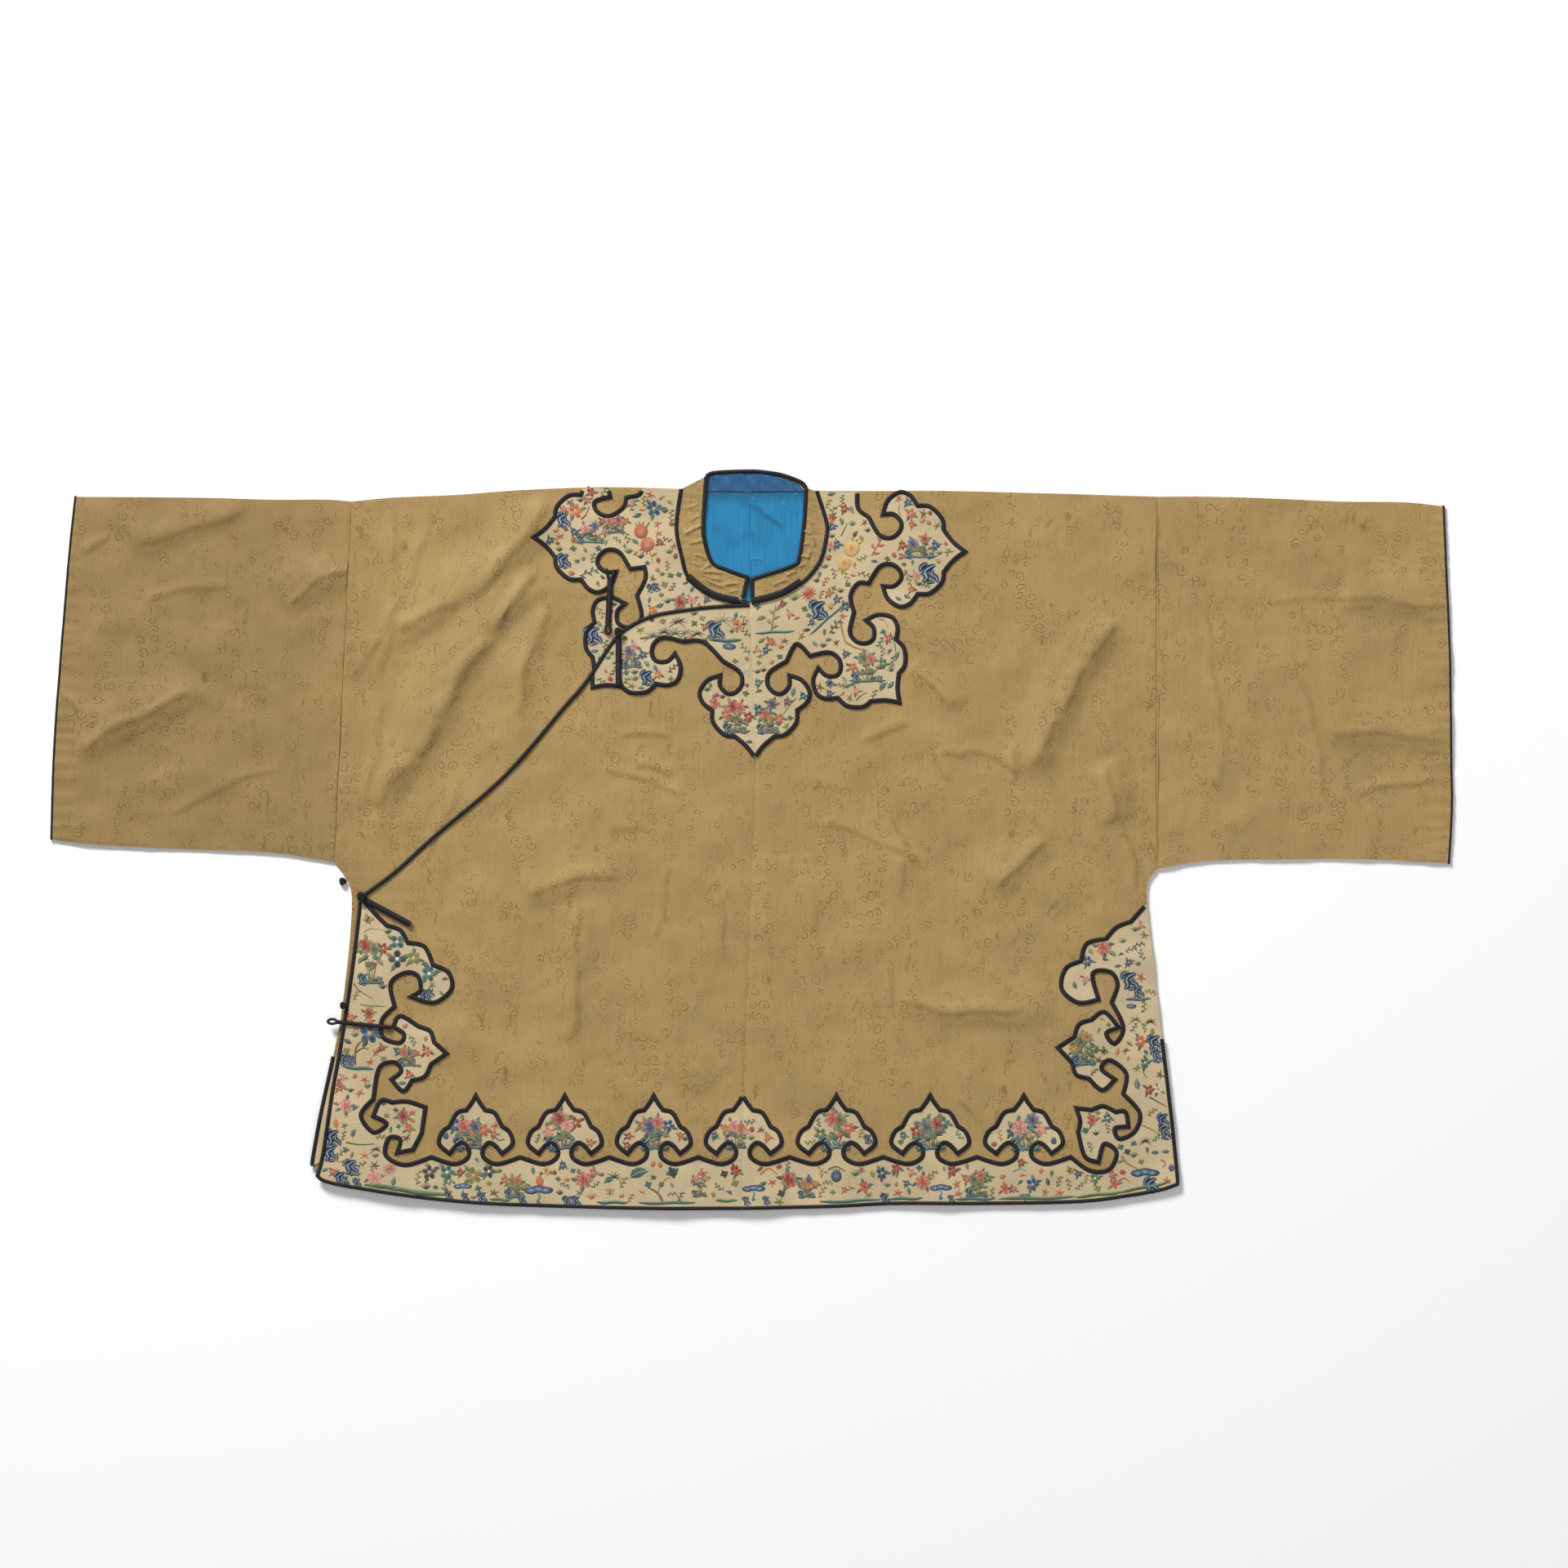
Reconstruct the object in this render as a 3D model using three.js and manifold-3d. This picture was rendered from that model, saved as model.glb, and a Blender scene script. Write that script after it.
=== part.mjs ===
// A short robe with wide sleeves, laid flat with its front up: silk cloth, applique borders, braid and cord fasteners.
// Millimetres. +X is the wearer's left, the hem is towards -Y, +Z is up from the surface that the robe lies on.
import * as THREE from "three";
import { mergeVertices } from "three/addons/utils/BufferGeometryUtils.js";
import Module from "manifold-3d";

const wasm = await Module();
wasm.setup();

// Thicknesses of the cloth and what is sewn on it.
const CLOTH = 1.5;
const GAP = 0.3;
const LEVEL = CLOTH + GAP;
const LINING = 1.0;
const APPLIQUE = 1.0;
const BRAID_WIDTH = 5.2;
const BRAID_HIGH = 1.3;
const PIPING_WIDTH = 4.4;
const PIPING_HIGH = 1.8;
const CUFF_PIPING_WIDTH = 2.6;
const STRAP_HIGH = 2.4;

// Heights of what is sewn on a panel, above the panel's lower face.
const ON_CLOTH = CLOTH + GAP;
const ON_APPLIQUE = ON_CLOTH + APPLIQUE + GAP;
const ON_PIPING = ON_APPLIQUE + PIPING_HIGH + GAP;

// Spacing of the height grid, and how far a curve may stand off its chords.
const GRID = 32;
const CURVE_STEP = 4;
const FLATNESS = 0.55;
const SCROLL_FLATNESS = 1.1;

// How far the left front is lifted beside the centre seam, where the overlap lies on the under front.
const SEAM_X = 8;
const SEAM_RAMP = 42;
// The overlap is lifted over the border of the under front, near its side edge.
const SIDE_LIFT = APPLIQUE + GAP;
const SIDE_RAMP_FROM = 24;
const SIDE_RAMP_TO = 70;
const SIDE_RAMP_DOWN = 60;

// Names the columns of a short table.
function table(columns, rows) {
  return rows.map((row) => Object.fromEntries(columns.map((name, i) => [name, row[i]])));
}
const ROUTE = ["x", "y", "corner"];

// The largest folds: a ridge runs between two points, bowed sideways, and fades at its ends.
const FOLDS = table(
  ["x1", "y1", "x2", "y2", "bow", "high", "wide"],
  [
    [-206, 352, -380, 205, 12, 5, 38],
    [-216, 285, -392, 18, -14, 7, 40],
    [-205, 250, -250, 105, -6, 3.5, 34],
    [-715, 88, -560, 160, 8, 5, 38],
    [-490, 240, -420, 284, 5, 4, 34],
    [-660, 312, -520, 348, -5, 3.5, 34],
    [385, 232, 285, 62, -10, 6, 38],
    [365, 84, 384, 10, 6, 4, 34],
    [606, 246, 724, 244, 5, 4, 36],
    [584, 116, 726, 112, -6, 4, 36],
    [-245, -62, -130, -32, 6, 3.5, 34],
    [-180, -60, -190, -218, 4, 3, 34],
    [146, -168, 330, -176, -6, 3.5, 34],
    [248, -54, 314, 2, 5, 4, 34],
    [168, 182, 212, 132, 4, 3, 32],
  ],
);

// Edges of the robe, as centre lines of the piping where there is piping.
const SHOULDER_RIGHT = table(ROUTE, [
  [-416, 352, 1], [-374, 356, 0], [-306, 359, 0], [-238, 364, 0], [-153, 367, 0], [-73, 365, 1],
]);
const SHOULDER_LEFT = table(ROUTE, [
  [68, 363, 1], [136, 363, 0], [204, 363, 0], [323, 360, 0], [422, 357, 1],
]);
const SLEEVE_TOP_LEFT = table(ROUTE, [
  [422, 357, 1], [476, 357, 0], [544, 355, 0], [612, 352, 0], [680, 351, 0], [719, 347, 1],
]);
const CUFF_LEFT = table(ROUTE, [
  [719, 347, 1], [722, 275, 0], [725.5, 190, 0], [727, 84, 0], [727.5, 33, 0], [724.5, -24, 1],
]);
const SLEEVE_UNDER_LEFT = table(ROUTE, [
  [724.5, -24, 1], [697, -23, 0], [640, -20, 0], [560, -20, 0], [476, -22, 0], [422, -30, 1],
]);
const SIDE_LEFT_SEWN = table(ROUTE, [
  [422, -30, 1], [413, -42, 0], [411, -58, 0], [414, -90, 0], [419, -133, 0], [427, -207, 1],
]);
const SIDE_LEFT_SLIT = table(ROUTE, [
  [427, -207, 1], [432, -248, 0], [438, -299, 0], [443, -350, 0], [443, -358, 1],
]);
const HEM_LEFT = table(ROUTE, [
  [443, -358, 1], [425, -364, 0], [391, -370, 0], [340, -376, 0], [240, -378, 0], [150, -378, 0],
  [85, -381, 0], [-10, -383, 1],
]);
const HEM_RIGHT = table(ROUTE, [
  [-10, -383, 1], [-102, -383, 0], [-187, -381, 0], [-272, -378, 0], [-340, -372, 0], [-408, -362, 0],
  [-442, -355, 0], [-451, -349, 1],
]);
const OVERLAP_SIDE = table(ROUTE, [
  [-451, -349, 1], [-445, -325, 0], [-435, -259, 0], [-427, -215, 0], [-417, -150, 0], [-410, -96, 0],
  [-406, -60, 1],
]);
const OVERLAP_EDGE = table(ROUTE, [
  [-406, -60, 1], [-371, -34, 0], [-329, 4, 0], [-273, 51, 0], [-239, 85, 0], [-197, 135, 0],
  [-172, 164, 0], [-143, 207, 0], [-124, 223, 0], [-101, 233, 0], [-74, 238, 0], [-41, 242, 0], [-2, 244, 1],
]);
const CENTRE_FRONT = table(ROUTE, [
  [-2, 244, 1], [2, 150, 0], [4, 80, 0], [-1, -71, 0], [-8, -257, 0], [-10, -383, 1],
]);
const ARMPIT_RIGHT = table(ROUTE, [
  [-434, -23, 1], [-425, -34, 0], [-416, -55, 0], [-417, -95, 0], [-422, -146, 0], [-428, -192, 1],
]);
const UNDER_SLIT = table(ROUTE, [
  [-428, -192, 1], [-437, -235, 0], [-448, -286, 0], [-456, -330, 0], [-456, -339, 0], [-450, -344, 1],
]);
const UNDER_HEM = table(ROUTE, [
  [-450, -344, 1], [-408, -356, 0], [-340, -366, 0], [-272, -372, 0], [-187, -375, 0], [-10, -377, 1],
]);
const SLEEVE_TOP_RIGHT = table(ROUTE, [
  [-416, 352, 1], [-442, 354, 0], [-500, 354, 0], [-578, 356, 0], [-702, 357, 1],
]);
const CUFF_RIGHT = table(ROUTE, [
  [-702, 357, 1], [-708, 300, 0], [-716.5, 198, 0], [-724, 96, 0], [-727, 1, 1],
]);
const SLEEVE_UNDER_RIGHT = table(ROUTE, [
  [-727, 1, 1], [-712, -2, 0], [-663, -6, 0], [-578, -10, 0], [-500, -13, 0], [-459, -19, 0], [-434, -23, 1],
]);

// The neckline seam, and the collar's top edge lying inside it.
const NECK_RIGHT = table(ROUTE, [
  [-73, 365, 1], [-78, 327, 0], [-73, 297, 0], [-64, 271, 0], [-37, 253, 0], [-2, 246, 1],
]);
const NECK_LEFT = table(ROUTE, [
  [-2, 246, 1], [22, 252, 0], [52, 267, 0], [71, 289, 0], [78, 315, 0], [78, 331, 0], [68, 363, 1],
]);
const COLLAR_TOP_RIGHT = table(ROUTE, [
  [-9, 252, 1], [-4, 273, 1], [-26, 281, 0], [-41, 289, 0], [-49, 312, 0], [-50, 331, 0], [-47, 378, 1],
]);
const COLLAR_TOP_LEFT = table(ROUTE, [
  [1, 252, 1], [1, 271, 1], [43, 285, 0], [50, 294, 0], [55, 331, 0], [57, 366, 1],
]);
const COLLAR_TOP_BACK = table(ROUTE, [
  [-47, 378, 1], [-38, 382, 0], [-2, 383.5, 0], [18, 382, 0], [34, 379, 0], [52, 372, 0], [57, 366, 1],
]);
const COLLAR_BACK_FACE = table(ROUTE, [
  [-66, 362.4, 1], [-45, 374.5, 1], [-37, 379.5, 0], [-2, 381, 0], [18, 379.5, 0], [33, 376.5, 0],
  [50, 369, 1], [54, 363.6, 1], [58, 362.4, 1],
]);
const BACK_NECK_Y = 362;

// Half of a cloud head. In is the distance back from its tip, out is the distance from its middle line.
const HEAD = table(
  ["in", "out", "corner"],
  [
    [0, 0, 1], [12, 9, 0], [22, 21, 1], [24, 32, 0], [36, 43, 0], [49, 44, 1], [57, 54, 0], [68, 57, 0],
    [80, 49, 0], [85, 36, 1], [74, 36, 0], [66, 28, 0], [68, 19, 0], [77, 13, 0], [89, 16, 0], [100, 33, 1],
  ],
);
// Half of a hem lappet, and the trough that it shares with the next one.
const LAPPET = table(
  ["in", "out", "corner"],
  [
    [0, 0, 1], [7, 4, 0], [15, 10, 1], [18, 20, 0], [32, 28, 1], [38, 36, 0], [50, 39, 0], [60, 28, 1],
    [51, 20, 0], [49, 13, 0], [57, 7, 0], [66, 10, 0], [71, 24, 0], [64, 47.5, 1],
  ],
);
const LAPPET_TROUGH = LAPPET[LAPPET.length - 1].out;
const LAPPET_TIP_Y = -266;
const MIDDLE_LAPPET_X = -9;
const PITCH_RIGHT = 92.5;
const PITCH_LEFT = 97.5;
const LAPPETS_EACH_SIDE = 3;

// The upper bay of the cloud collar on the right shoulder, and what joins neighbouring heads.
const SHOULDER_BAY = table(ROUTE, [
  [-113, 366, 1], [-117, 359, 0], [-130, 356, 1], [-133, 346, 0], [-147, 337, 0], [-160, 341, 0],
  [-163, 352, 0], [-147, 357, 1], [-149, 366, 1],
]);
const SHOULDER_TOP = table(ROUTE, [[-175, 366, 1]]);
const SHOULDER_TO_CHEST = table(ROUTE, [[-111, 284, 1], [-110, 272, 0]]);
const CHEST_TO_MIDDLE = table(ROUTE, [[-50, 206, 0]]);
const MIDDLE_TO_LOWER = table(ROUTE, [[47, 204, 0]]);
const LOWER_TO_SIDE = table(ROUTE, [[103, 254, 0], [111, 267, 0]]);
const SIDE_TO_TOP = table(ROUTE, [[111, 345, 0], [110, 362, 1]]);
const SHOULDER_HEAD_ROWS = 6;

// The cloud heads: where each tip is, where it points, and how its two halves are widened.
const HEADS = {
  shoulder: { x: -226, y: 315, turn: 180, before: 1, after: 1 },
  chest: { x: -165, y: 159, turn: 225, before: 1.05, after: 1 },
  middle: { x: 3.5, y: 86, turn: 270, before: 1, after: 1 },
  lower: { x: 154, y: 143, turn: 315, before: 0.95, after: 1 },
  side: { x: 222, y: 300, turn: 0, before: 1, after: 1.08 },
};

// Inner outline of the borders, from the underarm down the side to the first hem lappet.
const BORDER_RIGHT = table(ROUTE, [
  [-406, -60, 1], [-391, -77, 0], [-379, -89, 1], [-365, -94, 0], [-357, -107, 1], [-340, -111, 0],
  [-331, -130, 1], [-315, -138, 0], [-312, -155, 0], [-330, -169, 0], [-354, -163, 1], [-344, -156, 0],
  [-347, -141, 0], [-360, -138, 0], [-375, -149, 0], [-371, -173, 1], [-384, -187, 0], [-383, -205, 0],
  [-366, -211, 0], [-361, -202, 0], [-372, -194, 1], [-365, -183, 0], [-346, -194, 1], [-334, -199, 0],
  [-330, -210, 1], [-317, -222, 1], [-333, -233, 1], [-340, -246, 0], [-353, -250, 1], [-362, -261, 0],
  [-374, -249, 1], [-364, -240, 0], [-371, -231, 0], [-387, -237, 0], [-393, -269, 1], [-406, -286, 0],
  [-393, -304, 0], [-379, -295, 0], [-393, -287, 1], [-385, -271, 0], [-373, -273, 1], [-358, -272, 0],
  [-339, -278, 1], [-343, -305, 1], [-352, -322, 1], [-368, -325, 1], [-365, -311, 0], [-377, -310, 0],
  [-380, -328, 0], [-360, -338, 0],
]);
const BORDER_LEFT = table(ROUTE, [
  [352, -344, 0], [372, -343, 0], [380, -325, 0], [367, -316, 0], [361, -335, 1],
  [347, -329, 0], [340, -304, 1], [342, -292, 0], [338, -279, 1], [354, -281, 1], [366, -277, 0],
  [379, -283, 1], [389, -283, 0], [392, -298, 1], [378, -300, 0], [383, -311, 0], [399, -303, 0],
  [404, -284, 0], [387, -264, 1], [390, -243, 0], [373, -229, 0], [364, -238, 0], [378, -249, 1],
  [365, -260, 0], [351, -248, 1], [338, -244, 0], [334, -232, 1], [319, -216, 1], [336, -205, 1],
  [341, -192, 0], [354, -187, 1], [367, -179, 0], [382, -195, 1], [369, -201, 0], [378, -212, 0],
  [387, -195, 0], [375, -169, 1], [381, -150, 0], [373, -137, 0], [355, -139, 0], [361, -166, 1],
  [340, -169, 0], [323, -155, 0], [327, -134, 0], [343, -126, 1], [349, -108, 0], [369, -103, 1],
  [380, -91, 0], [395, -85, 1], [411, -67, 1],
]);

// The border and piping of the under front show along its slit, from one distance down it to another from its end.
const UNDER_BORDER_WIDTH = 16;
const UNDER_SHOWN_FROM = 34;
const UNDER_SHOWN_END = 8;
// Length of the piping on the neck seam, from the shoulder down. The neck tabs lie on the rest.
const NECK_PIPING_LONG = 88;
// The piping on the top of the collar's back ends inside its side folds.
const BACK_PIPING_FROM_X = -43;
const BACK_PIPING_TO_X = 52;

// Straps and loops of black cord, as centre lines.
const NECK_TAB_RIGHT = table(ROUTE, [[-66, 274, 1], [-42, 256, 0], [-14, 248.5, 1]]);
const NECK_TAB_LEFT = table(ROUTE, [[0, 247.5, 1], [30, 256, 0], [52, 269, 1]]);
const SHOULDER_STRAP = table(ROUTE, [[-151, 282, 1], [-148, 262, 0], [-149, 224, 1]]);
const CHEST_STRAP = table(ROUTE, [[-138, 216, 1], [-138, 161, 1]]);
const UNDERARM_STRAP = table(ROUTE, [[-404, -61, 1], [-354, -88, 1]]);
const SIDE_STRAP = table(ROUTE, [[-432, -189, 1], [-374, -195, 1]]);
const TAB_WIDTH = 6.5;
const STRAP_WIDTH = 5;
const THIN_STRAP_WIDTH = 4;
const KNOTS = {
  chest: { x: -138, y: 216, radius: 5 },
  underarm: { x: -405, y: -59, radius: 5.5 },
  side: { x: -424, y: -172, radius: 4 },
  armpit: { x: -425, y: -43.2, radius: 4.2 },
};
const EYES = {
  shoulder: { x: -149, y: 219, long: 6, wide: 3.6, turn: 90 },
  side: { x: -435.5, y: -188.6, long: 5.6, wide: 3.4, turn: 0 },
};
const EYE_CORD = 1.9;

// Drops the points of a curve that its chords pass within the given distance of.
function flattened(points, flatness) {
  const [first, last] = [points[0], points[points.length - 1]];
  const chord = new THREE.Line3(new THREE.Vector3(first.x, first.y), new THREE.Vector3(last.x, last.y));
  let [far, distance] = [0, flatness];
  for (let i = 1; i < points.length - 1; i++) {
    const point = new THREE.Vector3(points[i].x, points[i].y);
    const off = chord.closestPointToPoint(point, true, new THREE.Vector3()).distanceTo(point);
    if (off > distance) [far, distance] = [i, off];
  }
  if (far === 0) return [first, last];
  return [...flattened(points.slice(0, far + 1), flatness).slice(0, -1), ...flattened(points.slice(far), flatness)];
}

// A smooth curve through the rows from each corner to the next.
function trace(rows, flatness = FLATNESS) {
  const line = [];
  let start = 0;
  for (let i = 1; i < rows.length; i++) {
    if (!rows[i].corner) continue;
    const between = rows.slice(start, i + 1).map((row) => new THREE.Vector2(row.x, row.y));
    const curve = new THREE.SplineCurve(between);
    const steps = between.length === 2 ? 1 : Math.ceil(curve.getLength() / CURVE_STEP);
    line.push(...flattened(curve.getSpacedPoints(steps), flatness).slice(0, -1));
    start = i;
  }
  const last = rows[rows.length - 1];
  line.push(new THREE.Vector2(last.x, last.y));
  return line;
}

// Joins lines into one, leaving out a point that repeats the one before it.
function joined(...lines) {
  return lines.flat().filter((point, i, all) => i === 0 || point.distanceTo(all[i - 1]) > 0.05);
}

const reversed = (rows) => rows.slice().reverse();
const spot = (x, y) => new THREE.Vector2(x, y);

// The stretch of a line between two distances along it. A distance below 0 is measured back from its end.
function stretch(line, from, to = -0) {
  const total = line.slice(1).reduce((sum, point, i) => sum + point.distanceTo(line[i]), 0);
  const [low, high] = [from < 0 ? total + from : from, to > 0 ? to : total + to];
  const kept = [];
  let run = 0;
  for (let i = 1; i < line.length; i++) {
    const length = line[i].distanceTo(line[i - 1]);
    for (const mark of [low, high])
      if (mark > run && mark <= run + length) kept.push(line[i - 1].clone().lerp(line[i], (mark - run) / length));
    run += length;
    if (run > low && run < high) kept.push(line[i]);
  }
  if (low <= 0) kept.unshift(line[0]);
  return joined(kept);
}

// Moves a line to its left by a distance, with mitred corners.
function shifted(line, distance) {
  const normal = (a, b) => new THREE.Vector2(a.y - b.y, b.x - a.x).normalize();
  return line.map((point, i) => {
    const before = i > 0 ? normal(line[i - 1], point) : normal(point, line[i + 1]);
    const after = i < line.length - 1 ? normal(point, line[i + 1]) : before;
    const mitre = before.clone().add(after).normalize();
    const reach = distance / Math.max(mitre.dot(before), 0.5);
    return point.clone().addScaledVector(mitre, reach);
  });
}

// The outline of a strip along a line, between two distances to its left.
function strip(line, right, left) {
  return joined(shifted(line, right), shifted(line, left).reverse());
}

// A smooth step from 0 to 1.
const smooth = (from, to, value) => THREE.MathUtils.smoothstep(value, from, to);

// Height of the folds above the flat cloth.
function foldHeight(x, y) {
  let height = 0;
  for (const fold of FOLDS) {
    const length = Math.hypot(fold.x2 - fold.x1, fold.y2 - fold.y1);
    const ux = (fold.x2 - fold.x1) / length;
    const uy = (fold.y2 - fold.y1) / length;
    const along = ((x - fold.x1) * ux + (y - fold.y1) * uy) / length;
    if (along <= 0 || along >= 1) continue;
    const bow = fold.bow * 4 * along * (1 - along);
    const aside = ((y - fold.y1) * ux - (x - fold.x1) * uy - bow) / fold.wide;
    if (Math.abs(aside) >= 1) continue;
    const fade = smooth(0, 0.25, along) * smooth(0, 0.25, 1 - along);
    height = Math.max(height, fold.high * fade * (1 - aside * aside) ** 2);
  }
  return height;
}

// Height of a table's line at x, for a line that runs across the robe.
function lineHeight(rows, x) {
  const sorted = rows.slice().sort((a, b) => a.x - b.x);
  if (x <= sorted[0].x) return sorted[0].y;
  for (let i = 1; i < sorted.length; i++) {
    if (x > sorted[i].x) continue;
    const share = (x - sorted[i - 1].x) / (sorted[i].x - sorted[i - 1].x);
    return THREE.MathUtils.lerp(sorted[i - 1].y, sorted[i].y, share);
  }
  return sorted[sorted.length - 1].y;
}

// Lower face of each upper layer of cloth, as height over the surface.
const HIDDEN_DEPTH = 60;
function underFront(x, y) {
  const below = x < OVERLAP_EDGE[0].x ? 0 : lineHeight(OVERLAP_EDGE, x) - y;
  return LEVEL + foldHeight(x, y) * (1 - smooth(0, HIDDEN_DEPTH, below));
}
function leftFront(x, y) {
  return LEVEL + LEVEL * (1 - smooth(SEAM_X, SEAM_X + SEAM_RAMP, x)) + foldHeight(x, y);
}
function overlapFront(x, y) {
  const sideX = OVERLAP_SIDE[OVERLAP_SIDE.length - 1].x;
  const lift = SIDE_LIFT * (1 - smooth(SIDE_RAMP_FROM, SIDE_RAMP_TO, x - sideX));
  return 2 * LEVEL + lift * smooth(0, SIDE_RAMP_DOWN, -y) + foldHeight(x, y);
}
const sleeveFront = (x, y) => LEVEL + foldHeight(x, y);

// A closed geometry as a solid that can be cut and joined.
function solid(geometry) {
  const bare = geometry.clone();
  for (const name of ["normal", "uv"]) bare.deleteAttribute(name);
  const merged = mergeVertices(bare, 1e-4);
  const triVerts = new Uint32Array(merged.index.array);
  return new wasm.Manifold(
    new wasm.Mesh({ numProp: 3, vertProperties: merged.attributes.position.array, triVerts }),
  );
}

// An upright block with the given outline.
function block(outline, low, high) {
  const shape = new THREE.Shape(outline);
  const geometry = new THREE.ExtrudeGeometry(shape, { depth: high - low, bevelEnabled: false });
  geometry.translate(0, 0, low);
  return solid(geometry);
}

// A sheet over the box of an outline, between two height functions sampled on one grid for the whole robe.
function sheetOver(outline, low, high) {
  const xs = outline.map((point) => point.x);
  const ys = outline.map((point) => point.y);
  const x0 = Math.floor(Math.min(...xs) / GRID - 0.1);
  const y0 = Math.floor(Math.min(...ys) / GRID - 0.1);
  const columns = Math.ceil(Math.max(...xs) / GRID + 0.1) - x0 + 1;
  const rows = Math.ceil(Math.max(...ys) / GRID + 0.1) - y0 + 1;
  const positions = [];
  for (const height of [low, high])
    for (let j = 0; j < rows; j++)
      for (let i = 0; i < columns; i++) {
        const x = (x0 + i) * GRID;
        const y = (y0 + j) * GRID;
        positions.push(x, y, height(x, y));
      }
  const triangles = [];
  const count = columns * rows;
  const quad = (a, b, c, d) => triangles.push(a, b, c, a, c, d);
  for (let j = 0; j < rows - 1; j++)
    for (let i = 0; i < columns - 1; i++) {
      const a = j * columns + i;
      const [b, c, d] = [a + 1, a + 1 + columns, a + columns];
      triangles.push(a, c, b, a, d, c);
      quad(a + count, b + count, c + count, d + count);
    }
  for (let i = 0; i < columns - 1; i++) {
    const far = (rows - 1) * columns + i;
    quad(i, i + 1, i + 1 + count, i + count);
    quad(far + 1, far, far + count, far + 1 + count);
  }
  for (let j = 0; j < rows - 1; j++) {
    const left = j * columns;
    const right = left + columns - 1;
    quad(left + columns, left, left + count, left + columns + count);
    quad(right, right + columns, right + columns + count, right + count);
  }
  const geometry = new THREE.BufferGeometry();
  geometry.setAttribute("position", new THREE.Float32BufferAttribute(positions, 3));
  geometry.setIndex(triangles);
  return solid(geometry);
}

// A piece with this outline that lies on a layer of cloth, from one height above its lower face to another.
const FAR_BELOW = -5;
const FAR_ABOVE = 60;
function laid(outline, layer, from, to) {
  const sheet = sheetOver(outline, (x, y) => layer(x, y) + from, (x, y) => layer(x, y) + to);
  return sheet.intersect(block(outline, FAR_BELOW, FAR_ABOVE));
}

// A fold or seam that closes two layers along an edge, from the surface to the top of the upper layer.
// The cloth is to the left of the line when side is 1, and to its right when side is -1.
function foldAlong(line, layer, side) {
  const outline = strip(line, 0, side * CLOTH);
  const sheet = sheetOver(outline, () => 0, (x, y) => layer(x, y) + CLOTH);
  return sheet.intersect(block(outline, FAR_BELOW, FAR_ABOVE));
}

// Places half a head or lappet with its tip at x, y. Side is 1 or -1.
function half(profile, tip, side, spread = 1) {
  const angle = THREE.MathUtils.degToRad(tip.turn);
  const [cos, sin] = [Math.cos(angle), Math.sin(angle)];
  return profile.map((row) => ({
    x: tip.x - row.in * cos - side * row.out * spread * sin,
    y: tip.y - row.in * sin + side * row.out * spread * cos,
    corner: row.corner,
  }));
}

const robe = new THREE.Group();
const SILK = { color: 0xa5895c, roughness: 0.7 };
const CREAM = { color: 0xd9c69e, roughness: 0.65 };
const BLACK = { color: 0x17141f, roughness: 0.85 };
const BLUE = { color: 0x3a8fbe, roughness: 0.6 };
const DEEP_BLUE = { color: 0x2a5f96, roughness: 0.6 };

function add(name, finish, shape) {
  const data = shape.getMesh();
  const geometry = new THREE.BufferGeometry();
  geometry.setAttribute("position", new THREE.Float32BufferAttribute(data.vertProperties, 3));
  geometry.setIndex(new THREE.Uint32BufferAttribute(data.triVerts, 1));
  geometry.computeVertexNormals();
  const mesh = new THREE.Mesh(geometry, new THREE.MeshStandardMaterial({ ...finish, metalness: 0 }));
  mesh.name = name;
  robe.add(mesh);
}

// Lines used by more than one piece.
const HALF_GAP = GAP / 2;
const CENTRE_BACK_X = -1.5;
const UNDER_CENTRE_X = -2.5;
const UNDER_HEM_CENTRE_X = -10.5;
const BACK_HEM_Y = -383;
const UNDER_HEM_Y = -377;
// Places past the edges of the robe, for the corners of cutting blocks.
const PAST_RIGHT_X = -500;
const PAST_CENTRE_X = 60;
const PAST_NECK_X = 100;
const PAST_HEM_Y = -420;
const BELOW_NECK_Y = 300;
const centreFront = trace(CENTRE_FRONT);
const centreOfLeft = shifted(centreFront, HALF_GAP);
const centreOfOverlap = shifted(centreFront, -HALF_GAP);
const neckRight = trace(NECK_RIGHT);
const neckLeft = trace(NECK_LEFT);
const overlapEdge = trace(OVERLAP_EDGE);
const overlapSide = trace(OVERLAP_SIDE);
const shoulderRight = trace(SHOULDER_RIGHT);
const shoulderLeft = trace(SHOULDER_LEFT);
const sideLeftSewn = trace(SIDE_LEFT_SEWN);
const sideLeftSlit = trace(SIDE_LEFT_SLIT);
const armpitRight = trace(ARMPIT_RIGHT);
const underSlit = trace(UNDER_SLIT);
const underHem = trace(UNDER_HEM);
const hemLeft = trace(HEM_LEFT);
const hemRight = trace(HEM_RIGHT);

// The outer edge of each body half, from its hem up round the side and along the shoulder to the neck.
const edgeOfLeft = joined(
  reversed(hemLeft.slice(0, -1)),
  reversed(joined(sideLeftSewn, sideLeftSlit)),
  reversed(shoulderLeft),
);
const edgeOfRight = joined(
  reversed(underHem.slice(0, -1)),
  reversed(joined(armpitRight, underSlit)),
  shoulderRight,
);

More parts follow.
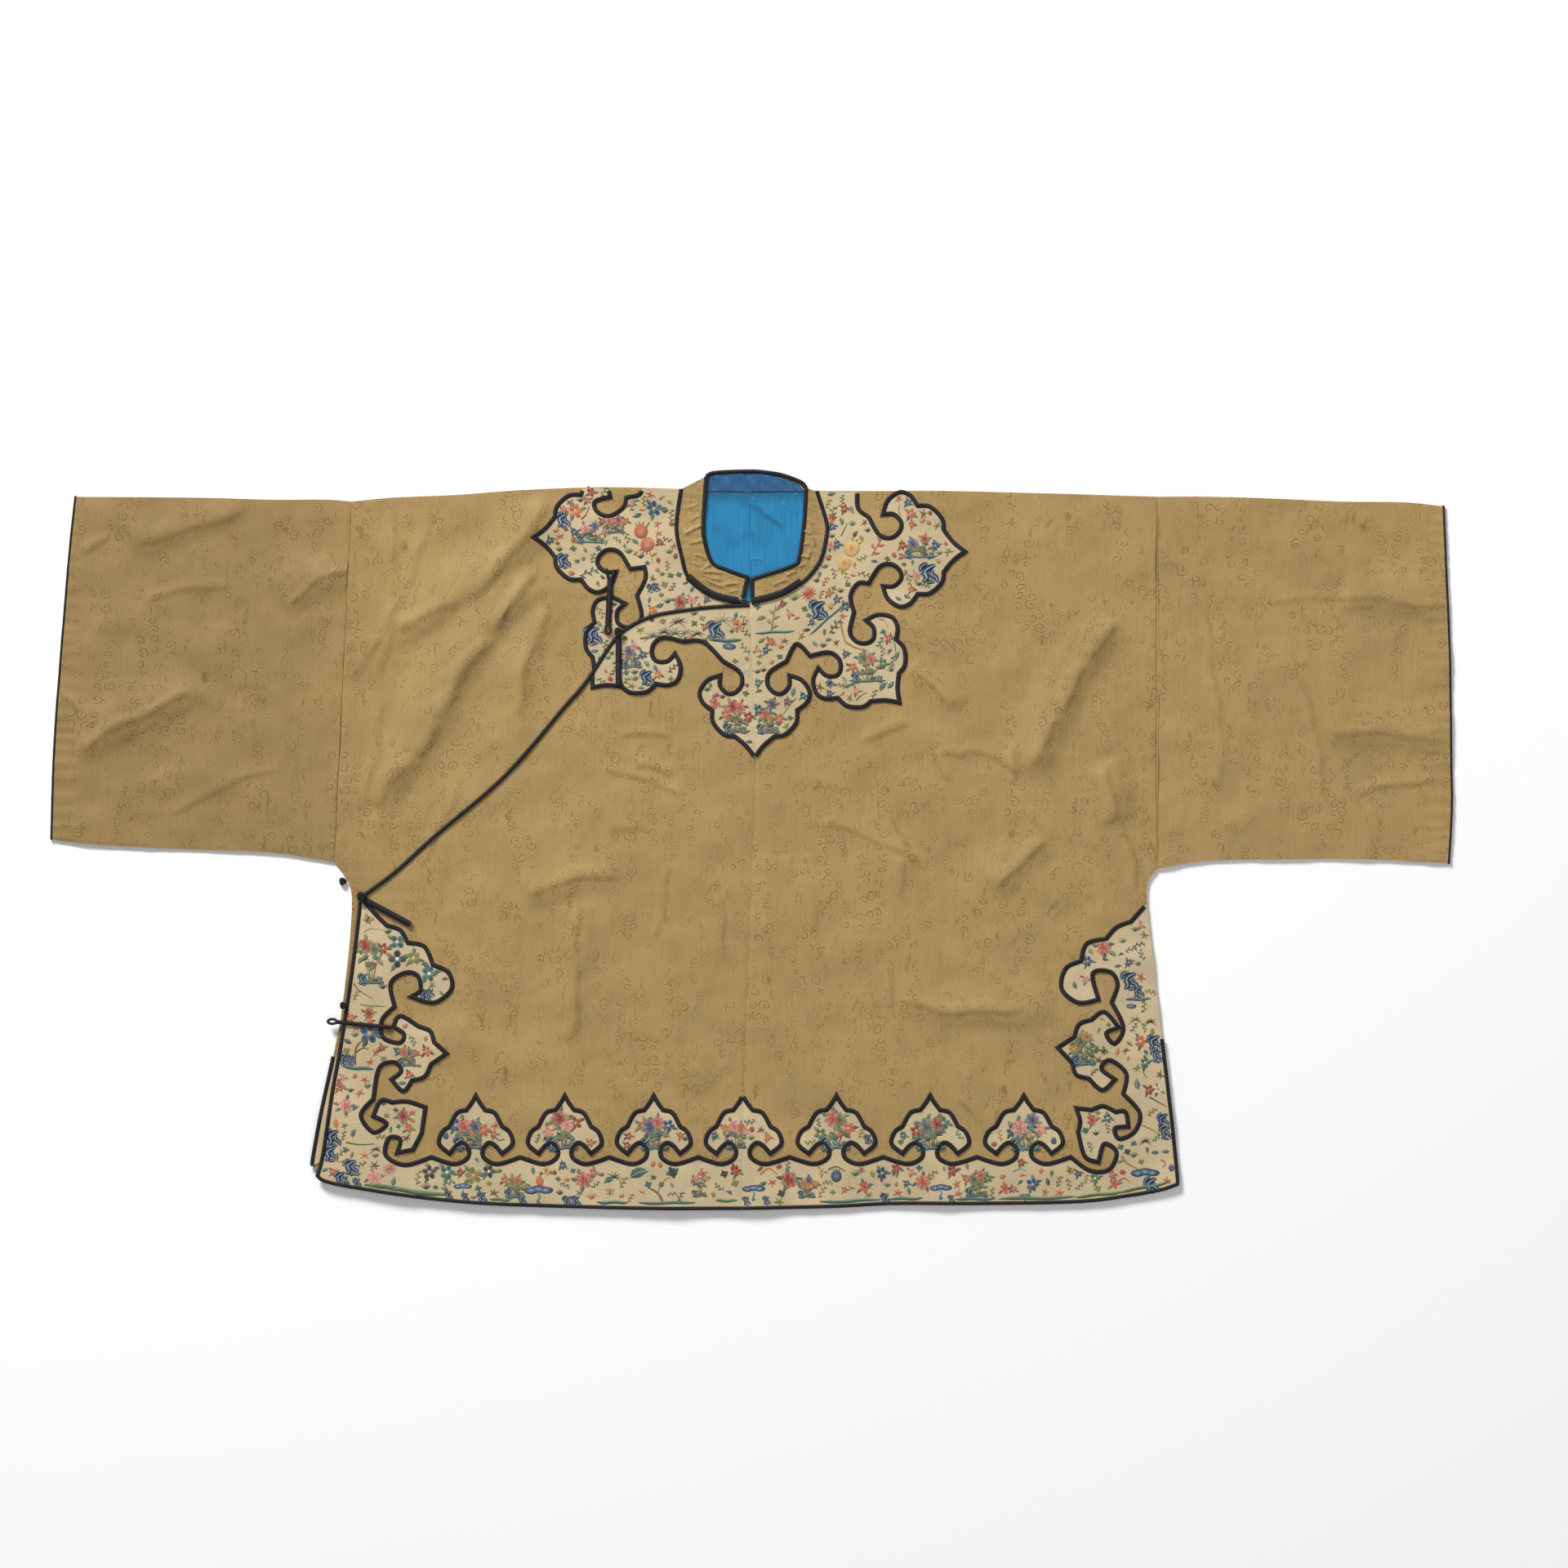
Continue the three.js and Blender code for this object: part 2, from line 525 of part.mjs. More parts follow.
// Left body: the back runs over the shoulder into the front, and the side is sewn down to the slit.
const leftFrontOutline = joined(centreOfLeft, edgeOfLeft, reversed(neckLeft.slice(1)));
const leftBackOutline = joined(
  [spot(CENTRE_BACK_X + HALF_GAP, BACK_NECK_Y - GAP), spot(CENTRE_BACK_X + HALF_GAP, BACK_HEM_Y)],
  edgeOfLeft,
  [spot(shoulderLeft[0].x, BACK_NECK_Y - GAP)],
);
function leftBody() {
  return laid(leftFrontOutline, leftFront, 0, CLOTH)
    .add(block(leftBackOutline, 0, CLOTH))
    .add(foldAlong(shoulderLeft, leftFront, -1))
    .add(foldAlong(sideLeftSewn, leftFront, -1));
}

// Right body: the back runs over the shoulder into the under front, which the overlap hides.
const rightFrontOutline = joined(
  [spot(UNDER_CENTRE_X, neckRight[neckRight.length - 1].y), spot(UNDER_HEM_CENTRE_X, UNDER_HEM_Y)],
  edgeOfRight,
  neckRight.slice(0, -1),
);
const rightBackOutline = joined(
  [spot(CENTRE_BACK_X - HALF_GAP, BACK_NECK_Y - GAP), spot(CENTRE_BACK_X - HALF_GAP, UNDER_HEM_Y)],
  edgeOfRight,
  [spot(neckRight[0].x, BACK_NECK_Y - GAP)],
);
function rightBody() {
  return laid(rightFrontOutline, underFront, 0, CLOTH)
    .add(block(rightBackOutline, 0, CLOTH))
    .add(foldAlong(shoulderRight, underFront, -1))
    .add(foldAlong(armpitRight, underFront, 1));
}

// Overlap panel, sewn to the left body at the centre front.
const overlapOutline = joined(
  centreOfOverlap,
  hemRight.slice(1),
  overlapSide,
  overlapEdge.slice(0, -1),
);

// A sleeve: a flat tube, open at the armhole and at the cuff. Side is 1 where its top runs towards -X.
function sleeve(top, cuff, under, side) {
  const outline = joined(top, cuff, under);
  const armhole = strip([under[under.length - 1], top[0]], -side * GAP, side * GAP);
  return laid(outline, sleeveFront, 0, CLOTH)
    .add(block(outline, 0, CLOTH))
    .add(foldAlong(top, sleeveFront, side))
    .add(foldAlong(under, sleeveFront, side))
    .subtract(block(armhole, FAR_BELOW, FAR_ABOVE));
}

// The piping round a cuff: a flat ring just outside the end of the sleeve.
function cuffPiping(cuff, side) {
  const ring = (line) => strip(line, -side * GAP, -side * (GAP + CUFF_PIPING_WIDTH));
  const outline = ring(cuff);
  return laid(outline, sleeveFront, 0, CLOTH)
    .add(block(outline, 0, CLOTH))
    .add(block(ring(cuff.slice(0, 2)), 0, LEVEL + CLOTH))
    .add(block(ring(cuff.slice(-2)), 0, LEVEL + CLOTH));
}

// Only the largest part of a shape that a cut may have split.
function largest(shape) {
  return shape.decompose().reduce((best, body) => (body.volume() > best.volume() ? body : best));
}

// Outline of the cloud collar and the borders, each as its free edge.
const { shoulder, chest, middle, lower, side } = HEADS;
const scroll = (rows) => trace(rows, SCROLL_FLATNESS);
const shoulderFree = scroll([
  ...SHOULDER_TOP,
  ...reversed(half(HEAD.slice(0, SHOULDER_HEAD_ROWS), shoulder, -1, shoulder.before)),
  ...half(HEAD.slice(1), shoulder, 1, shoulder.after),
  ...SHOULDER_TO_CHEST,
  ...reversed(half(HEAD, chest, -1, chest.before)),
]);
const shoulderBay = scroll(SHOULDER_BAY);
const overlapCloudFree = scroll([
  ...half(HEAD, chest, 1, chest.after),
  ...CHEST_TO_MIDDLE,
  ...reversed(half(HEAD, middle, -1, middle.before)),
]);
const leftCloudFree = scroll([
  ...half(HEAD, middle, 1, middle.after),
  ...MIDDLE_TO_LOWER,
  ...reversed(half(HEAD, lower, -1, lower.before)),
  ...half(HEAD.slice(1), lower, 1, lower.after),
  ...LOWER_TO_SIDE,
  ...reversed(half(HEAD, side, -1, side.before)),
  ...half(HEAD.slice(1), side, 1, side.after),
  ...SIDE_TO_TOP,
]);

// The hem lappets of one side, from the outer trough to the middle one's tip on the centre seam.
function lappets(direction, pitch) {
  const rows = [];
  const spread = pitch / 2 / LAPPET_TROUGH;
  for (let k = LAPPETS_EACH_SIDE; k >= 0; k--) {
    const tip = { x: MIDDLE_LAPPET_X + direction * k * pitch, y: LAPPET_TIP_Y, turn: 90 };
    const outer = reversed(half(LAPPET, tip, -direction, spread));
    rows.push(...(k === LAPPETS_EACH_SIDE ? outer : outer.slice(1)));
    if (k > 0) rows.push(...half(LAPPET.slice(1), tip, direction, spread));
  }
  return rows;
}
const overlapBorderFree = scroll([...BORDER_RIGHT, ...lappets(-1, PITCH_RIGHT)]);
const leftBorderFree = scroll([...reversed(lappets(1, PITCH_LEFT)), ...BORDER_LEFT]);

// Blocks that keep pieces clear of a neighbour.
const wall = (outline) => block(outline, FAR_BELOW, FAR_ABOVE);
const PIPING_CLEAR = PIPING_WIDTH / 2 + GAP;
const overlapPath = joined(hemRight, overlapSide, overlapEdge);
const leftPath = joined(sideLeftSlit, hemLeft);
const clearOfOverlapPiping = wall(strip(overlapPath, -PIPING_CLEAR, PIPING_CLEAR));
const clearOfLeftPiping = wall(strip(leftPath, -PIPING_CLEAR, PIPING_CLEAR));
const underOverlap = wall([
  ...shifted(overlapEdge, GAP),
  spot(PAST_CENTRE_X, overlapEdge[overlapEdge.length - 1].y),
  spot(PAST_CENTRE_X, PAST_HEM_Y),
  spot(PAST_RIGHT_X, PAST_HEM_Y),
  spot(PAST_RIGHT_X, overlapEdge[0].y),
]);

// Applique pieces, each lying on its panel. The shoulder's runs a little way in under the overlap.
const SHOULDER_CLOUD_END_Y = 150;
const SHOULDER_CLOUD_TOP_Y = 245.5;
const CHEST_APPLIQUE_FROM_Y = HEADS.chest.y + 10;
const CHEST_BRAID_FROM_Y = HEADS.chest.y + 14;
const LEFT_CLOUD_FROM_Y = HEADS.middle.y + 2;
const LEFT_BORDER_FROM_Y = BORDER_LEFT[BORDER_LEFT.length - 1].y - 4;
const applique = (outline, layer) => laid(outline, layer, ON_CLOTH, ON_CLOTH + APPLIQUE);
const shoulderCloudOutline = joined(
  reversed(shoulderRight).filter((point) => point.x > shoulderBay[0].x).map((point) => spot(point.x, point.y - GAP)),
  shoulderBay,
  shoulderFree,
  [spot(UNDER_CENTRE_X, SHOULDER_CLOUD_END_Y), spot(UNDER_CENTRE_X, SHOULDER_CLOUD_TOP_Y)],
  reversed(neckRight.slice(1, -1)),
);
const overlapCloudOutline = joined(
  overlapCloudFree.slice(0, -1),
  centreOfOverlap.filter((point) => point.y > middle.y).reverse(),
  reversed(overlapEdge.slice(0, -1)).filter((point) => point.y > CHEST_APPLIQUE_FROM_Y),
);
const leftCloudOutline = joined(
  leftCloudFree.slice(1),
  reversed(neckLeft.slice(1)).map((point) => spot(point.x, Math.min(point.y, BACK_NECK_Y))),
  centreOfLeft.filter((point) => point.y > LEFT_CLOUD_FROM_Y),
);
const overlapBorderOutline = joined(
  overlapBorderFree.slice(0, -1),
  centreOfOverlap.filter((point) => point.y < LAPPET_TIP_Y),
  hemRight.slice(1),
  overlapSide.slice(0, -1),
);
const leftBorderOutline = joined(
  leftBorderFree.slice(1),
  sideLeftSewn.filter((point) => point.y < LEFT_BORDER_FROM_Y),
  sideLeftSlit,
  hemLeft.slice(0, -1),
  reversed(centreOfLeft.filter((point) => point.y < LAPPET_TIP_Y)),
);

// A braid, piping or strap along a line, on a layer of cloth.
const along = (line, layer, width, from, high) => laid(strip(line, -width / 2, width / 2), layer, from, from + high);
const braid = (line, layer) => along(line, layer, BRAID_WIDTH, ON_APPLIQUE, BRAID_HIGH);
const piping = (line, layer) => along(line, layer, PIPING_WIDTH, ON_APPLIQUE, PIPING_HIGH);

// A knotted ball, flattened as it is pressed on the cloth.
const KNOT_FLAT = 0.6;
const KNOT_ROUND = 10;
const KNOT_RINGS = 7;
function knot(place, low) {
  const ball = new THREE.SphereGeometry(place.radius, KNOT_ROUND, KNOT_RINGS);
  ball.scale(1, 1, KNOT_FLAT);
  ball.translate(place.x, place.y, low + place.radius * KNOT_FLAT);
  return solid(ball);
}

// The eye at a loop's end: an oval ring of cord.
const EYE_STEPS = 14;
function eye(place, low) {
  const oval = (long, wide) => new THREE.EllipseCurve(0, 0, long, wide).getPoints(EYE_STEPS).slice(1);
  const shape = new THREE.Shape(oval(place.long, place.wide));
  shape.holes.push(new THREE.Path(oval(place.long - EYE_CORD, place.wide - EYE_CORD)));
  const ring = new THREE.ExtrudeGeometry(shape, { depth: STRAP_HIGH, bevelEnabled: false });
  ring.rotateZ(THREE.MathUtils.degToRad(place.turn));
  ring.translate(place.x, place.y, low);
  return solid(ring);
}

// Collar: two front strips lying inside the neck, the back lying beyond the shoulder, folded together at its sides.
const COLLAR_ON_LINING = LEVEL - CLOTH + LINING;
const collarTopRight = trace(COLLAR_TOP_RIGHT);
const collarTopLeft = trace(COLLAR_TOP_LEFT);
const collarTopBack = trace(COLLAR_TOP_BACK);
function collarBand() {
  const neckEdgeRight = shifted(neckRight, GAP).filter((point) => point.x < collarTopRight[0].x - 1);
  const neckEdgeLeft = shifted(neckLeft, 2 * GAP).filter((point) => point.x > collarTopLeft[0].x + 1);
  const right = joined(neckEdgeRight, collarTopRight);
  const left = joined(neckEdgeLeft, reversed(collarTopLeft));
  const foldRight = [neckEdgeRight[0], collarTopBack[0]];
  const lastLeft = neckEdgeLeft[neckEdgeLeft.length - 1];
  const foldLeft = [collarTopBack[collarTopBack.length - 1], spot(lastLeft.x - GAP, lastLeft.y)];
  const onBackPanel = wall([
    spot(-PAST_NECK_X, BELOW_NECK_Y),
    spot(PAST_NECK_X, BELOW_NECK_Y),
    spot(PAST_NECK_X, BACK_NECK_Y),
    spot(-PAST_NECK_X, BACK_NECK_Y),
  ]);
  const back = joined(
    [spot(neckEdgeRight[0].x, BACK_NECK_Y), neckEdgeRight[0]],
    collarTopBack,
    [lastLeft, spot(lastLeft.x, BACK_NECK_Y)],
  );
  const top = LEVEL + COLLAR_ON_LINING + CLOTH;
  return laid(right, underFront, COLLAR_ON_LINING, COLLAR_ON_LINING + CLOTH)
    .add(laid(left, leftFront, COLLAR_ON_LINING, COLLAR_ON_LINING + CLOTH))
    .add(block(back, 0, CLOTH))
    .add(block(strip(foldRight, 0, -CLOTH), 0, top).subtract(onBackPanel))
    .add(block(strip(foldLeft, 0, -CLOTH), 0, top).subtract(onBackPanel));
}

// The lining of the back, seen through the neck, in two halves that meet at the centre back.
const LINING_EDGE = 0.8;
const LINING_LOW_Y = 249;
const LINING_SHOULDER_X = 67;
const LINING_CENTRE_CLEAR = 3;
const liningTop = BACK_NECK_Y - GAP;
const liningRight = joined(
  shifted(neckRight, LINING_EDGE).filter((point) => point.x < CENTRE_BACK_X - LINING_CENTRE_CLEAR && point.y < liningTop),
  [spot(CENTRE_BACK_X - HALF_GAP, LINING_LOW_Y), spot(CENTRE_BACK_X - HALF_GAP, liningTop)],
  [spot(neckRight[0].x + LINING_EDGE, liningTop)],
);
const liningLeft = joined(
  shifted(neckLeft, LINING_EDGE).filter((point) => point.x > CENTRE_BACK_X + LINING_CENTRE_CLEAR && point.y < liningTop),
  [
    spot(LINING_SHOULDER_X, liningTop),
    spot(CENTRE_BACK_X + HALF_GAP, liningTop),
    spot(CENTRE_BACK_X + HALF_GAP, LINING_LOW_Y),
  ],
);

add("left_body", SILK, leftBody());
add("right_body", SILK, rightBody());
add("front_overlap", SILK, laid(overlapOutline, overlapFront, 0, CLOTH));
add("left_sleeve", SILK, sleeve(trace(SLEEVE_TOP_LEFT), trace(CUFF_LEFT), trace(SLEEVE_UNDER_LEFT), -1));
add("right_sleeve", SILK, sleeve(trace(SLEEVE_TOP_RIGHT), trace(CUFF_RIGHT), trace(SLEEVE_UNDER_RIGHT), 1));
add("piping_cuff_left", BLACK, cuffPiping(trace(CUFF_LEFT), -1));
add("piping_cuff_right", BLACK, cuffPiping(trace(CUFF_RIGHT), 1));

add("right_lining", BLUE, block(liningRight, LEVEL, LEVEL + LINING));
add("left_lining", BLUE, block(liningLeft, LEVEL, LEVEL + LINING));
add("collar_band", SILK, collarBand());
add("collar_lining", DEEP_BLUE, block(trace(COLLAR_BACK_FACE), LEVEL, LEVEL + LINING));

add("cloud_shoulder", CREAM, largest(applique(shoulderCloudOutline, underFront).subtract(underOverlap)));
add("cloud_overlap", CREAM, applique(overlapCloudOutline, overlapFront));
add("cloud_left", CREAM, applique(leftCloudOutline, leftFront));
add("border_overlap", CREAM, applique(overlapBorderOutline, overlapFront));
add("border_left", CREAM, applique(leftBorderOutline, leftFront));
const underShown = stretch(underSlit, UNDER_SHOWN_FROM, -UNDER_SHOWN_END);
add("border_under", CREAM, applique(strip(underShown, 0, UNDER_BORDER_WIDTH), underFront));

add("braid_shoulder_bay", BLACK, largest(braid(shoulderBay, underFront).intersect(wall(rightFrontOutline))));
add(
  "braid_shoulder",
  BLACK,
  largest(
    braid(shoulderFree, underFront)
      .intersect(wall(rightFrontOutline))
      .subtract(underOverlap)
      .subtract(clearOfOverlapPiping),
  ),
);
add(
  "braid_cloud_overlap",
  BLACK,
  largest(
    braid([overlapEdge.find((point) => point.y > CHEST_BRAID_FROM_Y), ...overlapCloudFree], overlapFront)
      .intersect(wall(overlapOutline))
      .subtract(clearOfOverlapPiping),
  ),
);
add("braid_cloud_left", BLACK, largest(braid(leftCloudFree, leftFront).intersect(wall(leftFrontOutline))));
add(
  "braid_border_overlap",
  BLACK,
  largest(
    braid(overlapBorderFree, overlapFront).intersect(wall(overlapOutline)).subtract(clearOfOverlapPiping),
  ),
);
add("braid_border_left", BLACK, largest(braid(leftBorderFree, leftFront).intersect(wall(leftFrontOutline))));

add("piping_overlap", BLACK, piping(stretch(overlapPath, HALF_GAP, -HALF_GAP), overlapFront));
add("piping_left", BLACK, piping(stretch(leftPath, 0, -HALF_GAP), leftFront));
add("piping_under", BLACK, piping(underShown, underFront));
add("piping_neck_right", BLACK, piping(stretch(neckRight, 0, NECK_PIPING_LONG), underFront));
add("piping_neck_left", BLACK, piping(stretch(neckLeft, -NECK_PIPING_LONG), leftFront));
add("piping_collar_right", BLACK, piping(collarTopRight, underFront));
add("piping_collar_left", BLACK, piping(collarTopLeft, leftFront));
add("piping_collar_back", BLACK, along(
  collarTopBack.filter((point) => point.x > BACK_PIPING_FROM_X && point.x < BACK_PIPING_TO_X),
  () => LEVEL,
  PIPING_WIDTH,
  LINING + GAP,
  PIPING_HIGH,
));

const tab = (rows, layer) => along(trace(rows), layer, TAB_WIDTH, ON_APPLIQUE, STRAP_HIGH);
const strap = (rows, layer, width) => along(trace(rows), layer, width, ON_PIPING, STRAP_HIGH);
const onStraps = (place, layer) => layer(place.x, place.y) + ON_PIPING;
add("neck_tab_right", BLACK, largest(tab(NECK_TAB_RIGHT, underFront).subtract(clearOfOverlapPiping)));
add("neck_tab_left", BLACK, largest(tab(NECK_TAB_LEFT, leftFront).subtract(clearOfOverlapPiping)));
add(
  "shoulder_strap",
  BLACK,
  strap(SHOULDER_STRAP, underFront, STRAP_WIDTH).add(eye(EYES.shoulder, onStraps(EYES.shoulder, underFront))),
);
add(
  "chest_strap",
  BLACK,
  strap(CHEST_STRAP, overlapFront, STRAP_WIDTH).add(knot(KNOTS.chest, onStraps(KNOTS.chest, overlapFront))),
);
add(
  "underarm_strap",
  BLACK,
  strap(UNDERARM_STRAP, overlapFront, STRAP_WIDTH).add(
    knot(KNOTS.underarm, onStraps(KNOTS.underarm, overlapFront)),
  ),
);
add(
  "side_strap",
  BLACK,
  strap(SIDE_STRAP, overlapFront, THIN_STRAP_WIDTH).add(eye(EYES.side, onStraps(EYES.side, overlapFront))),
);
add("side_knot", BLACK, knot(KNOTS.side, onStraps(KNOTS.side, overlapFront)));
add("armpit_knot", BLACK, knot(KNOTS.armpit, GAP));

export default robe;
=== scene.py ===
"""A short robe with wide sleeves, laid flat on its back.

Its pieces are silk cloth, applique borders, embroidery, braid and cord.

Tables are in millimetres, in the frame of the CAD part.
+X is the wearer's left, the hem is towards -Y, +Z is up.
"""

import math

import bpy
import numpy as np
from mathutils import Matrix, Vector, kdtree
from mathutils.geometry import delaunay_2d_cdt


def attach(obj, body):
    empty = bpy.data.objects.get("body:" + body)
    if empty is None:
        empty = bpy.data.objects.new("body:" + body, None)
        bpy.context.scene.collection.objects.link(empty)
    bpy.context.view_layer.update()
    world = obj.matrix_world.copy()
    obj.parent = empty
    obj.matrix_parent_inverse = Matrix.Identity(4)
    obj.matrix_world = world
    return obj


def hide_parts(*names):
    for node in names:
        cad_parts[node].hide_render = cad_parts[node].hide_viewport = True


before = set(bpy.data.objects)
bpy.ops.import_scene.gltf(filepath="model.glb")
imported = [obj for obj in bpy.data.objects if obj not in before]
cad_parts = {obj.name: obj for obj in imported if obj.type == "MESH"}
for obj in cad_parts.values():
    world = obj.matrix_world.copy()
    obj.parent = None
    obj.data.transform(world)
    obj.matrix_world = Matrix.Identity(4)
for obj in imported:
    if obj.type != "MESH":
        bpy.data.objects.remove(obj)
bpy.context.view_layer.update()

bl_info = {
    "name": "Short robe",
    "version": (1, 0, 0),
    "blender": (4, 5, 0),
    "location": "3D View > Sidebar > Robe",
    "description": "Dresses a short silk robe with cloth, applique, embroidery, braid and fasteners",
    "category": "Add Mesh",
}

MM = 0.001

# The largest folds: each is a ridge between two points, bowed sideways, that fades at its ends.
# A row is x1, y1, x2, y2, bow, height, half width.
FOLDS = [
    (-206, 352, -380, 205, 12, 5, 38), (-216, 285, -392, 18, -14, 7, 40),
    (-205, 250, -250, 105, -6, 3.5, 34), (-715, 88, -560, 160, 8, 5, 38), (-490, 240, -420, 284, 5, 4, 34),
    (-660, 312, -520, 348, -5, 3.5, 34), (385, 232, 285, 62, -10, 6, 38), (365, 84, 384, 10, 6, 4, 34),
    (606, 246, 724, 244, 5, 4, 36), (584, 116, 726, 112, -6, 4, 36), (-245, -62, -130, -32, 6, 3.5, 34),
    (-180, -60, -190, -218, 4, 3, 34), (146, -168, 330, -176, -6, 3.5, 34), (248, -54, 314, 2, 5, 4, 34),
    (168, 182, 212, 132, 4, 3, 32),
]

# Edges, seams and motifs' outlines. A row is x, y and whether the line has a corner there.
SHOULDER_RIGHT = [
    (-416, 352, 1), (-374, 356, 0), (-306, 359, 0), (-238, 364, 0), (-153, 367, 0), (-73, 365, 1),
]
SHOULDER_LEFT = [
    (68, 363, 1), (136, 363, 0), (204, 363, 0), (323, 360, 0), (422, 357, 1),
]
SLEEVE_TOP_LEFT = [
    (422, 357, 1), (476, 357, 0), (544, 355, 0), (612, 352, 0), (680, 351, 0), (719, 347, 1),
]
CUFF_LEFT = [
    (719, 347, 1), (722, 275, 0), (725.5, 190, 0), (727, 84, 0), (727.5, 33, 0), (724.5, -24, 1),
]
SLEEVE_UNDER_LEFT = [
    (724.5, -24, 1), (697, -23, 0), (640, -20, 0), (560, -20, 0), (476, -22, 0), (422, -30, 1),
]
SIDE_LEFT_SEWN = [
    (422, -30, 1), (413, -42, 0), (411, -58, 0), (414, -90, 0), (419, -133, 0), (427, -207, 1),
]
SIDE_LEFT_SLIT = [
    (427, -207, 1), (432, -248, 0), (438, -299, 0), (443, -350, 0), (443, -358, 1),
]
HEM_LEFT = [
    (443, -358, 1), (425, -364, 0), (391, -370, 0), (340, -376, 0), (240, -378, 0), (150, -378, 0),
    (85, -381, 0), (-10, -383, 1),
]
HEM_RIGHT = [
    (-10, -383, 1), (-102, -383, 0), (-187, -381, 0), (-272, -378, 0), (-340, -372, 0), (-408, -362, 0),
    (-442, -355, 0), (-451, -349, 1),
]
OVERLAP_SIDE = [
    (-451, -349, 1), (-445, -325, 0), (-435, -259, 0), (-427, -215, 0), (-417, -150, 0), (-410, -96, 0),
    (-406, -60, 1),
]
OVERLAP_EDGE = [
    (-406, -60, 1), (-371, -34, 0), (-329, 4, 0), (-273, 51, 0), (-239, 85, 0), (-197, 135, 0),
    (-172, 164, 0), (-143, 207, 0), (-124, 223, 0), (-101, 233, 0), (-74, 238, 0), (-41, 242, 0),
    (-2, 244, 1),
]
CENTRE_FRONT = [
    (-2, 244, 1), (2, 150, 0), (4, 80, 0), (-1, -71, 0), (-8, -257, 0), (-10, -383, 1),
]
ARMPIT_RIGHT = [
    (-434, -23, 1), (-425, -34, 0), (-416, -55, 0), (-417, -95, 0), (-422, -146, 0), (-428, -192, 1),
]
UNDER_SLIT = [
    (-428, -192, 1), (-437, -235, 0), (-448, -286, 0), (-456, -330, 0), (-456, -339, 0), (-450, -344, 1),
]
UNDER_HEM = [
    (-450, -344, 1), (-408, -356, 0), (-340, -366, 0), (-272, -372, 0), (-187, -375, 0), (-10, -377, 1),
]
SLEEVE_TOP_RIGHT = [
    (-416, 352, 1), (-442, 354, 0), (-500, 354, 0), (-578, 356, 0), (-702, 357, 1),
]
CUFF_RIGHT = [
    (-702, 357, 1), (-708, 300, 0), (-716.5, 198, 0), (-724, 96, 0), (-727, 1, 1),
]
SLEEVE_UNDER_RIGHT = [
    (-727, 1, 1), (-712, -2, 0), (-663, -6, 0), (-578, -10, 0), (-500, -13, 0), (-459, -19, 0),
    (-434, -23, 1),
]
NECK_RIGHT = [
    (-73, 365, 1), (-78, 327, 0), (-73, 297, 0), (-64, 271, 0), (-37, 253, 0), (-2, 246, 1),
]
NECK_LEFT = [
    (-2, 246, 1), (22, 252, 0), (52, 267, 0), (71, 289, 0), (78, 315, 0), (78, 331, 0), (68, 363, 1),
]
COLLAR_TOP_RIGHT = [
    (-9, 252, 1), (-4, 273, 1), (-26, 281, 0), (-41, 289, 0), (-49, 312, 0), (-50, 331, 0), (-47, 378, 1),
]
COLLAR_TOP_LEFT = [
    (1, 252, 1), (1, 271, 1), (43, 285, 0), (50, 294, 0), (55, 331, 0), (57, 366, 1),
]
COLLAR_TOP_BACK = [
    (-47, 378, 1), (-38, 382, 0), (-2, 383.5, 0), (18, 382, 0), (34, 379, 0), (52, 372, 0), (57, 366, 1),
]
COLLAR_BACK_FACE = [
    (-66, 362.4, 1), (-45, 374.5, 1), (-37, 379.5, 0), (-2, 381, 0), (18, 379.5, 0), (33, 376.5, 0),
    (50, 369, 1), (54, 363.6, 1), (58, 362.4, 1),
]
HEAD = [
    (0, 0, 1), (12, 9, 0), (22, 21, 1), (24, 32, 0), (36, 43, 0), (49, 44, 1), (57, 54, 0), (68, 57, 0),
    (80, 49, 0), (85, 36, 1), (74, 36, 0), (66, 28, 0), (68, 19, 0), (77, 13, 0), (89, 16, 0), (100, 33, 1),
]
LAPPET = [
    (0, 0, 1), (7, 4, 0), (15, 10, 1), (18, 20, 0), (32, 28, 1), (38, 36, 0), (50, 39, 0), (60, 28, 1),
    (51, 20, 0), (49, 13, 0), (57, 7, 0), (66, 10, 0), (71, 24, 0), (64, 47.5, 1),
]
SHOULDER_BAY = [
    (-113, 366, 1), (-117, 359, 0), (-130, 356, 1), (-133, 346, 0), (-147, 337, 0), (-160, 341, 0),
    (-163, 352, 0), (-147, 357, 1), (-149, 366, 1),
]
SHOULDER_TOP = [(-175, 366, 1)]
SHOULDER_TO_CHEST = [(-111, 284, 1), (-110, 272, 0)]
CHEST_TO_MIDDLE = [(-50, 206, 0)]
MIDDLE_TO_LOWER = [(47, 204, 0)]
LOWER_TO_SIDE = [(103, 254, 0), (111, 267, 0)]
SIDE_TO_TOP = [(111, 345, 0), (110, 362, 1)]
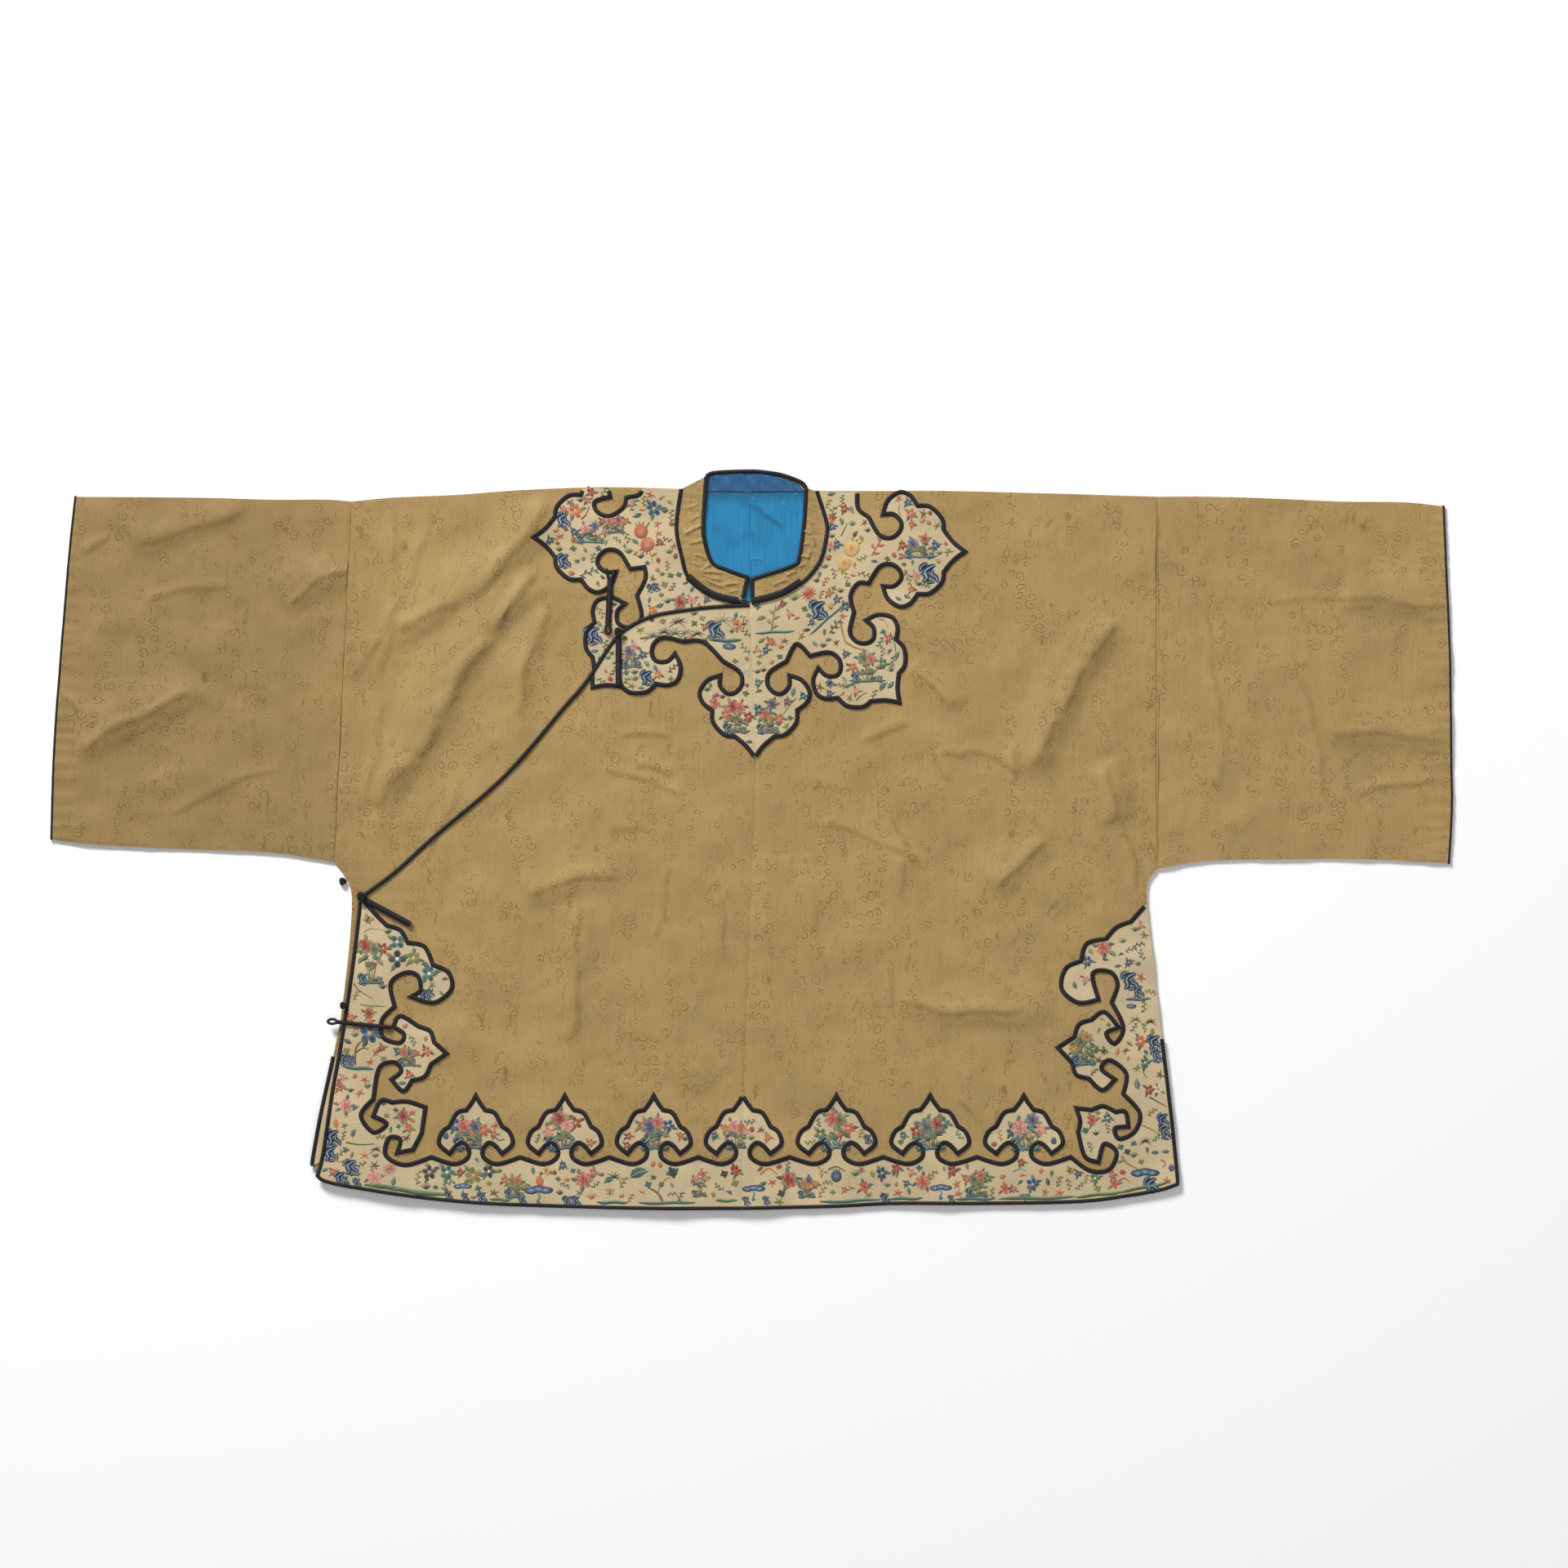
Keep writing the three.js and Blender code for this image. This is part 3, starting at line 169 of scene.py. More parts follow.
BORDER_RIGHT = [
    (-406, -60, 1), (-391, -77, 0), (-379, -89, 1), (-365, -94, 0), (-357, -107, 1), (-340, -111, 0),
    (-331, -130, 1), (-315, -138, 0), (-312, -155, 0), (-330, -169, 0), (-354, -163, 1), (-344, -156, 0),
    (-347, -141, 0), (-360, -138, 0), (-375, -149, 0), (-371, -173, 1), (-384, -187, 0), (-383, -205, 0),
    (-366, -211, 0), (-361, -202, 0), (-372, -194, 1), (-365, -183, 0), (-346, -194, 1), (-334, -199, 0),
    (-330, -210, 1), (-317, -222, 1), (-333, -233, 1), (-340, -246, 0), (-353, -250, 1), (-362, -261, 0),
    (-374, -249, 1), (-364, -240, 0), (-371, -231, 0), (-387, -237, 0), (-393, -269, 1), (-406, -286, 0),
    (-393, -304, 0), (-379, -295, 0), (-393, -287, 1), (-385, -271, 0), (-373, -273, 1), (-358, -272, 0),
    (-339, -278, 1), (-343, -305, 1), (-352, -322, 1), (-368, -325, 1), (-365, -311, 0), (-377, -310, 0),
    (-380, -328, 0), (-360, -338, 0),
]
BORDER_LEFT = [
    (352, -344, 0), (372, -343, 0), (380, -325, 0), (367, -316, 0), (361, -335, 1), (347, -329, 0),
    (340, -304, 1), (342, -292, 0), (338, -279, 1), (354, -281, 1), (366, -277, 0), (379, -283, 1),
    (389, -283, 0), (392, -298, 1), (378, -300, 0), (383, -311, 0), (399, -303, 0), (404, -284, 0),
    (387, -264, 1), (390, -243, 0), (373, -229, 0), (364, -238, 0), (378, -249, 1), (365, -260, 0),
    (351, -248, 1), (338, -244, 0), (334, -232, 1), (319, -216, 1), (336, -205, 1), (341, -192, 0),
    (354, -187, 1), (367, -179, 0), (382, -195, 1), (369, -201, 0), (378, -212, 0), (387, -195, 0),
    (375, -169, 1), (381, -150, 0), (373, -137, 0), (355, -139, 0), (361, -166, 1), (340, -169, 0),
    (323, -155, 0), (327, -134, 0), (343, -126, 1), (349, -108, 0), (369, -103, 1), (380, -91, 0),
    (395, -85, 1), (411, -67, 1),
]
NECK_TAB_RIGHT = [(-66, 274, 1), (-42, 256, 0), (-14, 248.5, 1)]
NECK_TAB_LEFT = [(0, 247.5, 1), (30, 256, 0), (52, 269, 1)]
SHOULDER_STRAP = [(-147, 270, 1), (-147, 262, 0), (-149, 224, 1)]
SHOULDER_FORK_OUTER = [(-151, 282, 1), (-147.5, 268, 1)]
SHOULDER_FORK_INNER = [(-142, 281, 1), (-146.5, 268, 1)]
CHEST_STRAP = [(-138, 216, 1), (-138, 161, 1)]
UNDERARM_STRAP = [(-404, -61, 1), (-354, -88, 1)]
SIDE_STRAP = [(-432, -189, 1), (-374, -195, 1)]

# Where the tips of the cloud heads are, where they point, and how their two halves are widened.
HEADS = {
    "shoulder": (-226, 315, 180, 1, 1),
    "chest": (-165, 159, 225, 1.05, 1),
    "middle": (3.5, 86, 270, 1, 1),
    "lower": (154, 143, 315, 0.95, 1),
    "side": (222, 300, 0, 1, 1.08),
}
SHOULDER_HEAD_ROWS = 6
LAPPET_TROUGH = 47.5
LAPPET_TIP_Y = -266
MIDDLE_LAPPET_X = -9
PITCH_RIGHT = 92.5
PITCH_LEFT = 97.5
LAPPETS_EACH_SIDE = 3

# Thicknesses and heights, as the CAD part has them.
CLOTH = 1.5
GAP = 0.3
SEAM_GAP = 0.04
LEVEL = CLOTH + GAP
SHELL = 0.9
APPLIQUE_TOP = CLOTH + 0.9
COLLAR_RAISED = 1.3
BACK_NECK_Y = 362
CENTRE_BACK_X = -1.5
BACK_HEM_Y = -383
UNDER_HEM_Y = -377

# Narrow creases, as rows like the folds'. Each is soft on the side of the light and steep on the other.
CREASES = [
    (-704, 90, -574, 156, 6, 1.6, 6), (-482, 245, -441, 278, 3, 1.5, 5), (-441, 278, -416, 279, 1, 1.62, 5),
    (-653, 311, -514, 345, -4, 1.2, 12), (-696, 298, -666, 316, 0, 1.35, 7),
    (-206, 356, -301, 251, 8, 2.16, 10), (-301, 251, -371, 215, -3, 1.62, 9),
    (-222, 280, -267, 215, -4, 2.7, 8), (-267, 215, -324, 124, -5, 2.7, 9),
    (-324, 124, -350, 85, 0, 2.16, 8), (-350, 85, -388, 28, -4, 1.89, 9),
    (-388, 28, -366, -28, -4, 1.62, 8), (-208, 249, -245, 119, -4, 1.76, 8),
    (381, 227, 353, 187, -3, 1.5, 9), (353, 187, 321, 128, -3, 1.8, 9), (321, 128, 291, 71, -3, 1.7, 9),
    (265, 96, 276, 57, 2, 1.49, 7), (367, 77, 381, 20, 2, 1.89, 8), (175, 176, 207, 139, 3, 1.76, 7),
    (195, 94, 223, 88, 2, 1.35, 6), (110, 99, 167, 119, 3, 1.62, 7), (252, -50, 310, -2, 3, 1.76, 8),
    (-124, 80, -78, 68, 2, 1.49, 7), (-238, -60, -135, -33, 4, 1.62, 9), (-147, 16, -101, 12, 1, 1.22, 7),
    (150, -168, 289, -177, -4, 1.62, 8), (142, -131, 145, -177, 1, 1.22, 6),
    (-181, -63, -189, -215, 3, 1.62, 8), (-35, -56, -26, -131, 2, 1.22, 6),
    (153, -18, 155, -62, 1, 1.22, 6), (530, 252, 722, 243, 3, 1.0, 6), (385, 28, 400, -55, 2, 1.3, 5),
    (186, 98, 212, 64, -3, 1.3, 6), (211, 97, 286, 66, 5, 1.2, 6), (68, 20, 180, -30, 6, 1.2, 7),
    (627, 42, 717, 64, 4, 1.3, 6), (143, 28, 164, -40, 4, 1.1, 6), (-157, 78, -66, 44, 4, 1.3, 6),
    (-142, 111, -82, 108, 2, 1.1, 5), (-723, 153, -700, 133, 1, 1.2, 4), (-330, 340, -420, 150, 6, 1, 6),
    (-300, 60, -350, -30, 3, 1, 6), (60, -60, 76, -150, 3, 1, 6), (-90, -20, -100, -110, 3, 1, 6),
    (470, 250, 490, 40, 4, 0.9, 6), (560, 200, 600, 20, 5, 0.9, 6), (-610, 20, -480, 80, 4, 1, 7),
    (-640, 250, -540, 262, 4, 1, 6), (590, 114, 716, 112, -3, 1.2, 8), (219, -264, 238, -299, 2, 1.35, 6),
    (242, -306, 257, -279, -2, 1.22, 6), (-372, 353, -386, 147, 6, 1.08, 7),
    (-386, 147, -405, 21, 3, 1.08, 7),
]
# Low swells of the cloth, as rows like the creases'.
SWELLS = [
    (-690, 214, -610, 232, 6, 1.4, 22), (-640, 60, -470, 44, 8, 1.6, 24),
    (-560, 300, -450, 210, -8, 1.2, 22), (-700, 20, -600, 34, 3, 1.2, 18),
    (-590, 190, -480, 140, 6, 1.2, 20), (470, 330, 600, 300, -6, 1.2, 22), (450, 180, 560, 60, 8, 1.3, 24),
    (640, 40, 718, 60, 4, 1.2, 18), (480, 20, 610, -6, 5, 1.1, 18), (660, 330, 712, 290, -4, 1.1, 16),
    (120, 60, 240, 30, 8, 1.2, 22), (40, -40, 130, -110, 6, 1.2, 22), (230, -110, 330, -60, -6, 1.2, 20),
    (-330, 60, -240, -40, 8, 1.3, 22), (-120, -110, -60, -220, 6, 1.1, 20),
    (-320, -60, -250, -170, -6, 1.2, 20), (40, -190, 120, -240, 4, 1, 18), (-90, 60, -20, -20, -5, 1.1, 20),
]
# Creases of the collar's front strips, and of the lining.
COLLAR_CREASES = [
    (-70, 317, -50, 327, 1, 1.3, 2.6), (-66, 308, -48, 313, -1, 0.9, 2.2),
    (-64, 331, -52, 338, 0.5, 0.9, 2.2), (-67, 345, -54, 349, 0, 0.8, 2),
    (-53, 278, -28, 276, 1.5, 1.3, 2.6), (-53, 279, -41, 287, 0.5, 1, 2.2),
    (-52, 276, -31, 270, -1, 1.1, 2.2), (-50, 273, -28, 262, -1, 1.1, 2.4),
    (-30, 264, -12, 266, 1, 1.2, 2.4), (-24, 257, -12, 259, 0.5, 0.8, 2), (-60, 297, -46, 291, 1, 1.1, 2.4),
    (-63, 288, -50, 284, 0, 0.8, 2), (52, 321, 63, 317, 1, 1.3, 2.6), (63, 317, 66, 305, 1, 1.2, 2.4),
    (49, 295, 61, 292, 1, 1.3, 2.6), (60, 293, 62, 301, 0.5, 1, 2.2), (52, 307, 62, 309, -0.5, 0.8, 2),
    (57, 334, 66, 328, -0.5, 1, 2.2), (58, 347, 66, 341, 0, 0.9, 2), (46, 283, 57, 286, 0.5, 0.9, 2.2),
    (36, 274, 48, 279, 1, 1, 2.2), (22, 264, 38, 270, 1, 1, 2.4), (30, 259, 44, 264, 0, 0.8, 2),
]
LINING_CREASES = [
    (0, 356, 12, 342, 1, 1.1, 3), (12, 342, 33, 328, -2, 1.2, 3), (-4, 291, 15, 289, 2, 0.8, 2.4),
    (30, 350, 44, 338, 2, 0.6, 3),
]
# Seams. A row is the ends of a line, the depth of its groove and its half width.
SEAMS = [
    (422, 357, 422, -30, 0.5, 3), (-416, 352, -434, -23, 0.5, 3), (-2, 244, 4, 80, 0.7, 3.5),
    (4, 80, -1, -71, 0.7, 3.5), (-1, -71, -8, -257, 0.7, 3.5), (-8, -257, -10, -383, 0.7, 3.5),
    (-1.5, 362, -1.5, 249, 0.35, 2.5), (-116, 259, -66, 259, 0.5, 2.5), (142, -333, 142, -378, 0.5, 2.5),
    (408, -330, 438, -330, 0.5, 2.5), (341, -283, 385, -318, 0.5, 2.5),
]
# How wide the two sides of a crease and of a large fold are, and how much of each table's height is used.
LIGHT_FROM = (-0.45, 0.9)
SOFT_SIDE = 1.8
STEEP_SIDE = 0.5
FOLD_SHARE = 0.6
FOLD_SOFT = 1.1
FOLD_STEEP = 0.62
CREASE_SHARE = 0.85
FADE_SHARE = 0.16
RIPPLE_SEED = 5
RIPPLE_WAVES = 22
RIPPLE_SHARE = 0.0023
RIPPLE_DEEPEST = 1.1
SWELL_SHARE = 0.55
# Painted shade and soil on the shaded side of each crease and fold: its strength, and its distance from the
# ridge and its width in half widths.
SOIL_AND_SHADE = 4.0
SOIL_AND_SHADE_FROM_RIDGE = -0.35
SOIL_AND_SHADE_WIDTH = 0.35
CUFF_PUCKER = 0.35
HIDDEN_DEPTH = 60

# Spacing of the points of lines and cloth, in millimetres, and angles over which an edge is shown sharp.
LINE_STEP = 2.5
EDGE_STEP = 1.6
CURVE_PARTS = 24
BACK_STEP = 12
BACK_SHELL = 1.4
APPLIQUE_STEP = 3.4
APPLIQUE_SHELL = 0.85
CLOTH_SHARP = 35
TRIM_SHARP = 60
THREAD_SHARP = 30
CORD_CORNERS = 8
ROLL_CORNERS = 12
BRAID_CLEAR = 4
CUFF_ROLL = 1.25
EYE_ROLL = 1.4
FORK_WIDTH = 3.4


def smooth(low, high, value):
    """A smooth step from 0 to 1."""
    share = np.clip((value - low) / (high - low), 0, 1)
    return share * share * (3 - 2 * share)


def beside(x, y, row):
    """Where a place is by a row's line: its share along it, and how far beside it towards the light."""
    x1, y1, x2, y2, bow = row[:5]
    length = math.hypot(x2 - x1, y2 - y1)
    ux, uy = (x2 - x1) / length, (y2 - y1) / length
    along = ((x - x1) * ux + (y - y1) * uy) / length
    inside = np.clip(along, 0, 1)
    aside = (y - y1) * ux - (x - x1) * uy - bow * 4 * inside * (1 - inside)
    return along, aside if ux * LIGHT_FROM[1] > uy * LIGHT_FROM[0] else -aside


def faded(along):
    """Fades a crease at its ends."""
    return smooth(0, FADE_SHARE, along) * smooth(0, FADE_SHARE, 1 - along)


def crease(x, y, row, soft=SOFT_SIDE, steep=STEEP_SIDE):
    """Height of a crease, soft on the side of the light and steep on the other."""
    along, aside = beside(x, y, row)
    aside = np.where(aside > 0, aside / (row[6] * soft), aside / (row[6] * steep))
    return row[5] * faded(along) * np.clip(1 - aside * aside, 0, 1) ** 2


def soiled_and_shaded(part):
    """A part of cloth, with painted shade and soil on the shaded side of its creases and folds as the third
    value at its points.
    """
    points, faces = part[:2]
    x, y = shaken(points[:, 0], points[:, 1])
    dark = np.zeros_like(x)
    for row in CREASES + FOLDS:
        along, aside = beside(x, y, row)
        from_soil_and_shade = (aside / row[6] - SOIL_AND_SHADE_FROM_RIDGE) / SOIL_AND_SHADE_WIDTH
        dark += SOIL_AND_SHADE * row[5] / row[6] * faded(along) * np.exp(-(from_soil_and_shade**2))
    return points, faces, np.column_stack([np.zeros((len(points), 2)), np.clip(dark, 0, 1)])


def groove(x, y, row):
    """Depth of a seam's groove."""
    x1, y1, x2, y2, deep, wide = row
    length = math.hypot(x2 - x1, y2 - y1)
    ux, uy = (x2 - x1) / length, (y2 - y1) / length
    along = np.clip((x - x1) * ux + (y - y1) * uy, 0, length)
    off = np.hypot(x - x1 - along * ux, y - y1 - along * uy)
    return deep * np.clip(1 - off / wide, 0, 1) ** 2


def fold_height(x, y):
    """Height of the large folds above the flat cloth, a little less even than the CAD part's."""
    near = (x + 3.5 * np.sin(y / 31 + 1.3), y + 3.5 * np.sin(x / 37 + 0.4))
    return FOLD_SHARE * np.max([crease(*near, row, FOLD_SOFT, FOLD_STEEP) for row in FOLDS], axis=0)


def shaken(x, y):
    """Places moved a little, so that a crease wavers."""
    moved_x = x + 1.6 * np.sin(y / 9 + 0.7) + 2.2 * np.sin(y / 23)
    return moved_x, y + 1.6 * np.sin(x / 11 + 2.1) + 2.2 * np.sin(x / 27)


def ripples(x, y):
    """A low unevenness all over the cloth."""
    random = np.random.default_rng(RIPPLE_SEED)
    total = np.zeros_like(x)
    for _ in range(RIPPLE_WAVES):
        turn, phase = random.uniform(0, 2 * math.pi, 2)
        length = random.uniform(16, 95)
        cos, sin = math.cos(turn), math.sin(turn)
        bend = 9 * np.sin((x * sin - y * cos) / (length * 1.7) + phase * 3)
        total += RIPPLE_SHARE * length * np.sin(2 * math.pi * (x * cos + y * sin + bend) / length + phase)
    return total


def relief(x, y):
    """Creases, seams and unevenness of an upper layer of cloth."""
    total = ripples(x, y)
    near = shaken(x, y)
    for row in CREASES:
        total += CREASE_SHARE * crease(*near, row)
    for row in SWELLS:
        total += SWELL_SHARE * crease(*near, row, 1, 1)
    for row in SEAMS:
        total -= groove(x, y, row)
    return np.maximum(total, -RIPPLE_DEEPEST)


def line_height(rows, x):
    """Height of a table's line at x, for a line that runs across the robe."""
    ordered = sorted(rows)
    return np.interp(x, [row[0] for row in ordered], [row[1] for row in ordered])


# Lower face of each layer of cloth, as height over the surface.
def on_table(x, y):
    """The cloth that lies on the table."""
    return np.zeros_like(x)


def on_back(x, y):
    """The cloth that lies on the back."""
    return np.full_like(x, LEVEL)


def under_front(x, y):
    """The wearer's right front, flat where the overlap hides it."""
    below = np.where(x < OVERLAP_EDGE[0][0], 0, line_height(OVERLAP_EDGE, x) - y)
    return LEVEL + fold_height(x, y) * (1 - smooth(0, HIDDEN_DEPTH, below)) + relief(x, y)


def left_front(x, y):
    """The wearer's left front, raised where it crosses the right one."""
    return LEVEL + LEVEL * (1 - smooth(8, 50, x)) + fold_height(x, y) + relief(x, y)


def overlap_front(x, y):
    """The overlap, lifted at the underarm."""
    lift = COLLAR_RAISED * (1 - smooth(24, 70, x - OVERLAP_SIDE[-1][0]))
    return 2 * LEVEL + lift * smooth(0, 60, -y) + fold_height(x, y) + relief(x, y)


def sleeve_front(x, y):
    """The upper side of a sleeve, puckered at the cuff."""
    puckers = CUFF_PUCKER * np.sin(y / 2.3 + 2 * np.sin(y / 17)) * smooth(692, 712, np.abs(x))
    return LEVEL + fold_height(x, y) + relief(x, y) + puckers


def raised(layer, high):
    """A layer lifted by a height."""
    return lambda x, y: layer(x, y) + high


def wrinkled(layer, high, rows):
    """A layer lifted by a height, with its own creases and a fine crumple."""

    def height(x, y):
        one_way = np.sin(0.5 * x + 0.42 * y + 1.8 * np.sin(y / 7))
        fine = one_way * np.sin(0.31 * x - 0.2 * y + 1.5 * np.sin(x / 9))
        creases = sum(1.25 * crease(x, y, row, 1.3, 0.7) for row in rows)
        return layer(x, y) + high + creases + 0.3 * fine

    return height


# Lines and outlines, as arrays of points.
def way_of(turn):
    """The cosine and the sine of an angle in degrees."""
    return math.cos(math.radians(turn)), math.sin(math.radians(turn))


def run_along(line):
    """How far along a line each of its points is."""
    return np.concatenate([[0], np.cumsum(np.hypot(*np.diff(line, axis=0).T))])


def trace(rows, step=LINE_STEP):
    """A smooth curve through the rows from each corner to the next."""
    rows = [tuple(row) for row in rows]
    line = []
    start = 0
    for i in range(1, len(rows)):
        if not rows[i][2] and i < len(rows) - 1:
            continue
        knots = np.array([row[:2] for row in rows[start : i + 1]], float)
        padded = np.vstack([knots[:1], knots, knots[-1:]])
        fine = []
        for k in range(len(knots) - 1):
            p0, p1, p2, p3 = padded[k : k + 4]
            t = np.linspace(0, 1, CURVE_PARTS, endpoint=False)[:, None]
            v0, v1 = (p2 - p0) / 2, (p3 - p1) / 2
            cubic, square = 2 * p1 - 2 * p2 + v0 + v1, -3 * p1 + 3 * p2 - 2 * v0 - v1
            fine.append(cubic * t**3 + square * t**2 + v0 * t + p1)
        fine = np.vstack(fine + [knots[-1:]])
        line.append(respaced(fine, step)[:-1])
        start = i
    line.append(np.array([rows[-1][:2]], float))
    return np.vstack(line)


def respaced(line, step):
    """The same line with evenly spaced points."""
    run = run_along(line)
    marks = np.linspace(0, run[-1], max(int(math.ceil(run[-1] / step)), 1) + 1)
    return np.column_stack([np.interp(marks, run, line[:, 0]), np.interp(marks, run, line[:, 1])])


def joined(*lines):
    """Joins lines into one, leaving out a point that repeats the one before it."""
    line = np.vstack([np.asarray(part, float).reshape(-1, 2) for part in lines])
    keep = np.concatenate([[True], np.hypot(*np.diff(line, axis=0).T) > 0.05])
    return line[keep]


def closed_ring(line):
    """An outline with even points, and no repeated last point."""
    line = joined(line, line[:1])
    return line[:-1]


def shifted(line, distance):
    """Moves a line to its left by a distance, with mitred corners."""
    step = np.diff(line, axis=0)
    step /= np.hypot(*step.T)[:, None]
    normal = np.column_stack([-step[:, 1], step[:, 0]])
    before = np.vstack([normal[:1], normal])
    after = np.vstack([normal, normal[-1:]])
    mitre = before + after
    mitre /= np.maximum(np.hypot(*mitre.T), 1e-6)[:, None]
    reach = distance / np.maximum((mitre * before).sum(1), 0.5)
    return line + mitre * np.asarray(reach).reshape(-1, 1)


def strip(line, right, left):
    """The outline of a strip along a line, between two distances to its left."""
    return joined(shifted(line, right), shifted(line, left)[::-1])


def stretch(line, start, end):
    """The part of a line between two distances along it. An end of 0 or less counts back from its end."""
    run = run_along(line)
    low = run[-1] + start if start < 0 else start
    high = run[-1] + end if end <= 0 else end
    inner = line[(run > low) & (run < high)]
    ends = [[np.interp(mark, run, line[:, 0]), np.interp(mark, run, line[:, 1])] for mark in (low, high)]
    return joined(ends[:1], inner, ends[1:])


def half(profile, head, side, spread=1.0):
    """Places half a head or lappet with its tip at a place. Side is 1 or -1."""
    x, y, turn = head[:3]
    cos, sin = way_of(turn)
    placed = []
    for back, out, corner in profile:
        out = side * out * spread
        placed.append((x - back * cos - out * sin, y - back * sin + out * cos, corner))
    return placed


def up_to_tip(head, profile=HEAD):
    """The half of a head that leads up to its tip."""
    return half(profile, head, -1, head[3])[::-1]


def on_from_tip(head, profile=HEAD):
    """The half of a head that leads on from its tip."""
    return half(profile, head, 1, head[4])


def lappets(direction, pitch):
    """The hem lappets of one side, from the outer trough to the middle one's tip."""
    rows = []
    spread = pitch / 2 / LAPPET_TROUGH
    for k in range(LAPPETS_EACH_SIDE, -1, -1):
        tip = (MIDDLE_LAPPET_X + direction * k * pitch, LAPPET_TIP_Y, 90)
        outer = half(LAPPET, tip, -direction, spread)[::-1]
        rows += outer if k == LAPPETS_EACH_SIDE else outer[1:]
        if k > 0:
            rows += half(LAPPET[1:], tip, direction, spread)
    return rows


shoulder_right = trace(SHOULDER_RIGHT)
shoulder_left = trace(SHOULDER_LEFT)
centre_front = trace(CENTRE_FRONT)
neck_right = trace(NECK_RIGHT)
neck_left = trace(NECK_LEFT)
overlap_edge = trace(OVERLAP_EDGE)
overlap_side = trace(OVERLAP_SIDE)
side_sewn = trace(SIDE_LEFT_SEWN)
side_slit = trace(SIDE_LEFT_SLIT)
armpit = trace(ARMPIT_RIGHT)
under_slit = trace(UNDER_SLIT)
under_hem = trace(UNDER_HEM)
hem_left = trace(HEM_LEFT)
hem_right = trace(HEM_RIGHT)
centre_of_left = shifted(centre_front, SEAM_GAP)
centre_of_overlap = shifted(centre_front, -SEAM_GAP)
edge_of_left = joined(hem_left[:-1][::-1], joined(side_sewn, side_slit)[::-1], shoulder_left[::-1])
edge_of_right = joined(under_hem[:-1][::-1], joined(armpit, under_slit)[::-1], shoulder_right)
left_front_outline = joined(centre_of_left, edge_of_left, neck_left[1:][::-1])
left_back_outline = joined(
    [[CENTRE_BACK_X + 0.15, BACK_NECK_Y], [CENTRE_BACK_X + 0.15, BACK_HEM_Y]],
    edge_of_left,
    [[shoulder_left[0][0], BACK_NECK_Y]],
)
right_front_outline = joined(
    [[-2.5, neck_right[-1][1]], [-10.5, UNDER_HEM_Y]], edge_of_right, neck_right[:-1]
)
right_back_outline = joined(
    [[CENTRE_BACK_X - 0.15, BACK_NECK_Y], [CENTRE_BACK_X - 0.15, UNDER_HEM_Y]],
    edge_of_right,
    [[neck_right[0][0], BACK_NECK_Y]],
)
overlap_outline = joined(centre_of_overlap, hem_right[1:], overlap_side, overlap_edge[:-1])
overlap_path = joined(hem_right, overlap_side, overlap_edge)
left_path = joined(side_slit, hem_left)

shoulder, chest, middle, lower, side = (HEADS[name] for name in ("shoulder", "chest", "middle", "lower",
                                                                 "side"))
shoulder_bay = trace(SHOULDER_BAY, EDGE_STEP)
shoulder_free = trace(
    SHOULDER_TOP
    + up_to_tip(shoulder, HEAD[:SHOULDER_HEAD_ROWS])
    + on_from_tip(shoulder, HEAD[1:])
    + SHOULDER_TO_CHEST
    + up_to_tip(chest),
    EDGE_STEP,
)
overlap_cloud_free = trace(on_from_tip(chest) + CHEST_TO_MIDDLE + up_to_tip(middle), EDGE_STEP)
left_cloud_free = trace(
    on_from_tip(middle)
    + MIDDLE_TO_LOWER
    + up_to_tip(lower)
    + on_from_tip(lower, HEAD[1:])
    + LOWER_TO_SIDE
    + up_to_tip(side)
    + on_from_tip(side, HEAD[1:])
    + SIDE_TO_TOP,
    EDGE_STEP,
)
overlap_border_free = trace(BORDER_RIGHT + lappets(-1, PITCH_RIGHT), EDGE_STEP)
left_border_free = trace(lappets(1, PITCH_LEFT)[::-1] + BORDER_LEFT, EDGE_STEP)

shoulder_cloud_outline = joined(
    [[x, y - GAP] for x, y in shoulder_right[::-1] if x > shoulder_bay[0][0]],
    shoulder_bay,
    shoulder_free,
    [[-2.5, 150], [-2.5, 245.5]],
    neck_right[1:-1][::-1],
)
overlap_cloud_outline = joined(
    overlap_cloud_free[:-1],
    centre_of_overlap[centre_of_overlap[:, 1] > middle[1]][::-1],
    [[x, y] for x, y in overlap_edge[:-1][::-1] if y > chest[1] + 10],
)
left_cloud_outline = joined(
    left_cloud_free[1:],
    [[x, min(y, BACK_NECK_Y)] for x, y in neck_left[1:][::-1]],
    centre_of_left[centre_of_left[:, 1] > middle[1] + 2],
)
overlap_border_outline = joined(
    overlap_border_free[:-1],
    centre_of_overlap[centre_of_overlap[:, 1] < LAPPET_TIP_Y],
    hem_right[1:],
    overlap_side[:-1],
)
left_border_outline = joined(
    left_border_free[1:],
    side_sewn[side_sewn[:, 1] < BORDER_LEFT[-1][1] - 4],
    side_slit,
    hem_left[:-1],
    centre_of_left[centre_of_left[:, 1] < LAPPET_TIP_Y][::-1],
)
under_shown = stretch(under_slit, 34, -8)


# Meshes. A part is an array of points in millimetres, one of triangles, and ones kept at the points.
def near_points(line):
    """A search tree of a line's points."""
    tree = kdtree.KDTree(len(line))
    for i, (x, y) in enumerate(line):
        tree.insert((x, y, 0), i)
    tree.balance()
    return tree


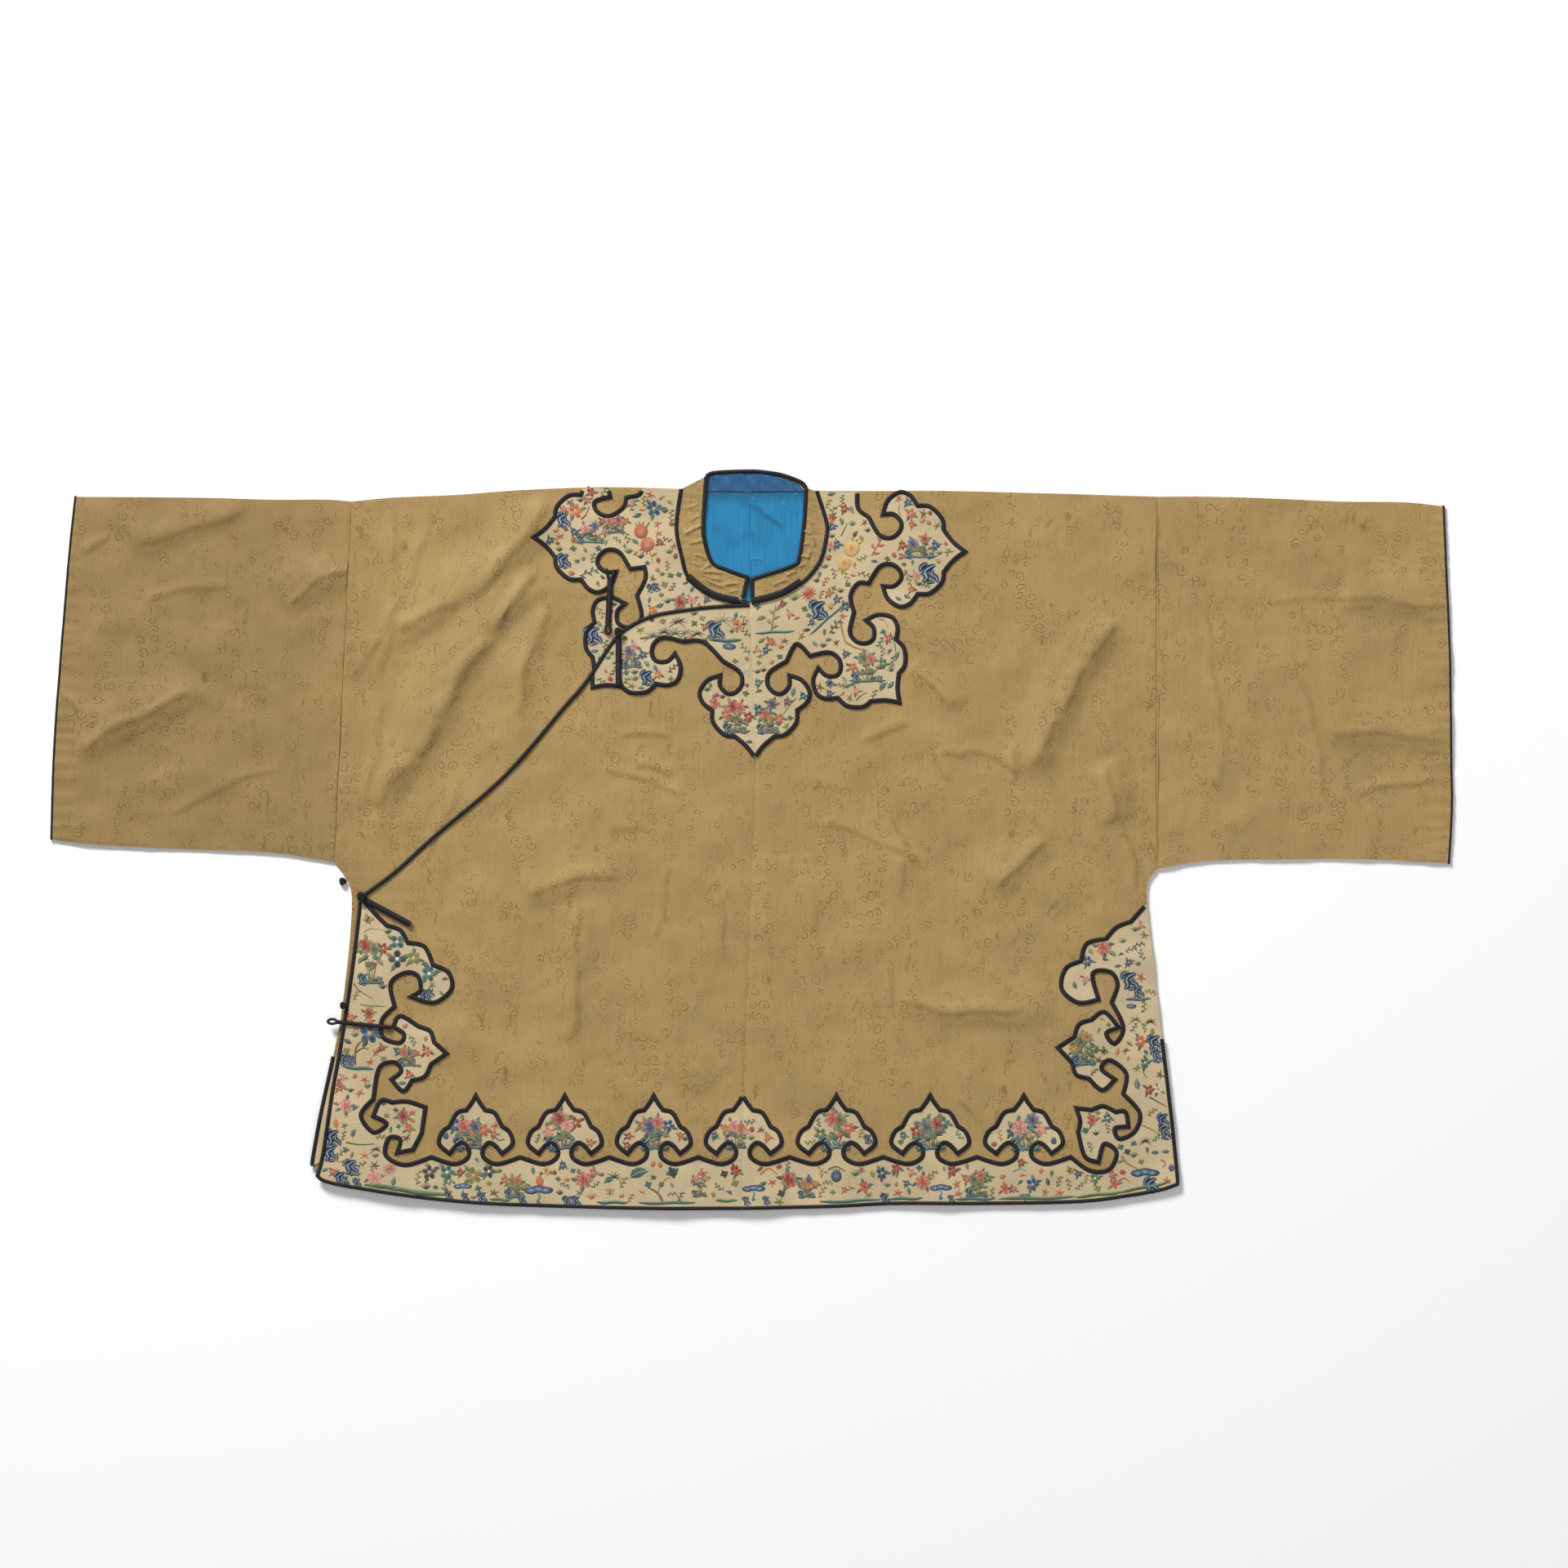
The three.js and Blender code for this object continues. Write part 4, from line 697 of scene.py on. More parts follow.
def even_grid(outline, step):
    """Points of an even grid inside an outline, clear of its edge."""
    low, high = outline.min(0), outline.max(0)
    a, b = outline, np.roll(outline, -1, axis=0)
    near = near_points(outline)
    points = []
    for i, y in enumerate(np.arange(low[1] + step / 3, high[1], step * 0.866)):
        cross = (a[:, 1] <= y) != (b[:, 1] <= y)
        rise = (y - a[cross, 1]) / (b[cross, 1] - a[cross, 1])
        at = np.sort(a[cross, 0] + rise * (b[cross, 0] - a[cross, 0]))
        xs = np.arange(low[0] + (i % 2) * step / 2, high[0], step)
        xs = xs[np.searchsorted(at, xs) % 2 == 1]
        points += [(x, y) for x in xs if near.find((x, y, 0))[2] > step * 0.45]
    return points


def filled(outline, step):
    """Triangulates the inside of an outline."""
    outline = closed_ring(outline)
    points = [Vector(p) for p in outline] + [Vector(p) for p in even_grid(outline, step)]
    made = delaunay_2d_cdt(points, [], [list(range(len(outline)))], 1, 1e-4)
    flat = np.array([p[:] for p in made[0]])
    triangles = np.array(made[2])
    a, b, c = (flat[triangles[:, k]] for k in range(3))
    area = (b - a)[:, 0] * (c - a)[:, 1] - (b - a)[:, 1] * (c - a)[:, 0]
    triangles[area < 0] = triangles[area < 0][:, ::-1]
    triangles = triangles[np.abs(area) > 1e-6]
    used, where = np.unique(triangles, return_inverse=True)
    return flat[used], where.reshape(-1, 3)


def shell(outline, top, step, thick=SHELL):
    """A thin closed sheet over an outline, with its upper face at a height."""
    flat, triangles = filled(outline, step)
    count = len(flat)
    high = top(flat[:, 0], flat[:, 1])
    edges = np.vstack([triangles[:, [0, 1]], triangles[:, [1, 2]], triangles[:, [2, 0]]])
    keys = edges[:, 0] * count + edges[:, 1]
    rim = edges[~np.isin(keys, edges[:, 1] * count + edges[:, 0])]
    points = np.vstack([np.column_stack([flat, high]), np.column_stack([flat, high - thick])])
    sides = [[a + count, b + count, b] for a, b in rim] + [[a + count, b, a] for a, b in rim]
    faces = np.vstack([triangles, triangles[:, ::-1] + count, np.array(sides)])
    return points, faces


def ring_faces(count, around):
    """Triangles between rings of points, one after the other, with a flat fan at each end."""
    faces = []
    for i in range(count - 1):
        faces += faces_between(i * around, (i + 1) * around, around)
    last = (count - 1) * around
    faces += [(0, k, k + 1) for k in range(1, around - 1)]
    faces += [(last, last + k + 1, last + k) for k in range(1, around - 1)]
    return np.array(faces)


def faces_between(first, second, around):
    """Triangles between two rings of points."""
    faces = []
    for k in range(around):
        m = (k + 1) % around
        faces += [(first + k, second + k, second + m), (first + k, second + m, first + m)]
    return faces


def swept(line, layer, profile):
    """A closed profile of points (across, up), anticlockwise, swept along a line on a layer."""
    profile = np.asarray(profile, float)
    spots = np.stack([shifted(line, across) for across, _ in profile], axis=1)
    count, around = spots.shape[:2]
    heights = layer(spots[..., 0].ravel(), spots[..., 1].ravel()).reshape(count, around) + profile[:, 1]
    points = np.dstack([spots, heights]).reshape(-1, 3)
    track = np.column_stack([np.repeat(run_along(line), around), np.tile(profile, (count, 1))])
    return points, ring_faces(count, around)[:, ::-1], track


def oval(wide, high, low):
    """The profile of a roll, anticlockwise, between two heights."""
    angles = np.linspace(0, 2 * math.pi, ROLL_CORNERS, endpoint=False)
    middle_high = (high + low) / 2
    return [(wide / 2 * math.cos(a), middle_high + (high - low) / 2 * math.sin(a)) for a in angles]


def tube(path, radius):
    """A round cord along a closed path of points in space."""
    ahead = np.roll(path, -1, axis=0) - np.roll(path, 1, axis=0)
    ahead /= np.linalg.norm(ahead, axis=1)[:, None]
    side_way = np.cross(ahead[0], (0, 0, 1))
    points, track = [], []
    run = 0
    for i, (spot, way) in enumerate(zip(path, ahead)):
        side_way = side_way - way * side_way.dot(way)
        side_way /= np.linalg.norm(side_way)
        other = np.cross(way, side_way)
        run += np.linalg.norm(path[i] - path[i - 1]) if i else 0
        for angle in np.linspace(0, 2 * math.pi, CORD_CORNERS, endpoint=False):
            points.append(spot + radius * (side_way * math.cos(angle) + other * math.sin(angle)))
            track.append((run, angle, 0))
    faces = []
    for i in range(len(path)):
        faces += faces_between(i * CORD_CORNERS, (i + 1) % len(path) * CORD_CORNERS, CORD_CORNERS)
    return np.array(points), np.array(faces)[:, ::-1], np.array(track)


def merged(parts):
    """Several parts as one, with the values at their points."""
    points, faces, tracks = [], [], []
    start = 0
    for part in parts:
        points.append(part[0])
        faces.append(part[1] + start)
        tracks.append(part[2] if len(part) > 2 else np.zeros((len(part[0]), 3)))
        start += len(part[0])
    return np.vstack(points), np.vstack(faces), np.vstack(tracks)


def made(name, part, material, node, slot, sharp=CLOTH_SHARP):
    """Makes a piece from a part, and lets it ride on the robe's one body."""
    points, faces = part[0], part[1]
    mesh = bpy.data.meshes.new(name)
    mesh.vertices.add(len(points))
    mesh.vertices.foreach_set("co", (points * MM).astype(np.float32).ravel())
    mesh.loops.add(faces.size)
    mesh.loops.foreach_set("vertex_index", faces.astype(np.int32).ravel())
    mesh.polygons.add(len(faces))
    mesh.polygons.foreach_set("loop_start", np.arange(0, faces.size, 3, dtype=np.int32))
    mesh.update(calc_edges=True)
    mesh.validate()
    if len(part) > 2:
        track = mesh.attributes.new("track", "FLOAT_VECTOR", "POINT")
        track.data.foreach_set("vector", part[2].astype(np.float32).ravel())
    if len(part) > 3:
        tint = mesh.color_attributes.new("tint", "FLOAT_COLOR", "POINT")
        tint.data.foreach_set("color", part[3].astype(np.float32).ravel())
    piece = bpy.data.objects.new(name, mesh)
    bpy.context.scene.collection.objects.link(piece)
    mesh.materials.append(material)
    bpy.ops.object.select_all(action="DESELECT")
    piece.select_set(True)
    bpy.context.view_layer.objects.active = piece
    bpy.ops.object.shade_smooth_by_angle(angle=math.radians(sharp))
    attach(piece, "root")
    if node:
        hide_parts(node)
    return piece


# Materials.
def add_node(tree, kind, inputs=None, **settings):
    """Adds a node, sets its options, and sets or links its inputs."""
    node = tree.nodes.new("ShaderNode" + kind)
    for name, value in settings.items():
        setattr(node, name, value)
    for key, value in (inputs or {}).items():
        if isinstance(value, bpy.types.NodeSocket):
            tree.links.new(value, node.inputs[key])
        else:
            node.inputs[key].default_value = value
    return node


def maths(tree, operation, a, b=0.0):
    """The result of an operation on one or two values."""
    return add_node(tree, "Math", {0: a, 1: b}, operation=operation).outputs[0]


def times(tree, a, b):
    """One value times another."""
    return maths(tree, "MULTIPLY", a, b)


def plus(tree, a, b):
    """One value added to another."""
    return maths(tree, "ADD", a, b)


def step_between(tree, value, low, high, to_low=0.0, to_high=1.0):
    """A smooth step of a value, between two outputs."""
    inputs = {"Value": value, "From Min": low, "From Max": high, "To Min": to_low, "To Max": to_high}
    return add_node(tree, "MapRange", inputs, interpolation_type="SMOOTHSTEP").outputs["Result"]


def mixed(tree, share, a, b, blend="MIX"):
    """Mixes two colours."""
    node = add_node(tree, "Mix", data_type="RGBA", blend_type=blend)
    for key, value in ((0, share), (6, a), (7, b)):
        if isinstance(value, bpy.types.NodeSocket):
            tree.links.new(value, node.inputs[key])
        else:
            node.inputs[key].default_value = value if key == 0 else tuple(value)[:3] + (1,)
    return node.outputs[2]


def linear(red, green, blue):
    """A display colour from 0 to 255 as a linear one."""
    light = (((c / 255 + 0.055) / 1.055) ** 2.4 if c > 10 else c / 255 / 12.92 for c in (red, green, blue))
    return (*light, 1)


def new_group(name, inputs, outputs):
    """A shader node group with named sockets. Each input is (name, default)."""
    tree = bpy.data.node_groups.new(name, "ShaderNodeTree")
    for label, default in inputs:
        socket = tree.interface.new_socket(label, in_out="INPUT", socket_type="NodeSocketFloat")
        socket.default_value = default
    for label in outputs:
        tree.interface.new_socket(label, in_out="OUTPUT", socket_type="NodeSocketFloat")
    return tree, tree.nodes.new("NodeGroupInput"), tree.nodes.new("NodeGroupOutput")


def in_mm(tree):
    """Object coordinates in millimetres."""
    place = add_node(tree, "TexCoord").outputs["Object"]
    return add_node(tree, "VectorMath", {0: place, "Scale": 1000.0}, operation="SCALE").outputs[0]


def noise(tree, vector, scale, detail=2.0, roughness=0.5, distortion=0.0):
    """Noise of a scale at a place."""
    inputs = {"Vector": vector, "Scale": scale, "Detail": detail, "Roughness": roughness,
              "Distortion": distortion}
    return add_node(tree, "TexNoise", inputs).outputs["Fac"]


def stretched(tree, vector, across, up, away=1.0):
    """A place scaled along each axis."""
    return add_node(tree, "VectorMath", {0: vector, 1: (across, up, away)}, operation="MULTIPLY").outputs[0]


def scroll_group():
    """Curling lines of a cloud pattern, one curl to a cell."""
    tree, given, result = new_group(
        "Cloud scrolls", [("Cell", 9.5), ("Pitch", 2.6), ("Width", 0.3)], ["Lines"]
    )
    place = in_mm(tree)
    wander = add_node(tree, "TexNoise", {"Vector": place, "Scale": 0.11, "Detail": 1.0})
    push = add_node(tree, "VectorMath", {0: wander.outputs["Color"], 1: (0.5, 0.5, 0.5)},
                    operation="SUBTRACT")
    push = add_node(tree, "VectorMath", {0: push.outputs[0], "Scale": 4.0}, operation="SCALE")
    place = add_node(tree, "VectorMath", {0: place, 1: push.outputs[0]}, operation="ADD").outputs[0]
    place = stretched(tree, place, 1, 1.1, 0)
    size = maths(tree, "DIVIDE", 1.0, given.outputs["Cell"])
    cells = add_node(tree, "TexVoronoi", {"Vector": place, "Scale": size, "Randomness": 0.75},
                     voronoi_dimensions="2D")
    away = add_node(tree, "VectorMath", {0: place, 1: cells.outputs["Position"]}, operation="SUBTRACT")
    parts = add_node(tree, "SeparateXYZ", {0: away.outputs[0]})
    chance = add_node(tree, "SeparateColor", {0: cells.outputs["Color"]})
    radius = maths(tree, "SQRT",
                   plus(tree, maths(tree, "POWER", maths(tree, "ABSOLUTE", parts.outputs[0]), 2.0),
                                       maths(tree, "POWER", maths(tree, "ABSOLUTE", parts.outputs[1]), 2.0)))
    angle = maths(tree, "ARCTAN2", parts.outputs[1], parts.outputs[0])
    handed = maths(tree, "SUBTRACT", times(tree, maths(tree, "GREATER_THAN", chance.outputs[0], 0.5), 2.0),
                   1.0)
    turn = times(tree, maths(tree, "DIVIDE", angle, 2 * math.pi), handed)
    phase = plus(tree, plus(tree, maths(tree, "DIVIDE", radius, given.outputs["Pitch"]), turn),
                 chance.outputs[1])
    saw = maths(tree, "ABSOLUTE", maths(tree, "SUBTRACT", times(tree, maths(tree, "FRACT", phase), 2.0), 1.0))
    line = step_between(tree, saw, 0.0, given.outputs["Width"], 1.0, 0.0)
    far = plus(tree, 4.2, times(tree, chance.outputs[2], 3.0))
    line = times(tree, line, maths(tree, "LESS_THAN", radius, far))
    tree.links.new(line, result.inputs["Lines"])
    return tree


def cloth_group():
    """Bump of a woven cloth, and slow changes of its tone."""
    tree, given, result = new_group(
        "Woven cloth", [("Thread", 0.55), ("Slub", 0.5)], ["Height", "Tone", "Blotch", "Streak"]
    )
    place = in_mm(tree)
    parts = add_node(tree, "SeparateXYZ", {0: place})
    turn = maths(tree, "DIVIDE", 2 * math.pi, given.outputs["Thread"])
    warp = maths(tree, "SINE", times(tree, parts.outputs[0], turn))
    weft = maths(tree, "SINE", times(tree, parts.outputs[1], turn))
    slubs = noise(tree, stretched(tree, place, 0.03, 1.3), 1.0, 2.0)
    height = plus(tree, times(tree, times(tree, warp, weft), 0.5),
                   times(tree, slubs, given.outputs["Slub"]))
    tree.links.new(height, result.inputs["Height"])
    tree.links.new(noise(tree, place, 0.012, 3.0, 0.6), result.inputs["Tone"])
    tree.links.new(step_between(tree, noise(tree, stretched(tree, place, 0.12, 0.045), 1.0, 3.0, 0.6, 0.5),
                                0.6, 0.7), result.inputs["Blotch"])
    tree.links.new(noise(tree, stretched(tree, place, 0.9, 0.02), 1.0, 2.0), result.inputs["Streak"])
    return tree


def new_material(name, roughness, sheen=0.0, specular=0.4):
    """A material with its shader, and constant values on the shader's own sockets."""
    material = bpy.data.materials.new(name)
    material.use_nodes = True
    tree = material.node_tree
    shader = tree.nodes["Principled BSDF"]
    shader.inputs["Roughness"].default_value = roughness
    shader.inputs["Sheen Weight"].default_value = sheen
    shader.inputs["Sheen Roughness"].default_value = 0.4
    shader.inputs["Specular IOR Level"].default_value = specular
    return material, tree, shader


def bumped(tree, shader, height, strength, distance):
    """Feeds a height through a bump node to the shader's normal."""
    node = add_node(tree, "Bump", {"Height": height, "Strength": strength, "Distance": distance})
    tree.links.new(node.outputs[0], shader.inputs["Normal"])


def placed_group(tree, group, **values):
    """A group of nodes, with its inputs set."""
    node = tree.nodes.new("ShaderNodeGroup")
    node.node_tree = group
    for name, value in values.items():
        node.inputs[name].default_value = value
    return node.outputs


def silk_material(name, colour, scrolls, cloth, pattern=1.0, crumple=0.0):
    """Tan silk damask: a darker curling pattern in loose upright bands, with blotches."""
    material, tree, shader = new_material(name, 0.5, 0.15, 0.35)
    base = linear(*colour)
    dark = tuple(c * f for c, f in zip(base[:3], (0.47, 0.39, 0.28)))
    pale = tuple(min(c * 1.06, 1) for c in base[:3])
    worn = placed_group(tree, cloth, Thread=0.6, Slub=0.9)
    curls = placed_group(tree, scrolls, Cell=13.0, Pitch=4.6, Width=0.36)
    place = in_mm(tree)
    band = step_between(tree, noise(tree, stretched(tree, place, 0.05, 0.01), 1.0, 2.0, 0.5), 0.43, 0.56)
    patch = step_between(tree, noise(tree, place, 0.02, 2.0), 0.36, 0.6, 0.45, 1.0)
    # Painted shade and soil on the shaded side of the creases and folds, from the third value of the track:
    # it darkens the cloth and brings out the curling pattern there.
    track = add_node(tree, "Attribute", attribute_name="track").outputs["Vector"]
    soil_and_shade = add_node(tree, "SeparateXYZ", {0: track}).outputs[2]
    soil_and_shade = times(tree, soil_and_shade, step_between(tree, noise(tree, place, 0.07, 2.0), 0.3, 0.6, 0.3, 1.0))
    strength = maths(tree, "MAXIMUM", times(tree, band, patch), soil_and_shade)
    lines = times(tree, times(tree, curls["Lines"], strength), 0.95 * pattern)
    colour_out = mixed(tree, step_between(tree, worn["Tone"], 0.35, 0.68), tuple(c * 0.95 for c in base[:3]),
                       pale)
    smudge = times(tree, times(tree, worn["Blotch"], band), 0.5)
    colour_out = mixed(tree, maths(tree, "MAXIMUM", smudge, times(tree, soil_and_shade, 0.34)), colour_out, dark)
    colour_out = mixed(tree, step_between(tree, worn["Streak"], 0.4, 0.75, 0, 0.16), colour_out, dark)
    colour_out = mixed(tree, lines, colour_out, dark)
    # Painted shade: the cloth grows darker towards the wearer's right sleeve, from x = -330 mm to x = -520
    # mm.
    parts = add_node(tree, "SeparateXYZ", {0: place})
    shaded = step_between(tree, parts.outputs[0], -520, -330, 1, 0)
    colour_out = mixed(tree, shaded, colour_out, (0.78, 0.77, 0.75), "MULTIPLY")
    tree.links.new(colour_out, shader.inputs["Base Color"])
    shine = maths(tree, "SUBTRACT", 0.56, times(tree, lines, 0.2))
    tree.links.new(shine, shader.inputs["Roughness"])
    height = plus(tree, times(tree, worn["Height"], 0.5), times(tree, lines, 1.2))
    if crumple:
        folds = noise(tree, stretched(tree, place, 0.16, 0.24), 1.0, 3.0, 0.55, 1.6)
        height = plus(tree, height, times(tree, folds, crumple))
    bumped(tree, shader, height, 0.35, 0.0002)
    return material


def satin_material(name, colour, cloth):
    """Cream satin under the embroidery: fine weft lines, faint stains and small puckers."""
    material, tree, shader = new_material(name, 0.46, 0.1, 0.4)
    base = linear(*colour)
    worn = placed_group(tree, cloth, Thread=0.5, Slub=0.7)
    place = in_mm(tree)
    stain = step_between(tree, noise(tree, place, 0.03, 4.0, 0.6), 0.5, 0.78)
    fleck = step_between(tree, noise(tree, place, 0.45, 2.0), 0.62, 0.78)
    warm = tuple(c * f for c, f in zip(base[:3], (0.8, 0.7, 0.52)))
    out = mixed(tree, step_between(tree, worn["Tone"], 0.35, 0.68), tuple(c * 0.93 for c in base[:3]),
                tuple(min(c * 1.08, 1) for c in base[:3]))
    out = mixed(tree, times(tree, stain, 0.35), out, warm)
    out = mixed(tree, times(tree, fleck, 0.18), out, warm)
    tree.links.new(out, shader.inputs["Base Color"])
    pucker = noise(tree, stretched(tree, place, 0.12, 0.5), 1.0, 3.0)
    height = plus(tree, times(tree, worn["Height"], 0.35), times(tree, pucker, 2.4))
    bumped(tree, shader, height, 0.4, 0.00025)
    return material


def lining_material(name, colour, streaks, across=(0.9, 0.02), shaded=False):
    """Bright lining silk with fine upright streaks."""
    material, tree, shader = new_material(name, 0.42, 0.1, 0.45)
    base = linear(*colour)
    place = in_mm(tree)
    streak = noise(tree, stretched(tree, place, across[0], across[1]), 1.0, 3.0, 0.65)
    cloud = noise(tree, place, 0.03, 3.0)
    out = mixed(tree, step_between(tree, streak, 0.3, 0.7), tuple(c * (1 - streaks) for c in base[:3]),
                tuple(min(c * (1 + streaks * 0.8), 1) for c in base[:3]))
    deep = tuple(c * 0.45 for c in base[:3])
    out = mixed(tree, step_between(tree, cloud, 0.45, 0.75, 0, 0.4), out, deep)
    # Painted shadow under the back of the collar, darker towards the top, and painted shade along a diagonal
    # fold near the centre back.
    if shaded:
        parts = add_node(tree, "SeparateXYZ", {0: place})
        painted_collar_shadow = step_between(tree, parts.outputs[1], 346, 361, 0, 0.75)
        slant = plus(tree, times(tree, parts.outputs[0], 0.55), times(tree, parts.outputs[1], 0.83))
        fold = times(tree, step_between(tree, slant, 280, 290), step_between(tree, slant, 290, 292, 1, 0))
        fold = times(tree, fold, step_between(tree, parts.outputs[0], 28, 36, 0.6, 0))
        out = mixed(tree, maths(tree, "MAXIMUM", painted_collar_shadow, fold), out, deep)
    tree.links.new(out, shader.inputs["Base Color"])
    bumped(tree, shader, streak, 0.35, 0.0003)
    return material


def black_material(name, colour, rib, kind):
    """Black silk: a ribbed braid with stitches along its sides, a satin piping, or a wrapped cord."""
    material, tree, shader = new_material(name, 0.6, 0.12, 0.3)
    base = linear(*colour)
    track = add_node(tree, "Attribute", attribute_name="track").outputs["Vector"]
    parts = add_node(tree, "SeparateXYZ", {0: track})
    slant = plus(tree, parts.outputs[0], times(tree, parts.outputs[1], 0.35 if kind != "braid" else 0.0))
    wave = maths(tree, "SINE", times(tree, slant, 2 * math.pi / rib))
    rough = noise(tree, in_mm(tree), 0.7, 3.0)
    # Painted highlight: the crests of the ribs are paler, and on the braid only in its middle, where its
    # sheen falls.
    pale = tuple(c * 2.4 + 0.004 for c in base[:3])
    light = times(tree, step_between(tree, wave, -0.2, 1.0), 0.55)
    if kind == "braid":
        side_way = maths(tree, "ABSOLUTE", parts.outputs[1])
        inner = step_between(tree, side_way, 1.7, 2.1, 1.0, 0.0)
        light = times(tree, light, inner)
    out = mixed(tree, light, base, pale)
    out = mixed(tree, step_between(tree, rough, 0.5, 0.8, 0, 0.3), out, tuple(c * 2.0 for c in base[:3]))
    tree.links.new(out, shader.inputs["Base Color"])
    height = plus(tree, wave, times(tree, rough, 1.5))
    bumped(tree, shader, height, 0.6, 0.0002)
    return material


def thread_material(name):
    """Embroidery silk: the colour of each stitched patch, with its threads side by side."""
    material, tree, shader = new_material(name, 0.42, 0.2, 0.5)
    tint = add_node(tree, "Attribute", attribute_name="tint").outputs["Color"]
    track = add_node(tree, "Attribute", attribute_name="track").outputs["Vector"]
    parts = add_node(tree, "SeparateXYZ", {0: track})
    wave = maths(tree, "SINE", times(tree, parts.outputs[1], 2 * math.pi / 0.42))
    fuzz = noise(tree, in_mm(tree), 1.1, 2.0)
    shade = plus(tree, times(tree, wave, 0.07), step_between(tree, fuzz, 0.3, 0.7, 0.86, 1.1))
    out = add_node(tree, "VectorMath", {0: tint, "Scale": shade}, operation="SCALE").outputs[0]
    tree.links.new(out, shader.inputs["Base Color"])
    bumped(tree, shader, wave, 0.5, 0.00012)
    return material


def floor_material(name, colour):
    """A matt pale table with a very faint grain."""
    material, tree, shader = new_material(name, 0.9, 0.0, 0.2)
    base = linear(*colour)
    grain = noise(tree, in_mm(tree), 0.5, 2.0)
    tree.links.new(mixed(tree, grain, tuple(c * 0.985 for c in base[:3]), base), shader.inputs["Base Color"])
    return material


class RobeSizes(bpy.types.PropertyGroup):
    """Sizes that a maker would change."""

    grid: bpy.props.FloatProperty(name="Cloth grid", description="Spacing of the points of the shown cloth",
                                  default=0.0036, min=0.002, unit="LENGTH")
    braid_width: bpy.props.FloatProperty(name="Braid width", description="Width of the black braid",
                                         default=0.0048, min=0.001, unit="LENGTH")
    piping_width: bpy.props.FloatProperty(name="Piping width",
                                          description="Width of the black piping on the edges",
                                          default=0.0041, min=0.001, unit="LENGTH")
    strap_width: bpy.props.FloatProperty(name="Strap width", description="Width of the cord straps",
                                         default=0.0062, min=0.001, unit="LENGTH")
    tab_width: bpy.props.FloatProperty(name="Neck tab width", description="Width of the two neck tabs",
                                       default=0.0075, min=0.001, unit="LENGTH")
    camera_height: bpy.props.FloatProperty(name="Camera height",
                                           description="Height of the camera over the table",
                                           default=6.0, min=1, unit="LENGTH")


def colour_property(label, note, rgb):
    """A colour among the settings, as display values."""
    return bpy.props.FloatVectorProperty(name=label, description=note, default=rgb, min=0, max=255, size=3)


class RobeColours(bpy.types.PropertyGroup):
    """Colours of the finishes, as display values from 0 to 255."""

    tan: colour_property("Tan silk", "Colour of the robe's own cloth", (165, 136, 84))
    cream: colour_property("Cream satin", "Colour of the applique", (193, 174, 136))
    black: colour_property("Black silk", "Colour of the braid, piping and cord", (17, 14, 18))
    lining: colour_property("Lining", "Colour of the lining seen in the neck", (22, 124, 172))
    collar: colour_property("Collar lining", "Colour of the lining of the collar's back", (34, 88, 132))
    floor: colour_property("Table", "Colour of the table", (253, 253, 253))


MATERIALS = {}


def finish_of(name):
    """A finish by its name, made when it is first asked for."""
    if not MATERIALS:
        colours = bpy.context.scene.robe_colours
        cloth, scrolls = cloth_group(), scroll_group()
        MATERIALS["tan"] = silk_material("Tan damask", colours.tan, scrolls, cloth)
        MATERIALS["collar"] = silk_material(
            "Tan damask of the collar", colours.tan, scrolls, cloth, pattern=0.4, crumple=22.0
        )
        MATERIALS["cream"] = satin_material("Cream satin", colours.cream, cloth)
        MATERIALS["blue"] = lining_material("Blue lining", colours.lining, 0.16, shaded=True)
        MATERIALS["slate"] = lining_material("Blue collar lining", colours.collar, 0.2, (0.25, 0.12))
        MATERIALS["braid"] = black_material("Black braid", colours.black, 1.5, "braid")
        MATERIALS["piping"] = black_material("Black piping", colours.black, 2.2, "piping")
        MATERIALS["cord"] = black_material("Black cord", colours.black, 1.6, "cord")
        MATERIALS["thread"] = thread_material("Embroidery silk")
        MATERIALS["floor"] = floor_material("Pale table", colours.floor)
    return MATERIALS[name]


# The section of an edge's fold. A row is how far in, 1 for the upper cloth or 0 for the lower, and how deep.
FOLD_SECTION = [
    (3.2, 1, 0.02), (1.4, 1, 0.05), (0.5, 1, 0.5), (0.05, 0.5, 0), (0.4, 0, 0.5), (1.4, 0, 0.1),
    (3.2, 0, 0.0), (3.2, 0, 0.9), (1.6, 0, 1.0), (1.3, 0.5, 0), (1.6, 1, 1.0), (3.2, 1, 0.95),
]


def fold_strip(line, layer, side_way):
    """The rounded fold that joins the back to a front. The cloth is to the edge's left when side_way is 1."""
    rows, heights = [], []
    for depth, share, drop in FOLD_SECTION:
        row = shifted(line, side_way * depth)
        top = layer(row[:, 0], row[:, 1]) + CLOTH + 0.03
        rows.append(row)
        heights.append(np.where(share == 1, top - drop, np.where(share == 0, drop, top / 2)))
    points = np.dstack([np.stack(rows, 1), np.stack(heights, 1)]).reshape(-1, 3)
    faces = ring_faces(len(line), len(FOLD_SECTION))
    return points, faces[:, ::-1] if side_way > 0 else faces


def tan_piece(node, part):
    """A piece of the tan damask, with painted shade and soil on the shaded side of its folds."""
    return made(node + "_silk", soiled_and_shaded(part), finish_of("tan"), node, "tan_silk")


def black_piece(node, part, finish):
    """A piece of black braid or piping."""
    return made(node + "_silk", part, finish_of(finish), node, "black_braid", TRIM_SHARP)


